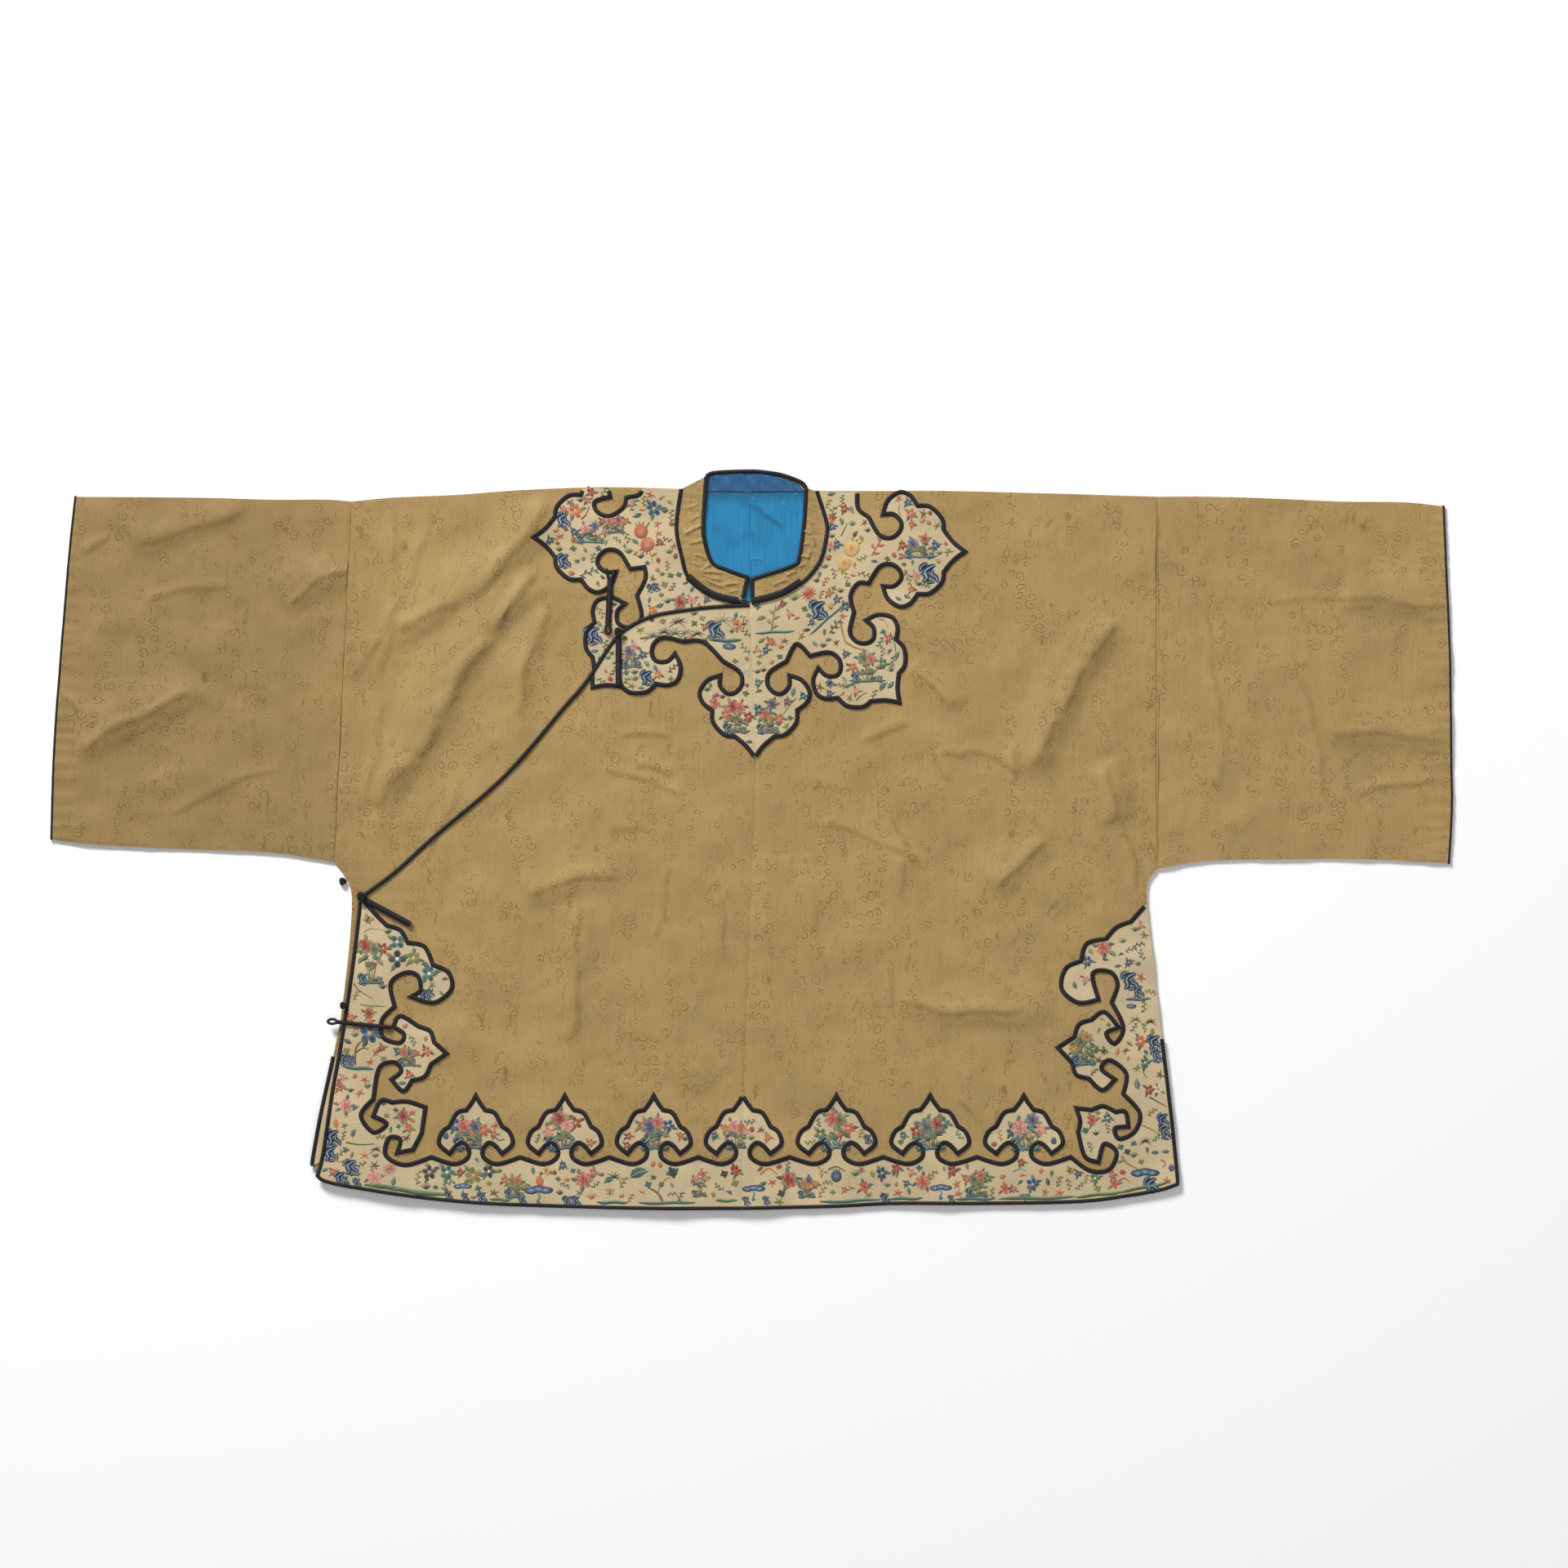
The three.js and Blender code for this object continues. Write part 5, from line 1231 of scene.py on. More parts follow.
class ROBE_OT_body(bpy.types.Operator):
    """Make the two body halves and the overlap panel"""

    bl_idname = "robe.body"
    bl_label = "Body panels"

    def execute(self, context):
        step = context.scene.robe_sizes.grid / MM
        left = merged([
            shell(left_front_outline, raised(left_front, CLOTH), step),
            shell(left_back_outline, raised(on_table, CLOTH), BACK_STEP, BACK_SHELL),
            fold_strip(shoulder_left, left_front, -1),
            fold_strip(side_sewn, left_front, -1),
        ])
        left_piece = tan_piece("left_body", left)
        right = merged([
            shell(right_front_outline, raised(under_front, CLOTH), step * 1.25),
            shell(right_back_outline, raised(on_table, CLOTH), BACK_STEP, BACK_SHELL),
            fold_strip(shoulder_right, under_front, -1),
            fold_strip(armpit, under_front, 1),
        ])
        right_piece = tan_piece("right_body", right)
        panel = shell(overlap_outline, raised(overlap_front, CLOTH), step)
        panel_piece = tan_piece("front_overlap", panel)
        return {"FINISHED"}


class ROBE_OT_sleeves(bpy.types.Operator):
    """Make the two sleeves, each a flat tube"""

    bl_idname = "robe.sleeves"
    bl_label = "Sleeves"

    def execute(self, context):
        step = context.scene.robe_sizes.grid / MM
        for name, top, cuff, under, inward in (
            ("left_sleeve", SLEEVE_TOP_LEFT, CUFF_LEFT, SLEEVE_UNDER_LEFT, -1),
            ("right_sleeve", SLEEVE_TOP_RIGHT, CUFF_RIGHT, SLEEVE_UNDER_RIGHT, 1),
        ):
            top, cuff, under = trace(top), trace(cuff), trace(under)
            top[0, 0] -= inward * 0.12
            under[-1, 0] -= inward * 0.12
            outline = joined(top, cuff, under)
            tube_part = merged([
                shell(outline, raised(sleeve_front, CLOTH), step),
                shell(outline, raised(on_table, CLOTH), BACK_STEP, BACK_SHELL),
                fold_strip(top, sleeve_front, inward),
                fold_strip(under, sleeve_front, inward),
            ])
            piece = tan_piece(name, tube_part)
        return {"FINISHED"}


def collar_outlines():
    """The outlines of the collar's two front strips and of its back."""
    top_right, top_left, top_back = trace(COLLAR_TOP_RIGHT), trace(COLLAR_TOP_LEFT), trace(COLLAR_TOP_BACK)
    neck_edge_right = shifted(neck_right, GAP)
    neck_edge_right = neck_edge_right[neck_edge_right[:, 0] < top_right[0, 0] - 1]
    neck_edge_left = shifted(neck_left, 2 * GAP)
    neck_edge_left = neck_edge_left[neck_edge_left[:, 0] > top_left[0, 0] + 1]
    return (joined(neck_edge_right, top_right), joined(neck_edge_left, top_left[::-1]),
            joined([[neck_edge_right[0, 0], BACK_NECK_Y]], neck_edge_right[:1], top_back, neck_edge_left[-1:],
                   [[neck_edge_left[-1, 0], BACK_NECK_Y]]))


class ROBE_OT_collar(bpy.types.Operator):
    """Make the collar, its lining and the lining of the back"""

    bl_idname = "robe.collar"
    bl_label = "Collar and linings"

    def execute(self, context):
        right, left, back = collar_outlines()
        high = COLLAR_RAISED + CLOTH
        band = merged([
            shell(right, wrinkled(under_front, high, COLLAR_CREASES), 1.4),
            shell(left, wrinkled(left_front, high, COLLAR_CREASES), 1.4),
            shell(back, raised(on_table, CLOTH), 5, 1.3),
        ])
        band_piece = made("collar_band_silk", band, finish_of("collar"), "collar_band", "tan_silk")
        face = trace(COLLAR_BACK_FACE)

        def crumpled(x, y):
            slant = x * 0.8 + y * 0.6
            pucker = 0.5 * np.sin(slant / 3.4 + np.sin(y / 5)) * smooth(362, 368, y)
            return LEVEL + 1.6 + pucker + 0.3 * np.sin(x / 2.1)

        face_part = shell(face, crumpled, 1.6, 0.8)
        face_piece = made("collar_lining_silk", face_part, finish_of("slate"), "collar_lining", "collar_blue")
        top = BACK_NECK_Y - GAP
        edge_right, edge_left = shifted(neck_right, 0.8), shifted(neck_left, 0.8)
        edge_right = edge_right[(edge_right[:, 0] < CENTRE_BACK_X - 3) & (edge_right[:, 1] < top)]
        edge_left = edge_left[(edge_left[:, 0] > CENTRE_BACK_X + 3) & (edge_left[:, 1] < top)]
        outlines = {
            "right": joined(edge_right, [[CENTRE_BACK_X - SEAM_GAP, 249], [CENTRE_BACK_X - SEAM_GAP, top]],
                            [[neck_right[0, 0] + 0.8, top]]),
            "left": joined(edge_left,
                           [[67, top], [CENTRE_BACK_X + SEAM_GAP, top], [CENTRE_BACK_X + SEAM_GAP, 249]]),
        }

        def gathered(x, y):
            folds = sum(crease(x, y, row, 1.4, 0.7) for row in LINING_CREASES)
            under = np.maximum(relief(x, y), -0.4) * 0.6
            return LEVEL + 1.0 + under + folds + 0.1 * np.sin(x / 1.7 + np.sin(y / 21))

        for which, outline in outlines.items():
            piece = made(which + "_lining_silk", shell(outline, gathered, 2.2, 0.8), finish_of("blue"),
                         which + "_lining", "blue_lining")
        return {"FINISHED"}


APPLIQUES = {
    "cloud_shoulder": (shoulder_cloud_outline, under_front, (0.23, 0.22), "right_body_silk"),
    "cloud_overlap": (overlap_cloud_outline, overlap_front, (0.26, 0.165), "front_overlap_silk"),
    "cloud_left": (left_cloud_outline, left_front, (0.225, 0.28), "left_body_silk"),
    "border_overlap": (overlap_border_outline, overlap_front, (0.445, 0.325), "front_overlap_silk"),
    "border_left": (left_border_outline, left_front, (0.455, 0.315), "left_body_silk"),
}


class ROBE_OT_applique(bpy.types.Operator):
    """Make the cream pieces of the cloud collar and of the borders"""

    bl_idname = "robe.applique"
    bl_label = "Applique"

    def execute(self, context):
        for name, (outline, layer, flat, under) in APPLIQUES.items():
            part = shell(outline, raised(layer, APPLIQUE_TOP), APPLIQUE_STEP, APPLIQUE_SHELL)
            piece = made(name + "_satin", part, finish_of("cream"), name, "cream_silk")
        outline = strip(under_shown, 0, 16)
        part = shell(outline, raised(under_front, APPLIQUE_TOP), 3, APPLIQUE_SHELL)
        piece = made("border_under_satin", part, finish_of("cream"), "border_under", "cream_silk")
        return {"FINISHED"}


def clear_of(line, other, distance):
    """The points of a line that stand clear of another line, as one run."""
    near = near_points(other)
    keep = [near.find((x, y, 0))[2] >= distance for x, y in line]
    first = keep.index(True)
    last = len(keep) - keep[::-1].index(True)
    return line[first:last]


class ROBE_OT_braid(bpy.types.Operator):
    """Make the black braid on the free edges of the applique"""

    bl_idname = "robe.braid"
    bl_label = "Braid"

    def execute(self, context):
        width = context.scene.robe_sizes.braid_width / MM
        half_rise = [(0.5, 1.45), (0.47, 2.5), (0.36, 3.25), (0.28, 3.35)]
        rise = half_rise + [(0, 3.6)] + [(-across, up) for across, up in half_rise[::-1]]
        profile = [(across * width, up) for across, up in rise]
        dense = respaced(joined(overlap_edge), 1)
        start = overlap_edge[overlap_edge[:, 1] > chest[1] + 14][:1]
        overlap_cloud_braid = joined(respaced(joined(start, overlap_cloud_free[:1]), EDGE_STEP),
                                     overlap_cloud_free[:-1])
        runs = (
            ("braid_shoulder_bay", shoulder_bay[2:-2], under_front),
            ("braid_shoulder", clear_of(shoulder_free[2:], dense, BRAID_CLEAR), under_front),
            ("braid_cloud_overlap", overlap_cloud_braid, overlap_front),
            ("braid_cloud_left", left_cloud_free[1:-1], left_front),
            ("braid_border_overlap", clear_of(overlap_border_free[:-1], dense, BRAID_CLEAR), overlap_front),
            ("braid_border_left", left_border_free[1:-2], left_front),
        )
        for name, line, layer in runs:
            black_piece(name, swept(line, layer, profile), "braid")
        return {"FINISHED"}


class ROBE_OT_piping(bpy.types.Operator):
    """Make the black piping of the edges, the neck and the cuffs"""

    bl_idname = "robe.piping"
    bl_label = "Piping"

    def execute(self, context):
        width = context.scene.robe_sizes.piping_width / MM
        roll = oval(width, 4.3, 0.0)
        on_seam = oval(width, 4.6, 1.5)
        back = trace(COLLAR_TOP_BACK)
        runs = (
            ("piping_overlap", stretch(overlap_path, 0.15, -0.15), overlap_front, roll),
            ("piping_left", stretch(left_path, 0, -0.15), left_front, roll),
            ("piping_under", under_shown, under_front, roll),
            ("piping_neck_right", neck_right[:-1], under_front, on_seam),
            ("piping_neck_left", neck_left[1:], left_front, on_seam),
            ("piping_collar_right", trace(COLLAR_TOP_RIGHT), under_front, on_seam),
            ("piping_collar_left", trace(COLLAR_TOP_LEFT), left_front, on_seam),
            ("piping_collar_back", back, on_back, oval(width, 3.2, -0.4)),
        )
        for name, line, layer, profile in runs:
            black_piece(name, swept(line, layer, profile), "piping")
        for name, rows, inward in (("piping_cuff_left", CUFF_LEFT, -1), ("piping_cuff_right", CUFF_RIGHT, 1)):
            line = shifted(trace(rows), -inward * 1.2)
            front = np.column_stack([line, sleeve_front(*line.T) + 0.9])
            under = np.column_stack([line, np.full(len(line), 1.3)])[::-1]
            start, end = front[-1], under[0]
            turn_low = np.linspace(start, end, 4)[1:-1]
            turn_high = np.linspace(under[-1], front[0], 4)[1:-1]
            black_piece(name, tube(np.vstack([front, turn_low, under, turn_high]), CUFF_ROLL), "piping")
        return {"FINISHED"}


def knot_part(x, y, low, radius):
    """A knotted ball: three loops of cord round a core."""
    t = np.linspace(0, 2 * math.pi, 90, endpoint=False)
    out = radius * 0.72
    ring = out * (0.72 + 0.28 * np.cos(3 * t))
    high = low + radius * 0.62 + radius * 0.42 * np.sin(3 * t)
    path = np.column_stack([x + ring * np.cos(2 * t), y + ring * np.sin(2 * t), high])
    bpy.ops.object.select_all(action="DESELECT")
    bpy.ops.mesh.primitive_ico_sphere_add(subdivisions=3, radius=1, location=(0, 0, 0))
    core = bpy.context.active_object
    bpy.ops.object.mode_set(mode="EDIT")
    bpy.ops.mesh.select_all(action="SELECT")
    bpy.ops.transform.resize(value=(radius * 0.8, radius * 0.8, radius * 0.5))
    bpy.ops.object.mode_set(mode="OBJECT")
    points = np.array([v.co[:] for v in core.data.vertices]) + (x, y, low + radius * 0.6)
    faces = np.array([p.vertices[:] for p in core.data.polygons])
    mesh = core.data
    bpy.data.objects.remove(core)
    bpy.data.meshes.remove(mesh)
    return merged([(points, faces), tube(path, radius * 0.3)])


def eye_part(x, y, low, long, wide, turn):
    """The oval loop at a strap's end."""
    t = np.linspace(0, 2 * math.pi, 28, endpoint=False)
    cos, sin = way_of(turn)
    u, v = (long - 1) * np.cos(t), (wide - 1) * np.sin(t)
    path = np.column_stack([x + u * cos - v * sin, y + u * sin + v * cos, np.full(len(t), low + 1.2)])
    return tube(path, EYE_ROLL)


class ROBE_OT_fasteners(bpy.types.Operator):
    """Make the neck tabs, the straps, the loops and the knots"""

    bl_idname = "robe.fasteners"
    bl_label = "Fasteners"

    def execute(self, context):
        sizes = context.scene.robe_sizes
        strap_width, tab_width = sizes.strap_width / MM, sizes.tab_width / MM

        def strap(rows, layer, width, low, high):
            return swept(trace(rows), layer, oval(width, high, low))

        def over(layer, x, y, lift):
            return float(layer(np.array([x], float), np.array([y], float))[0]) + lift

        def corded(node, *parts):
            made(node + "_cord", merged(parts), finish_of("cord"), node, "black_cord")

        corded("neck_tab_right", strap(NECK_TAB_RIGHT, under_front, tab_width, 2.0, 5.6))
        corded("neck_tab_left", strap(NECK_TAB_LEFT, left_front, tab_width, 2.0, 5.6))
        corded(
            "shoulder_strap",
            strap(SHOULDER_STRAP, under_front, strap_width, 2.0, 5.8),
            strap(SHOULDER_FORK_OUTER, under_front, FORK_WIDTH, 2.0, 5.4),
            strap(SHOULDER_FORK_INNER, under_front, FORK_WIDTH, 2.0, 5.2),
            eye_part(-149, 219, over(under_front, -149, 219, 3.2), 6, 3.6, 90),
        )
        corded(
            "chest_strap",
            strap(CHEST_STRAP, overlap_front, strap_width, 2.0, 6.0),
            knot_part(-138, 216, over(overlap_front, -138, 216, 3.4), 5),
        )
        corded(
            "underarm_strap",
            strap(UNDERARM_STRAP, overlap_front, strap_width, 2.0, 6.0),
            knot_part(-405, -59, over(overlap_front, -405, -59, 2.4), 5.5),
        )
        corded(
            "side_strap",
            strap(SIDE_STRAP, overlap_front, strap_width * 0.72, 2.2, 6.0),
            eye_part(-435.5, -188.6, over(overlap_front, -435.5, -188.6, 2.0), 5.6, 3.4, 0),
        )
        corded("side_knot", knot_part(-424, -172, over(overlap_front, -424, -172, 3.4), 4))
        corded("armpit_knot", knot_part(-425, -43.2, 0.3, 4.2))
        return {"FINISHED"}


# The stage, in metres. A light is its place, what it is aimed at, its size and its power.
TABLE_SIZE = 12
PICTURE_CENTRE = (0.034, 0.0582, 0)
PICTURE_WIDTH = 1920 * 0.00085
SENSOR = 36
LIGHTS = (((-2.5, 4.7, 3.4), (0, 0, 0), 1.6, 480), ((1.3, -1.3, 4.2), (0.5, -0.5, 0), 3.4, 46))
WORLD_LIGHT = 0.26


class ROBE_OT_stage(bpy.types.Operator):
    """Make the table, the camera and the lights"""

    bl_idname = "robe.stage"
    bl_label = "Table, camera and lights"

    def execute(self, context):
        scene = context.scene
        bpy.ops.object.select_all(action="DESELECT")
        bpy.ops.mesh.primitive_plane_add(size=TABLE_SIZE, location=(0, 0, -0.0002))
        table = context.active_object
        table.name = "table"
        table.data.materials.append(finish_of("floor"))
        height = scene.robe_sizes.camera_height
        centre = Vector(PICTURE_CENTRE)
        bpy.ops.object.camera_add(location=centre + Vector((0, 0, height)), rotation=(0, 0, 0))
        camera = context.active_object
        camera.data.sensor_width = SENSOR
        camera.data.lens = SENSOR * height / PICTURE_WIDTH
        camera.data.clip_end = 100
        scene.camera = camera
        for place, aim, size, power in LIGHTS:
            bpy.ops.object.light_add(type="AREA", location=place)
            light = context.active_object
            light.data.size = size
            light.data.energy = power
            light.rotation_euler = (Vector(aim) - Vector(place)).to_track_quat("-Z", "Y").to_euler()
        world = scene.world or bpy.data.worlds.new("Studio")
        scene.world = world
        world.use_nodes = True
        light_all_round = world.node_tree.nodes["Background"].inputs
        light_all_round["Color"].default_value = (1, 1, 1, 1)
        light_all_round["Strength"].default_value = WORLD_LIGHT
        scene.view_settings.view_transform = "Standard"
        return {"FINISHED"}


# Embroidery. Motifs are placed on a drawing of 0.85 mm squares, x to the right and y down.
SQUARE = 0.85
DRAWN_ORIGIN = (920, 1028.5)
STITCH_HIGH = 0.5
UNDYED = (0.68, 0.56, 0.38)
LEAF_SILKS = ("dark", "teal", "olive", "green")
SILKS = {
    "dark": (36, 60, 52), "teal": (54, 102, 98), "olive": (128, 124, 62), "green": (74, 108, 66),
    "sage": (138, 142, 104), "blue": (34, 76, 112), "navy": (20, 44, 74), "sky": (124, 152, 164),
    "coral": (186, 98, 70), "red": (150, 54, 40), "pink": (206, 140, 122), "cream": (224, 206, 170),
    "ochre": (170, 126, 56), "brown": (112, 80, 48), "orange": (200, 118, 52), "yellow": (206, 168, 88),
    "purple": (116, 84, 108), "grey": (146, 136, 118),
}


def dyed(name, brighter=1.0):
    """A silk's colour, darker, or paler towards undyed silk."""
    base = np.array(linear(*SILKS[name])[:3]) * min(brighter, 1)
    base += (np.array(UNDYED) - base) * min(0.36 * max(brighter - 1, 0), 0.7)
    return np.append(base, 1)


class Needle:
    """Gathers stitched patches: places on the cloth, lifts, threads' directions and colours."""

    def __init__(self, seed):
        self.spots, self.lifts, self.faces, self.tints, self.tracks = [], [], [], [], []
        self.count = 0
        self.random = np.random.default_rng(seed)
        self.order = 0

    def put(self, spots, lifts, faces, tints, tracks):
        """Adds the points and faces of some stitches."""
        self.order += 1
        self.spots.append(spots)
        self.lifts.append(lifts + 0.0012 * (self.order % 97))
        self.faces.append(np.asarray(faces) + self.count)
        self.tints.append(tints * (0.9 + 0.2 * self.random.random()))
        self.tracks.append(tracks)
        self.count += len(spots)

    def band(self, path, widths, tint, tip, high=STITCH_HIGH):
        """A stitched band along a path: a leaf, petal, blade or stem."""
        path = np.asarray(path, float)
        ahead = np.gradient(path, axis=0)
        ahead /= np.maximum(np.hypot(*ahead.T), 1e-6)[:, None]
        across = np.column_stack([-ahead[:, 1], ahead[:, 0]])
        n = len(path)
        widths = np.maximum(np.broadcast_to(widths, n), 0.06)
        offs = np.array([-1, -0.45, 0.45, 1])
        spots = (path[:, None, :] + across[:, None, :] * (widths[:, None] * offs)[..., None]).reshape(-1, 2)
        swell = np.sqrt(widths / widths.max())
        flat = np.ones(n)
        swells = np.column_stack([flat, swell, swell, flat])
        lifts = (np.array([-0.12, high, high * 0.92, -0.12]) * swells).ravel()
        share = np.linspace(0, 1, n)[:, None]
        along = tint * (1 - share) + tip * share
        tints = np.repeat(along, 4, axis=0) * np.tile([[0.86], [1.0], [1.1], [0.9]], (n, 1))
        tracks = np.column_stack([np.tile(offs, n) * 2, np.repeat(run_along(path), 4), np.zeros(4 * n)])
        self.put(spots, lifts, ring_faces(n, 4), tints, tracks)

    def pad(self, x, y, across, up, turn, tints, high=STITCH_HIGH, sides=12):
        """A domed stitched pad, with a colour for its rim, its middle and its centre."""
        cos, sin = way_of(turn)
        angles = np.linspace(0, 2 * math.pi, sides, endpoint=False)
        rings, lifts = [], []
        for share, lift in ((1, -0.12), (0.86, 0.62), (0.5, 0.95)):
            u, v = across * share * np.cos(angles), up * share * np.sin(angles)
            rings.append(np.column_stack([x + u * cos - v * sin, y + u * sin + v * cos]))
            lifts.append(np.full(sides, lift * high if lift > 0 else lift))
        spots = np.vstack(rings + [[[x, y]]])
        lifts = np.concatenate(lifts + [[high]])
        rim, mid, core = tints
        colours = np.vstack([np.tile(rim, (sides, 1)), np.tile(rim * 0.6 + mid * 0.4, (sides, 1)),
                             np.tile(mid, (sides, 1)), [core]])
        faces = []
        for i in range(sides):
            j = (i + 1) % sides
            faces += [(i, j, sides + j), (i, sides + j, sides + i)]
            faces += [(sides + i, sides + j, 2 * sides + j), (sides + i, 2 * sides + j, 2 * sides + i)]
            faces.append((2 * sides + i, 2 * sides + j, 3 * sides))
        faces += [(0, i + 1, i) for i in range(1, sides - 1)]
        local = (spots - (x, y)) @ np.array([[cos, -sin], [sin, cos]])
        self.put(spots, lifts, np.array(faces), colours, np.column_stack([local, np.zeros(len(spots))]))

    # Motifs. Places and sizes are in millimetres, and turn is the way that a motif points.
    def leaf(self, x, y, size, turn, silk):
        """A leaf, bent at random, with a pale vein."""
        way = math.radians(turn)
        bend = self.random.uniform(-0.5, 0.5)
        share = np.linspace(-0.5, 0.5, 5)
        path = [(x + size * (s * math.cos(way) - bend * (0.25 - s * s) * math.sin(way)),
                 y + size * (s * math.sin(way) + bend * (0.25 - s * s) * math.cos(way))) for s in share]
        width = size * 0.27 * np.array([0.1, 0.85, 1, 0.65, 0.02])
        self.band(path, width, dyed(silk, 0.8), dyed(silk, 1.35))
        self.band(path[::2], size * 0.03, dyed(silk, 2.2), dyed(silk, 2.2), STITCH_HIGH * 1.35)

    def leaves(self, x, y, size, count):
        """Leaves that stand out around a blossom."""
        for k in range(count):
            turn = 360 * k / count + self.random.uniform(-30, 30)
            out = size * 0.52
            self.leaf(x + out * math.cos(math.radians(turn)), y + out * math.sin(math.radians(turn)),
                      size * 0.5, turn, LEAF_SILKS[self.random.integers(4)])

    def flower(self, x, y, size, turn, silk, heart="yellow", petals=5):
        """A flower with a few petals."""
        size *= 1.12
        self.leaves(x, y, size, 3)
        for k in range(petals):
            way = turn + 360 * k / petals
            cos, sin = way_of(way)
            out = size * 0.29
            self.pad(x + out * cos, y + out * sin, size * 0.22, size * 0.6 / petals + size * 0.055, way,
                     (dyed(silk, 1.6), dyed(silk, 1.0), dyed(silk, 0.7)), STITCH_HIGH, 8)
        self.pad(x, y, size * 0.12, size * 0.12, 0, (dyed(heart, 0.8), dyed(heart), dyed(heart, 1.2)),
                 STITCH_HIGH * 1.3, 8)

    def peony(self, x, y, size, turn, silk, heart="red"):
        """A full flower of three rings of petals."""
        size *= 1.12
        self.leaves(x, y, size, 4)
        rings = ((7, 0.34, 0.2, 1.7), (5, 0.2, 0.17, 1.2), (3, 0.08, 0.13, 0.8))
        for ring, (count, out, big, bright) in enumerate(rings):
            for k in range(count):
                way = turn + 360 * (k + ring * 0.5) / count
                cos, sin = way_of(way)
                self.pad(x + size * out * cos, y + size * out * sin, size * big, size * big * 0.95, way,
                         (dyed(silk, bright * 1.25), dyed(silk, bright), dyed(heart, 0.9)),
                         STITCH_HIGH * (1 + 0.3 * ring), 8)

    def mum(self, x, y, size, turn, silk, heart="red"):
        """A flower of many narrow petals."""
        for ring, (count, reach, bright) in enumerate(((13, 0.5, 1.3), (9, 0.33, 1.0))):
            for k in range(count):
                way = math.radians(turn + 360 * (k + ring * 0.5) / count)
                path = [(x + size * s * math.cos(way), y + size * s * math.sin(way)) for s in (0.05,
                                                                                               reach * 0.6,
                                                                                               reach * 0.9,
                                                                                               reach)]
                self.band(path, size * 0.05 * np.array([0.6, 1, 0.9, 0.3]), dyed(silk, 0.75),
                          dyed(silk, bright * 1.3), STITCH_HIGH * (1 + 0.3 * ring))
        self.pad(x, y, size * 0.08, size * 0.08, 0, (dyed(heart),) * 3, STITCH_HIGH * 1.6, 8)

    def ball(self, x, y, size, turn, silk, heart=None):
        """A round bud."""
        heart = heart or silk
        self.pad(x, y, size * 0.5, size * 0.46, turn, (dyed(silk, 0.85), dyed(silk, 1.25), dyed(heart, 1.1)),
                 STITCH_HIGH * 1.5, 14)
        for k in (-1, 0, 1):
            way = math.radians(turn + 24 * k)
            path = [(x + size * s * math.cos(way), y + size * s * math.sin(way)) for s in (0.42, 0.52, 0.64)]
            self.band(path, size * 0.05, dyed("olive", 0.8), dyed(silk, 0.8))

    def pool(self, x, y, size, turn, silk):
        """A flat oval of pale silk."""
        self.pad(x, y, size * 0.5, size * 0.24, turn, (dyed(silk, 0.8), dyed(silk, 1.2), dyed(silk, 1.9)),
                 STITCH_HIGH, 16)

    def rock(self, x, y, size, turn, silk):
        """A pierced garden rock: lobes shaded from a dark rim to a pale inside."""
        size *= 1.5
        sway = self.random.uniform(-0.08, 0.08)
        for wide, points in (
            (0.17, ((-0.3, -0.44), (-0.12, -0.24), (-0.2, 0.02), (0.02 + sway, 0.22), (0.26, 0.3))),
            (0.14, ((0.36, -0.44), (0.26, -0.2), (0.08, -0.12), (0.16, 0.12))),
            (0.12, ((-0.42, 0.02), (-0.34 + sway, 0.26), (-0.08, 0.4))),
            (0.11, ((-0.12, -0.46), (0.1, -0.4), (0.2, -0.46))),
        ):
            rows = [(x + size * u, y + size * v, k in (0, len(points) - 1)) for k,
                    (u, v) in enumerate(points)]
            path = trace(rows, 2.0)
            round_ends = np.sqrt(np.clip(np.sin(np.linspace(0.12, math.pi - 0.12, len(path))), 0, 1))
            for share, tint in ((1, dyed("navy", 0.9)), (0.62, dyed(silk, 1.2)), (0.24, dyed("sky", 1.5))):
                self.band(path, size * wide * share * round_ends, tint, tint,
                          STITCH_HIGH * (1.5 - 0.5 * share))

    def cap(self, x, y, size, turn, silk):
        """A wide rock on a pale stem."""
        for u, v, across, up in ((-0.26, 0.02, 0.24, 0.13), (0.24, 0.03, 0.26, 0.12), (0, 0.07, 0.3, 0.13)):
            self.pad(x + size * u, y + size * v, size * across, size * up, 0,
                     (dyed("navy"), dyed(silk, 1.1), dyed("sky", 1.5)), STITCH_HIGH * 1.2, 16)
        path = [(x - size * 0.02, y - size * 0.05), (x + size * 0.03, y - size * 0.2),
                (x - size * 0.03, y - size * 0.34), (x, y - size * 0.46)]
        self.band(path, size * np.array([0.06, 0.045, 0.05, 0.1]), dyed("sky", 1.1), dyed("blue", 0.9))

    def ground(self, x1, y1, x2, y2, thick, silk):
        """A bank of earth, darker below."""
        share = np.linspace(0, 1, 12)
        wave = np.sin(share * 9 + x1) * thick * 0.14
        for lift, part, bright in ((0, 1, 0.8), (thick * 0.24, 0.6, 1.35)):
            path = np.column_stack([x1 + (x2 - x1) * share, y1 + (y2 - y1) * share + wave + lift])
            widths = thick * 0.5 * part * np.clip(np.minimum(share, 1 - share) * 7, 0.1, 1)
            self.band(path, widths, dyed(silk, bright), dyed(silk, bright * 1.25),
                      STITCH_HIGH * (1 + lift * 0.1))

    def stem(self, silk, thick, *points):
        """A thin branch through some points."""
        rows = [(points[k], points[k + 1], 1 if k in (0, len(points) - 2) else 0) for k in range(0,
                                                                                                 len(points),
                                                                                                 2)]
        path = trace(rows, 3.0)
        self.band(path, np.linspace(thick / 2, thick / 3.4, len(path)), dyed(silk, 0.85), dyed(silk, 1.2),
                  STITCH_HIGH * 0.8)

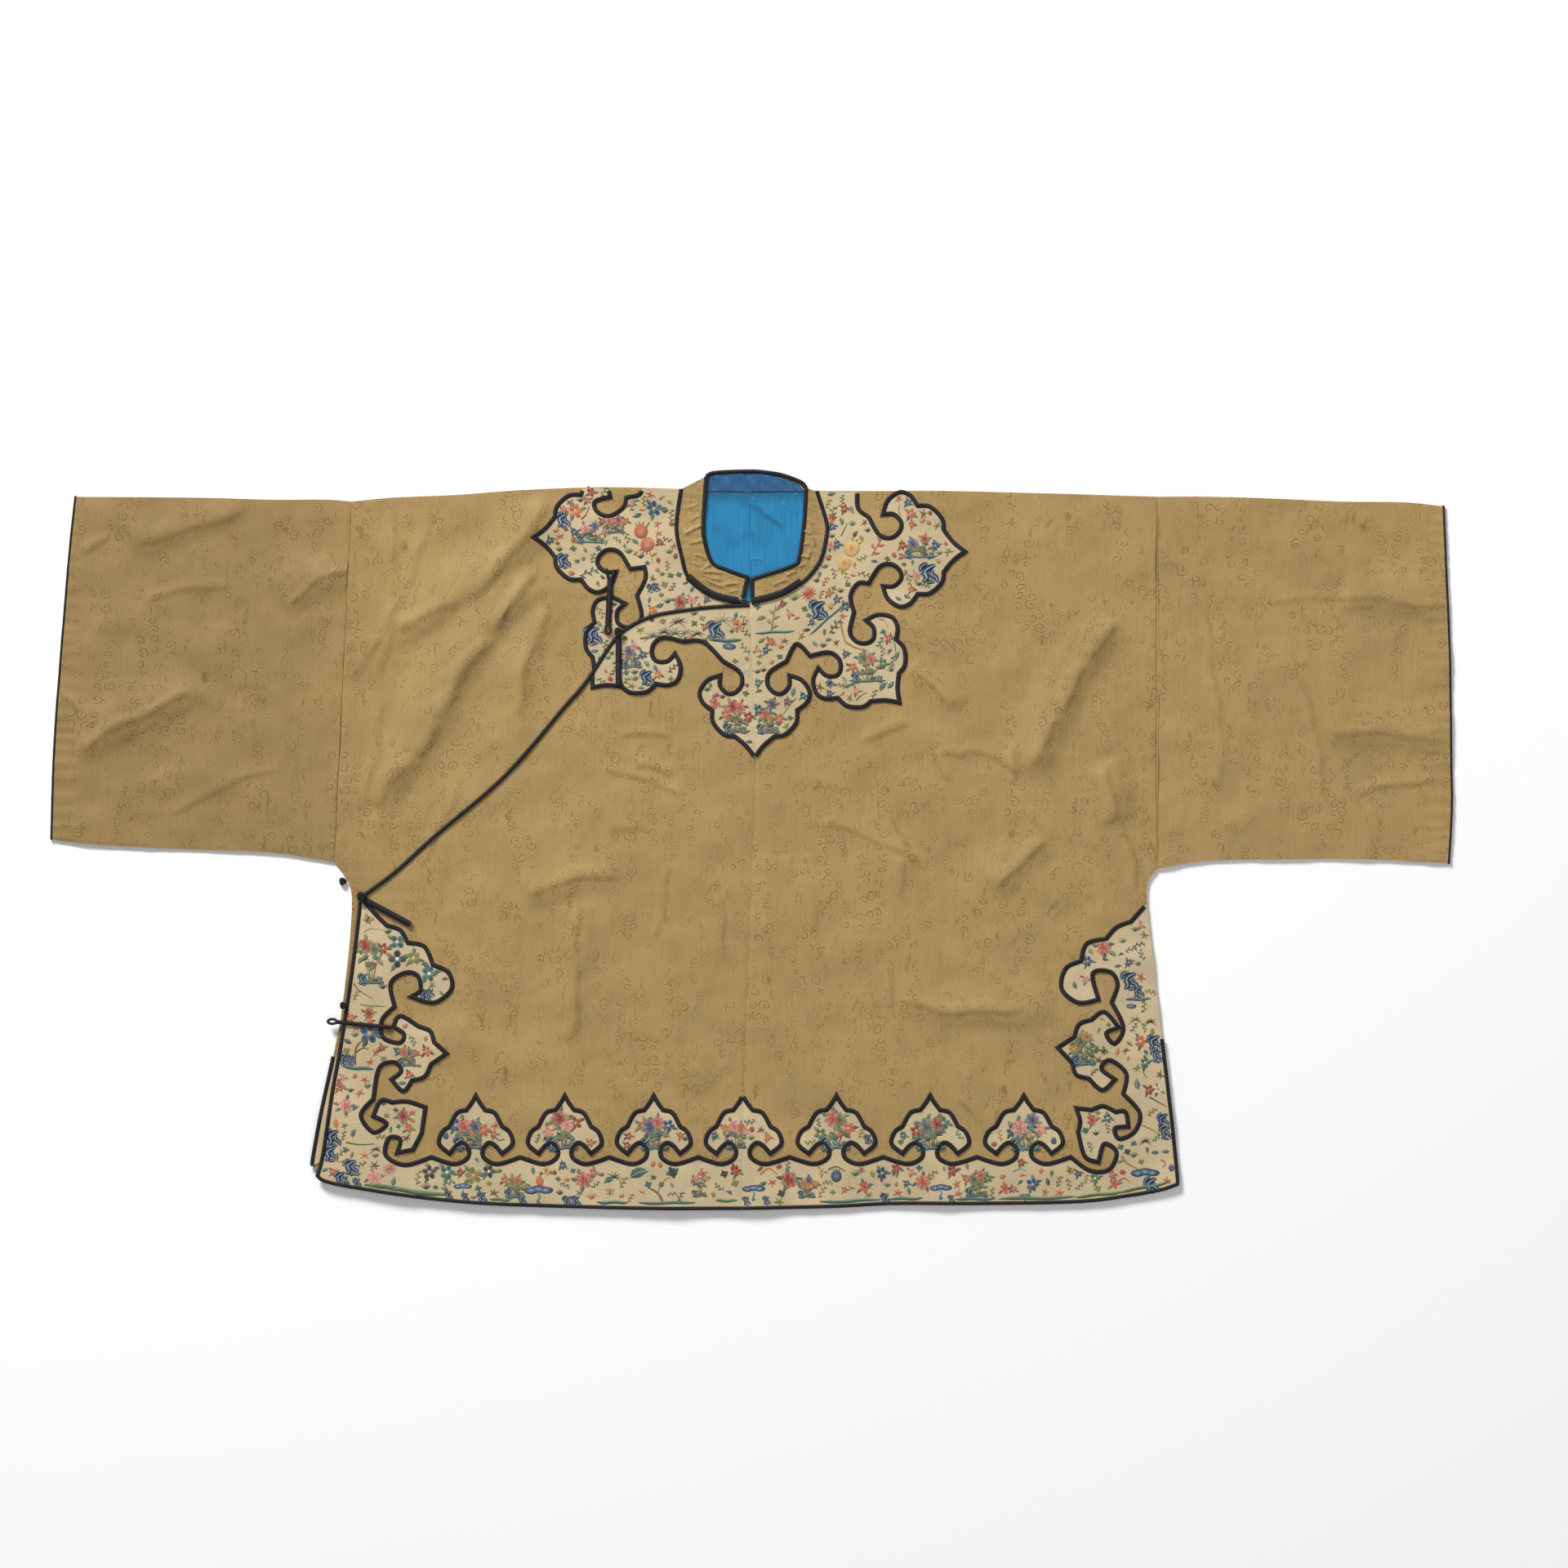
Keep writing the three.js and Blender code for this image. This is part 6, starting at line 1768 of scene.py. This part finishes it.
    def blades(self, x, y, size, turn, silk, count, fan, width, droop=0.0):
        """A fan of narrow blades."""
        for k in range(count):
            way = math.radians(turn + fan * (k / max(count - 1, 1) - 0.5))
            reach = size * self.random.uniform(0.8, 1.05)
            share = np.linspace(0, 1, 5)
            path = np.column_stack([x + reach * share * math.cos(way),
                                    y + reach * share * math.sin(way) - droop * size * share**2])
            self.band(path, width * np.array([0.5, 1, 0.9, 0.6, 0.1]), dyed(silk, 0.8), dyed(silk, 1.3),
                      STITCH_HIGH * 0.9)

    def grass(self, x, y, size, turn, silk):
        """A tuft of grass."""
        self.blades(x, y, size, turn, silk, 9, 110, 0.32)

    def spray(self, x, y, size, turn, silk):
        """A thin spray."""
        self.blades(x, y - size * 0.2, size * 0.75, turn, silk, 8, 210, 0.5, 0.35)

    def maple(self, x, y, size, turn, silk):
        """A leaf of broad blades."""
        self.blades(x, y, size * 0.55, turn, silk, 5, 240, size * 0.09)

    def bush(self, x, y, size, turn, silk):
        """A bush of small pads."""
        for k in range(9):
            way = math.radians(turn + 40 * k)
            out = size * (0.3 if k % 2 else 0.16)
            self.pad(x + out * math.cos(way), y + out * math.sin(way) * 0.8, size * 0.15, size * 0.11,
                     turn + 40 * k, (dyed(silk, 0.7), dyed(silk, 1.0), dyed(silk, 1.5)), STITCH_HIGH, 8)

    def sprig(self, x, y, size, turn, silk):
        """A stem with leaves on both sides."""
        way = math.radians(turn)
        cos, sin = math.cos(way), math.sin(way)
        self.band([(x + size * s * cos, y + size * s * sin) for s in (-0.5, -0.15, 0.2, 0.5)], size * 0.02,
                  dyed("brown"), dyed(silk))
        for k in range(5):
            s, side_way = -0.32 + 0.18 * k, 1 if k % 2 else -1
            self.leaf(x + size * (s * cos - side_way * 0.13 * sin),
                      y + size * (s * sin + side_way * 0.13 * cos), size * 0.26, turn + side_way * 48, silk)

    def butterfly(self, x, y, size, turn, silk, heart="yellow"):
        """A butterfly."""
        for side_way in (-1, 1):
            for reach, big, lean in ((0.27, 0.26, 50), (0.22, 0.18, 118)):
                way = turn + side_way * lean
                cos, sin = way_of(way)
                self.pad(x + size * reach * cos, y + size * reach * sin, size * big, size * big * 0.62, way,
                         (dyed(silk, 0.8), dyed(silk, 1.2), dyed(heart, 1.2)), STITCH_HIGH, 10)
        cos, sin = way_of(turn)
        self.band([(x + size * s * cos, y + size * s * sin) for s in (-0.3, 0, 0.3)], size * 0.05,
                  dyed("brown"), dyed("dark"), STITCH_HIGH * 1.4)

    def posy(self, x, y, wide, high, seed, first, second):
        """A flowering plant rising from a rock, with leaves, blossoms and buds about a middle stem."""
        draw = np.random.default_rng(seed)
        low = y - high * 0.46
        big = min(wide, high)
        self.rock(x - wide * 0.24, low + big * 0.12, big * 0.3, 0, "blue")
        self.rock(x + wide * 0.3, low + big * 0.06, big * 0.18, 0, "blue")
        self.ground(x - wide * 0.42, low - big * 0.02, x + wide * 0.42, low, big * 0.09, "teal")
        tips = []
        for k in range(4):
            lean = (k - 1.5) / 1.5 + draw.uniform(-0.15, 0.15)
            tip = (x + lean * wide * 0.38, y + high * draw.uniform(0.12, 0.42) - abs(lean) * high * 0.2)
            self.stem("brown" if k % 2 else "olive", big * 0.045, x + lean * wide * 0.06, low,
                      x + lean * wide * 0.16, (low + tip[1]) / 2, *tip)
            tips.append(tip)
            for side_way in (-1, 1):
                at = draw.uniform(0.35, 0.75)
                self.leaf(x + lean * wide * 0.3 * at + side_way * big * 0.11, low + (tip[1] - low) * at,
                          big * 0.3, 90 + side_way * draw.uniform(35, 85), LEAF_SILKS[(k + seed) % 4])
        for k, tip in enumerate(tips):
            silk = first if k % 2 else second
            if k in (1, 2):
                self.peony(*tip, big * (0.44 if k == 1 else 0.36), seed * 20, silk)
            else:
                self.flower(*tip, big * 0.34, seed * 31, silk)
        self.ball(x + wide * 0.1, y - high * 0.12, big * 0.16, 90, first)
        self.bush(x + wide * 0.28, low + big * 0.12, big * 0.24, 0, "olive")
        self.grass(x + wide * 0.12, low, big * 0.22, 90, "dark")
        self.leaf(x - wide * 0.1, y - high * 0.1, big * 0.2, 140, "dark")

    def fill(self, ring, taken):
        """Small motifs in the places that are still free."""
        taken = [np.array(spot) for spot in taken]
        for spot in self.random.uniform(ring.min(0), ring.max(0), (FILL_TRIES, 2)):
            if depth_in(spot, ring) < FILL_FROM_EDGE:
                continue
            spots = np.array(taken)
            if (np.hypot(*(spots[:, :2] - spot).T) - spots[:, 2]).min() < FILL_FREE:
                continue
            kind, size, silks = FILLERS[self.random.integers(len(FILLERS))]
            size *= self.random.uniform(0.85, 1.15)
            getattr(self, kind)(*spot, size, self.random.uniform(0, 360) if kind != "grass" else 90,
                                silks[self.random.integers(len(silks))])
            taken.append(np.array([*spot, size * 0.4]))

    def part(self, layer):
        """What was stitched, lying on a layer."""
        spots, lifts = np.vstack(self.spots), np.concatenate(self.lifts)
        heights = layer(spots[:, 0], spots[:, 1]) + APPLIQUE_TOP + lifts
        faces = np.vstack(self.faces)
        tints = np.clip(np.vstack(self.tints), 0, 1)
        return np.column_stack([spots, heights]), faces, np.vstack(self.tracks), tints


# Each motif is its name, place, size, turn and silk. A ground has two ends and a thickness, a stem is a
# silk, a thickness and points, and a posy is its place, width, height, seed and two silks.
SHOULDER_WORK = """
flower 724 603 11 0 red coral, rock 690 636 15 0 blue, flower 705 626 17 10 coral,
stem brown 1.2 712 636 718 630 722 620, posy 723 651 46 28 3 pink blue, rock 691 686 14 0 blue,
sprig 721 701 24 20 teal, flower 801 623 18 20 blue yellow, leaf 780 631 12 200 teal,
ball 785 651 19 100 coral pink, ball 793 667 19 240 coral pink, stem brown 1 795 640 790 655 800 690,
bush 814 716 12 0 olive, rock 804 719 8 0 blue, rock 797 720 8 0 teal, peony 833 737 15 0 red,
peony 847 735 11 0 pink coral, leaf 807 741 12 200 teal, flower 799 747 10 0 orange,
flower 758 764 10 0 coral, rock 725 776 17 0 blue, pool 726 801 9 0 blue, sprig 741 790 14 80 dark,
posy 752 640 34 26 11 coral red, sprig 757 613 18 60 green, flower 770 607 9 0 pink, bush 741 664 10 0 sage,
butterfly 703 662 12 60 ochre red, sprig 728 745 16 300 olive
"""
OVERLAP_CLOUD_WORK = """
spray 799 776 17 90 teal, spray 813 775 15 90 dark, spray 826 778 17 90 teal, spray 829 756 17 90 dark,
spray 841 773 16 90 teal, spray 854 774 14 90 dark, stem brown 1.2 784 782 796 781 807 779,
stem brown 1.2 827 764 832 761 837 759, bush 812 761 10 0 olive, spray 884 756 24 90 sage,
rock 877 771 17 0 blue, ground 868 784 908 785 5 teal, pool 893 792 17 355 blue,
posy 774 803 32 30 6 blue pink, rock 793 829 15 0 blue, flower 806 826 10 0 orange,
sprig 826 818 16 40 dark, flower 874 862 13 0 coral red, posy 901 877 36 42 14 red coral,
mum 917 830 15 0 cream pink, ground 888 896 919 896 4 brown, pool 917 909 8 0 navy, bush 860 757 10 0 sage,
flower 903 765 13 15 orange blue, sprig 860 795 20 10 green, flower 845 800 9 0 pink
"""
LEFT_CLOUD_WORK = """
sprig 1012 617 13 60 ochre, flower 1034 623 10 0 red, ball 1020 634 8 90 red,
stem brown 1.2 1030 656 1034 648 1037 641, ball 1043 672 22 60 yellow coral,
ball 1034 690 19 250 yellow coral, flower 1025 667 10 0 blue, sprig 1075 667 32 60 coral,
posy 1126 668 52 30 2 blue red, stem coral 1.2 1098 632 1100 624 1102 618, flower 1115 629 12 0 coral,
rock 1138 701 19 0 blue, peony 1122 705 10 0 pink, sprig 1010 712 13 60 coral, rock 1003 746 18 0 blue,
ground 991 778 1036 738 3 teal, sprig 1022 767 22 50 dark, stem ochre 1.6 1029 762 1032 776 1035 786,
stem ochre 1.6 1035 786 1047 793 1062 797, mum 990 727 20 0 coral red, flower 1015 727 9 0 coral,
grass 972 736 15 90 green, stem coral 1.1 1076 758 1083 760 1087 768, flower 1088 782 10 0 coral,
stem teal 0.9 1090 775 1096 786 1097 800, leaf 1099 803 11 70 teal, posy 1062 818 54 34 9 green coral,
butterfly 1018 830 15 40 blue yellow, sprig 1034 832 9 300 dark, stem brown 0.9 1048 858 1054 852 1062 848,
leaf 1082 841 14 50 teal, leaf 1090 838 12 50 teal, leaf 971 847 12 80 teal,
flower 964 859 9 0 purple ochre, stem olive 0.9 975 855 968 862 955 880, posy 941 877 34 42 5 coral blue,
ground 925 896 950 895 4 brown, flower 944 786 10 0 coral, flower 938 796 9 0 blue,
flower 925 836 9 0 teal cream, ground 922 775 973 773 3.4 teal, sprig 947 757 32 80 sage,
leaf 932 758 12 200 olive, sprig 985 640 20 80 green, flower 978 660 10 20 pink red,
flower 1000 640 9 0 orange, sprig 1070 712 18 340 olive, flower 1062 735 11 0 blue yellow
"""
OVERLAP_BORDER_WORK = """
butterfly 451 1126 15 60 olive ochre, stem grey 0.7 446 1141 455 1137 470 1139,
posy 455 1174 38 62 7 red green, flower 487 1153 17 45 teal cream 4, flower 487 1174 20 0 dark cream 4,
flower 507 1173 16 45 olive cream 4, flower 526 1192 18 0 teal cream, rock 517 1221 12 0 blue,
rock 528 1215 8 0 blue, stem brown 1 429 1199 440 1212 457 1223, sprig 434 1217 14 60 ochre,
ground 441 1230 472 1232 2.4 sage, peony 452 1240 12 0 red, flower 430 1246 10 0 coral,
flower 453 1265 23 10 blue yellow, stem brown 1.8 435 1300 437 1282 446 1272,
stem brown 1.1 437 1288 444 1283 452 1284, leaf 426 1274 11 150 dark, bush 424 1286 12 0 olive,
rock 421 1296 10 0 blue, rock 431 1297 10 0 blue, ground 416 1305 460 1310 5 teal,
posy 499 1292 28 26 8 coral teal, flower 523 1287 12 0 coral, pool 493 1326 9 0 blue,
flower 417 1330 12 0 coral red, peony 424 1353 17 0 pink, leaf 412 1376 13 280 orange,
rock 402 1393 16 0 navy, rock 402 1410 15 0 blue, stem orange 1.4 407 1417 415 1422 424 1419,
rock 431 1428 15 0 blue, rock 418 1441 13 0 blue, rock 424 1449 9 0 navy, rock 438 1447 9 0 blue,
leaf 434 1387 11 70 teal, stem green 1.2 424 1398 440 1401 459 1400, spray 461 1405 12 90 dark,
maple 447 1415 12 90 orange, peony 494 1366 14 0 red, flower 501 1381 11 0 coral
"""
OVERLAP_HEM_WORK = """
mum 478 1429 17 0 pink red, peony 459 1441 16 0 pink coral, sprig 512 1441 18 80 olive,
flower 526 1435 17 20 dark pink, flower 548 1435 17 0 teal cream, flower 580 1439 20 30 olive pink,
flower 599 1434 15 0 dark cream, leaf 483 1446 12 80 teal, ground 447 1454 548 1467 6 green,
ground 470 1461 530 1469 4 teal, grass 522 1456 10 90 dark, cap 567 1453 23 0 blue, rock 550 1465 9 0 blue,
rock 569 1468 8 0 navy, pool 580 1466 8 0 brown, rock 591 1466 11 0 blue, maple 605 1461 14 80 brown,
ground 598 1471 626 1471 4 green, posy 631 1450 30 32 12 olive coral, flower 669 1432 12 0 yellow teal,
ball 661 1446 11 100 coral, cap 660 1458 36 0 blue, peony 715 1444 19 0 coral red,
flower 727 1435 10 0 coral, rock 695 1470 10 0 blue, rock 706 1470 10 0 navy, spray 752 1438 17 90 dark,
leaf 745 1446 12 200 teal, sprig 763 1447 16 60 olive, grass 724 1468 10 90 orange,
butterfly 747 1459 13 90 yellow brown, ground 731 1472 769 1472 4 teal, sprig 772 1466 12 60 coral,
leaf 783 1437 24 20 teal, stem brown 2.4 811 1470 806 1461 793 1453,
stem ochre 1.3 806 1458 812 1447 822 1440, bush 794 1450 12 0 teal, bush 810 1450 10 0 teal,
bush 824 1435 20 0 dark, ground 782 1473 852 1472 4 teal, sprig 833 1464 13 60 dark,
posy 857 1447 22 36 4 pink coral, bush 887 1437 13 0 dark, flower 901 1433 13 0 red coral,
bush 904 1449 13 0 olive, ground 876 1470 905 1470 4 green, rock 640 1468 9 0 blue
"""
LEFT_HEM_WORK = """
stem orange 2 931 1438 941 1430 952 1438, leaf 933 1449 12 200 teal, cap 923 1456 29 0 blue,
rock 911 1470 8 0 navy, rock 939 1469 8 0 blue, peony 966 1444 19 0 red, bush 957 1461 13 0 dark,
posy 988 1451 26 30 13 orange blue, flower 1006 1434 9 0 yellow purple, ball 1024 1440 15 90 blue coral,
stem brown 1.3 1014 1432 1024 1428 1035 1434, grass 1047 1440 11 90 teal, sprig 1006 1459 16 60 coral,
flower 1058 1453 14 0 coral red, flower 1080 1436 14 10 blue yellow, ground 1003 1472 1080 1471 4 teal,
rock 1084 1470 10 0 blue, flower 1098 1428 12 0 red coral, leaf 1098 1437 12 270 olive,
peony 1130 1447 17 0 coral red, cap 1152 1455 28 0 blue, rock 1165 1467 7 0 navy,
flower 1166 1431 13 0 red coral, maple 1099 1461 12 80 coral, maple 1173 1462 12 80 coral,
ground 1088 1468 1130 1467 4 teal, ground 1169 1470 1219 1468 4 teal, ground 1222 1469 1316 1468 4.5 green,
posy 1196 1449 34 32 15 green coral, flower 1230 1455 12 0 coral red, flower 1264 1450 15 0 blue yellow,
cap 1254 1469 14 0 blue, sprig 1296 1446 15 70 brown, maple 1297 1461 12 80 coral,
butterfly 1310 1433 13 70 ochre brown, stem grey 0.7 1240 1434 1249 1431 1258 1434
"""
OVERLAP_LAPPET_WORK = """
posy 574 1383 44 46 21 coral blue, ball 541 1389 8 90 blue, flower 605 1388 9 0 coral,
stem brown 1 606 1392 612 1396 618 1394, posy 689 1384 44 46 22 red pink, flower 723 1399 10 0 coral,
posy 802 1384 42 46 23 blue coral, flower 770 1391 9 0 red, posy 906 1384 32 46 24 pink orange,
flower 875 1390 9 0 blue
"""
LEFT_LAPPET_WORK = """
flower 940 1392 9 0 orange, posy 1023 1384 44 46 25 coral green, sprig 1002 1375 12 100 dark,
sprig 1055 1385 13 60 olive, rock 1063 1394 9 0 blue, posy 1139 1384 44 46 26 teal red,
flower 1106 1390 9 0 teal, posy 1256 1385 44 46 27 pink blue, sprig 1224 1390 14 100 pink,
ball 1290 1397 8 90 blue
"""
LEFT_BORDER_WORK = """
peony 1350 1157 17 0 coral red, leaf 1362 1168 11 320 green, flower 1328 1176 12 0 blue yellow,
rock 1384 1200 17 0 blue, rock 1394 1213 12 0 navy, ground 1378 1224 1409 1223 4 teal,
pool 1385 1232 13 0 blue, spray 1390 1246 14 90 olive, spray 1408 1249 12 90 dark,
posy 1327 1284 36 40 17 green ochre, butterfly 1351 1287 12 40 brown ochre, rock 1414 1275 15 0 blue,
rock 1421 1291 12 0 blue, flower 1396 1275 14 0 coral cream, leaf 1368 1287 11 80 orange,
flower 1402 1301 12 0 teal cream, stem brown 1 1402 1307 1400 1313 1404 1320, leaf 1393 1327 14 100 teal,
flower 1407 1334 12 0 red coral, flower 1418 1334 11 0 cream coral,
stem brown 1.2 1407 1343 1416 1348 1428 1355, sprig 1410 1361 14 40 olive, rock 1424 1370 13 0 blue,
rock 1428 1386 13 0 navy, stem olive 1 1396 1377 1410 1383 1424 1391, spray 1402 1395 13 90 dark,
pool 1414 1411 9 0 blue, pool 1427 1410 9 0 teal, bush 1371 1405 11 0 teal, bush 1380 1410 11 0 dark,
stem ochre 2 1373 1415 1380 1424 1393 1431, bush 1397 1422 10 0 olive,
stem coral 1.4 1421 1420 1427 1424 1423 1430, ball 1435 1430 8 90 blue, cap 1402 1437 36 0 blue,
rock 1410 1451 15 0 blue, maple 1431 1450 12 90 coral, ground 1317 1467 1378 1463 4 green,
ground 1372 1464 1438 1456 4 green, flower 1364 1449 12 0 coral red,
stem coral 1.4 1369 1446 1376 1442 1383 1447, flower 1341 1441 12 0 green cream, bush 1344 1455 12 0 olive,
flower 1360 1436 9 0 coral, flower 1337 1371 13 0 coral red, flower 1356 1369 11 0 teal cream,
bush 1329 1384 12 0 teal, sprig 1339 1312 12 40 dark
"""
FILL_TRIES = 2600
FILL_FROM_EDGE = 5
FILL_FREE = 4.2
FILLERS = (
    ("leaf", 8, LEAF_SILKS),
    ("leaf", 7, ("olive", "orange", "teal", "brown")),
    ("sprig", 12, ("teal", "olive", "green")),
    ("flower", 7, ("coral", "red", "blue", "pink")),
    ("ball", 5, ("coral", "red", "ochre")),
    ("bush", 8, ("olive", "teal", "green")),
    ("maple", 10, ("coral", "brown", "olive")),
    ("grass", 6, ("dark", "green")),
)
NEEDLEWORK = (
    ("embroidery_shoulder", "cloud_shoulder", under_front, 1, (SHOULDER_WORK,)),
    ("embroidery_cloud_overlap", "cloud_overlap", overlap_front, 2, (OVERLAP_CLOUD_WORK,)),
    ("embroidery_cloud_left", "cloud_left", left_front, 3, (LEFT_CLOUD_WORK,)),
    ("embroidery_border_overlap", "border_overlap", overlap_front, 4,
     (OVERLAP_BORDER_WORK, OVERLAP_HEM_WORK, OVERLAP_LAPPET_WORK)),
    ("embroidery_border_left", "border_left", left_front, 5,
     (LEFT_HEM_WORK, LEFT_LAPPET_WORK, LEFT_BORDER_WORK)),
)


def placed(x, y):
    """A place of the drawing, in millimetres on the robe."""
    return (x - DRAWN_ORIGIN[0]) * SQUARE, (DRAWN_ORIGIN[1] - y) * SQUARE


def depth_in(spot, ring):
    """How far a place is inside an outline. Outside it is negative."""
    after = np.roll(ring, -1, axis=0)
    cross = (ring[:, 1] <= spot[1]) != (after[:, 1] <= spot[1])
    near, far = ring[cross], after[cross]
    at = near[:, 0] + (spot[1] - near[:, 1]) / (far[:, 1] - near[:, 1]) * (far[:, 0] - near[:, 0])
    distance = np.hypot(*(ring - spot).T).min()
    return distance if (at > spot[0]).sum() % 2 else -distance


def inwards(spot, ring, reach):
    """The nearest place that is about this far inside an outline."""
    spot = np.array(spot, float)
    for _ in range(8):
        depth = depth_in(spot, ring)
        if depth >= reach:
            break
        nearest = ring[np.hypot(*(ring - spot).T).argmin()]
        away = (spot - nearest) / max(abs(depth), 1e-6)
        spot += away * (reach - depth if depth > 0 else depth - reach)
    return spot


def stitched(needle, text, ring, taken):
    """Stitches each motif of a text inside an outline, and notes the places that it takes."""
    for entry in text.replace("\n", " ").split(","):
        kind, *words = entry.split()
        values = [float(w) if w[0].isdigit() else w for w in words]
        if kind == "ground":
            ends = [inwards(placed(*values[k : k + 2]), ring, 4.5) for k in (0, 2)]
            needle.ground(*ends[0], *ends[1], values[4] * SQUARE, values[5])
            taken += [(*(ends[0] + (ends[1] - ends[0]) * share), 2) for share in np.linspace(0, 1, 9)]
        elif kind == "stem":
            spots = [n for k in range(2, len(values), 2) for n in inwards(placed(*values[k : k + 2]), ring,
                                                                          3.4)]
            needle.stem(values[0], values[1] * 1.5, *spots)
            taken += [(spots[k], spots[k + 1], 1.5) for k in range(0, len(spots), 2)]
        elif kind == "posy":
            x, y = inwards(placed(*values[:2]), ring, 7)
            wide, high = values[2] * SQUARE, values[3] * SQUARE
            needle.posy(x, y, wide, high, int(values[4]), *values[5:])
            taken += [(x + wide * u, y + high * v, high * 0.3) for u,
                      v in ((0, 0), (-0.28, 0.1), (0.28, 0.1), (0, 0.28), (0, -0.28))]
        else:
            extra = [int(v) if isinstance(v, float) else v for v in values[4:]]
            size = values[2] * SQUARE
            x, y = inwards(placed(*values[:2]), ring, 2.6 + 0.4 * min(size, 14))
            getattr(needle, kind)(x, y, size, values[3], *extra)
            taken.append((x, y, size * 0.42))


class ROBE_OT_embroidery(bpy.types.Operator):
    """Stitch the flowers, leaves, rocks and butterflies on the cream pieces"""

    bl_idname = "robe.embroidery"
    bl_label = "Embroidery"

    def execute(self, context):
        for name, under, layer, seed, texts in NEEDLEWORK:
            needle, taken = Needle(seed), []
            ring = closed_ring(APPLIQUES[under][0])
            for text in texts:
                stitched(needle, text, ring, taken)
            needle.fill(ring, taken)
            made(name, needle.part(layer), finish_of("thread"), None, "cream_silk", THREAD_SHARP)
        return {"FINISHED"}


OPERATORS = (
    ROBE_OT_body, ROBE_OT_sleeves, ROBE_OT_collar, ROBE_OT_applique, ROBE_OT_embroidery,
    ROBE_OT_braid, ROBE_OT_piping, ROBE_OT_fasteners, ROBE_OT_stage,
)


class ROBE_PT_panel(bpy.types.Panel):
    """The robe's sizes, colours and pieces"""

    bl_label = "Short robe"
    bl_idname = "ROBE_PT_panel"
    bl_space_type = "VIEW_3D"
    bl_region_type = "UI"
    bl_category = "Robe"

    def draw(self, context):
        for group in (context.scene.robe_sizes, context.scene.robe_colours):
            for name in group.bl_rna.properties.keys():
                if name not in ("rna_type", "name"):
                    self.layout.prop(group, name)
        for operator in OPERATORS:
            self.layout.operator(operator.bl_idname)


CLASSES = (RobeSizes, RobeColours, *OPERATORS, ROBE_PT_panel)


def register():
    """Adds the classes and the settings."""
    for made_class in CLASSES:
        bpy.utils.register_class(made_class)
    bpy.types.Scene.robe_sizes = bpy.props.PointerProperty(type=RobeSizes)
    bpy.types.Scene.robe_colours = bpy.props.PointerProperty(type=RobeColours)


def unregister():
    """Takes the classes and the settings away."""
    del bpy.types.Scene.robe_colours
    del bpy.types.Scene.robe_sizes
    for made_class in reversed(CLASSES):
        bpy.utils.unregister_class(made_class)


def main():
    """Makes the robe."""
    register()
    for operator in OPERATORS:
        group, name = operator.bl_idname.split(".")
        getattr(getattr(bpy.ops, group), name)()


if __name__ == "__main__":
    main()
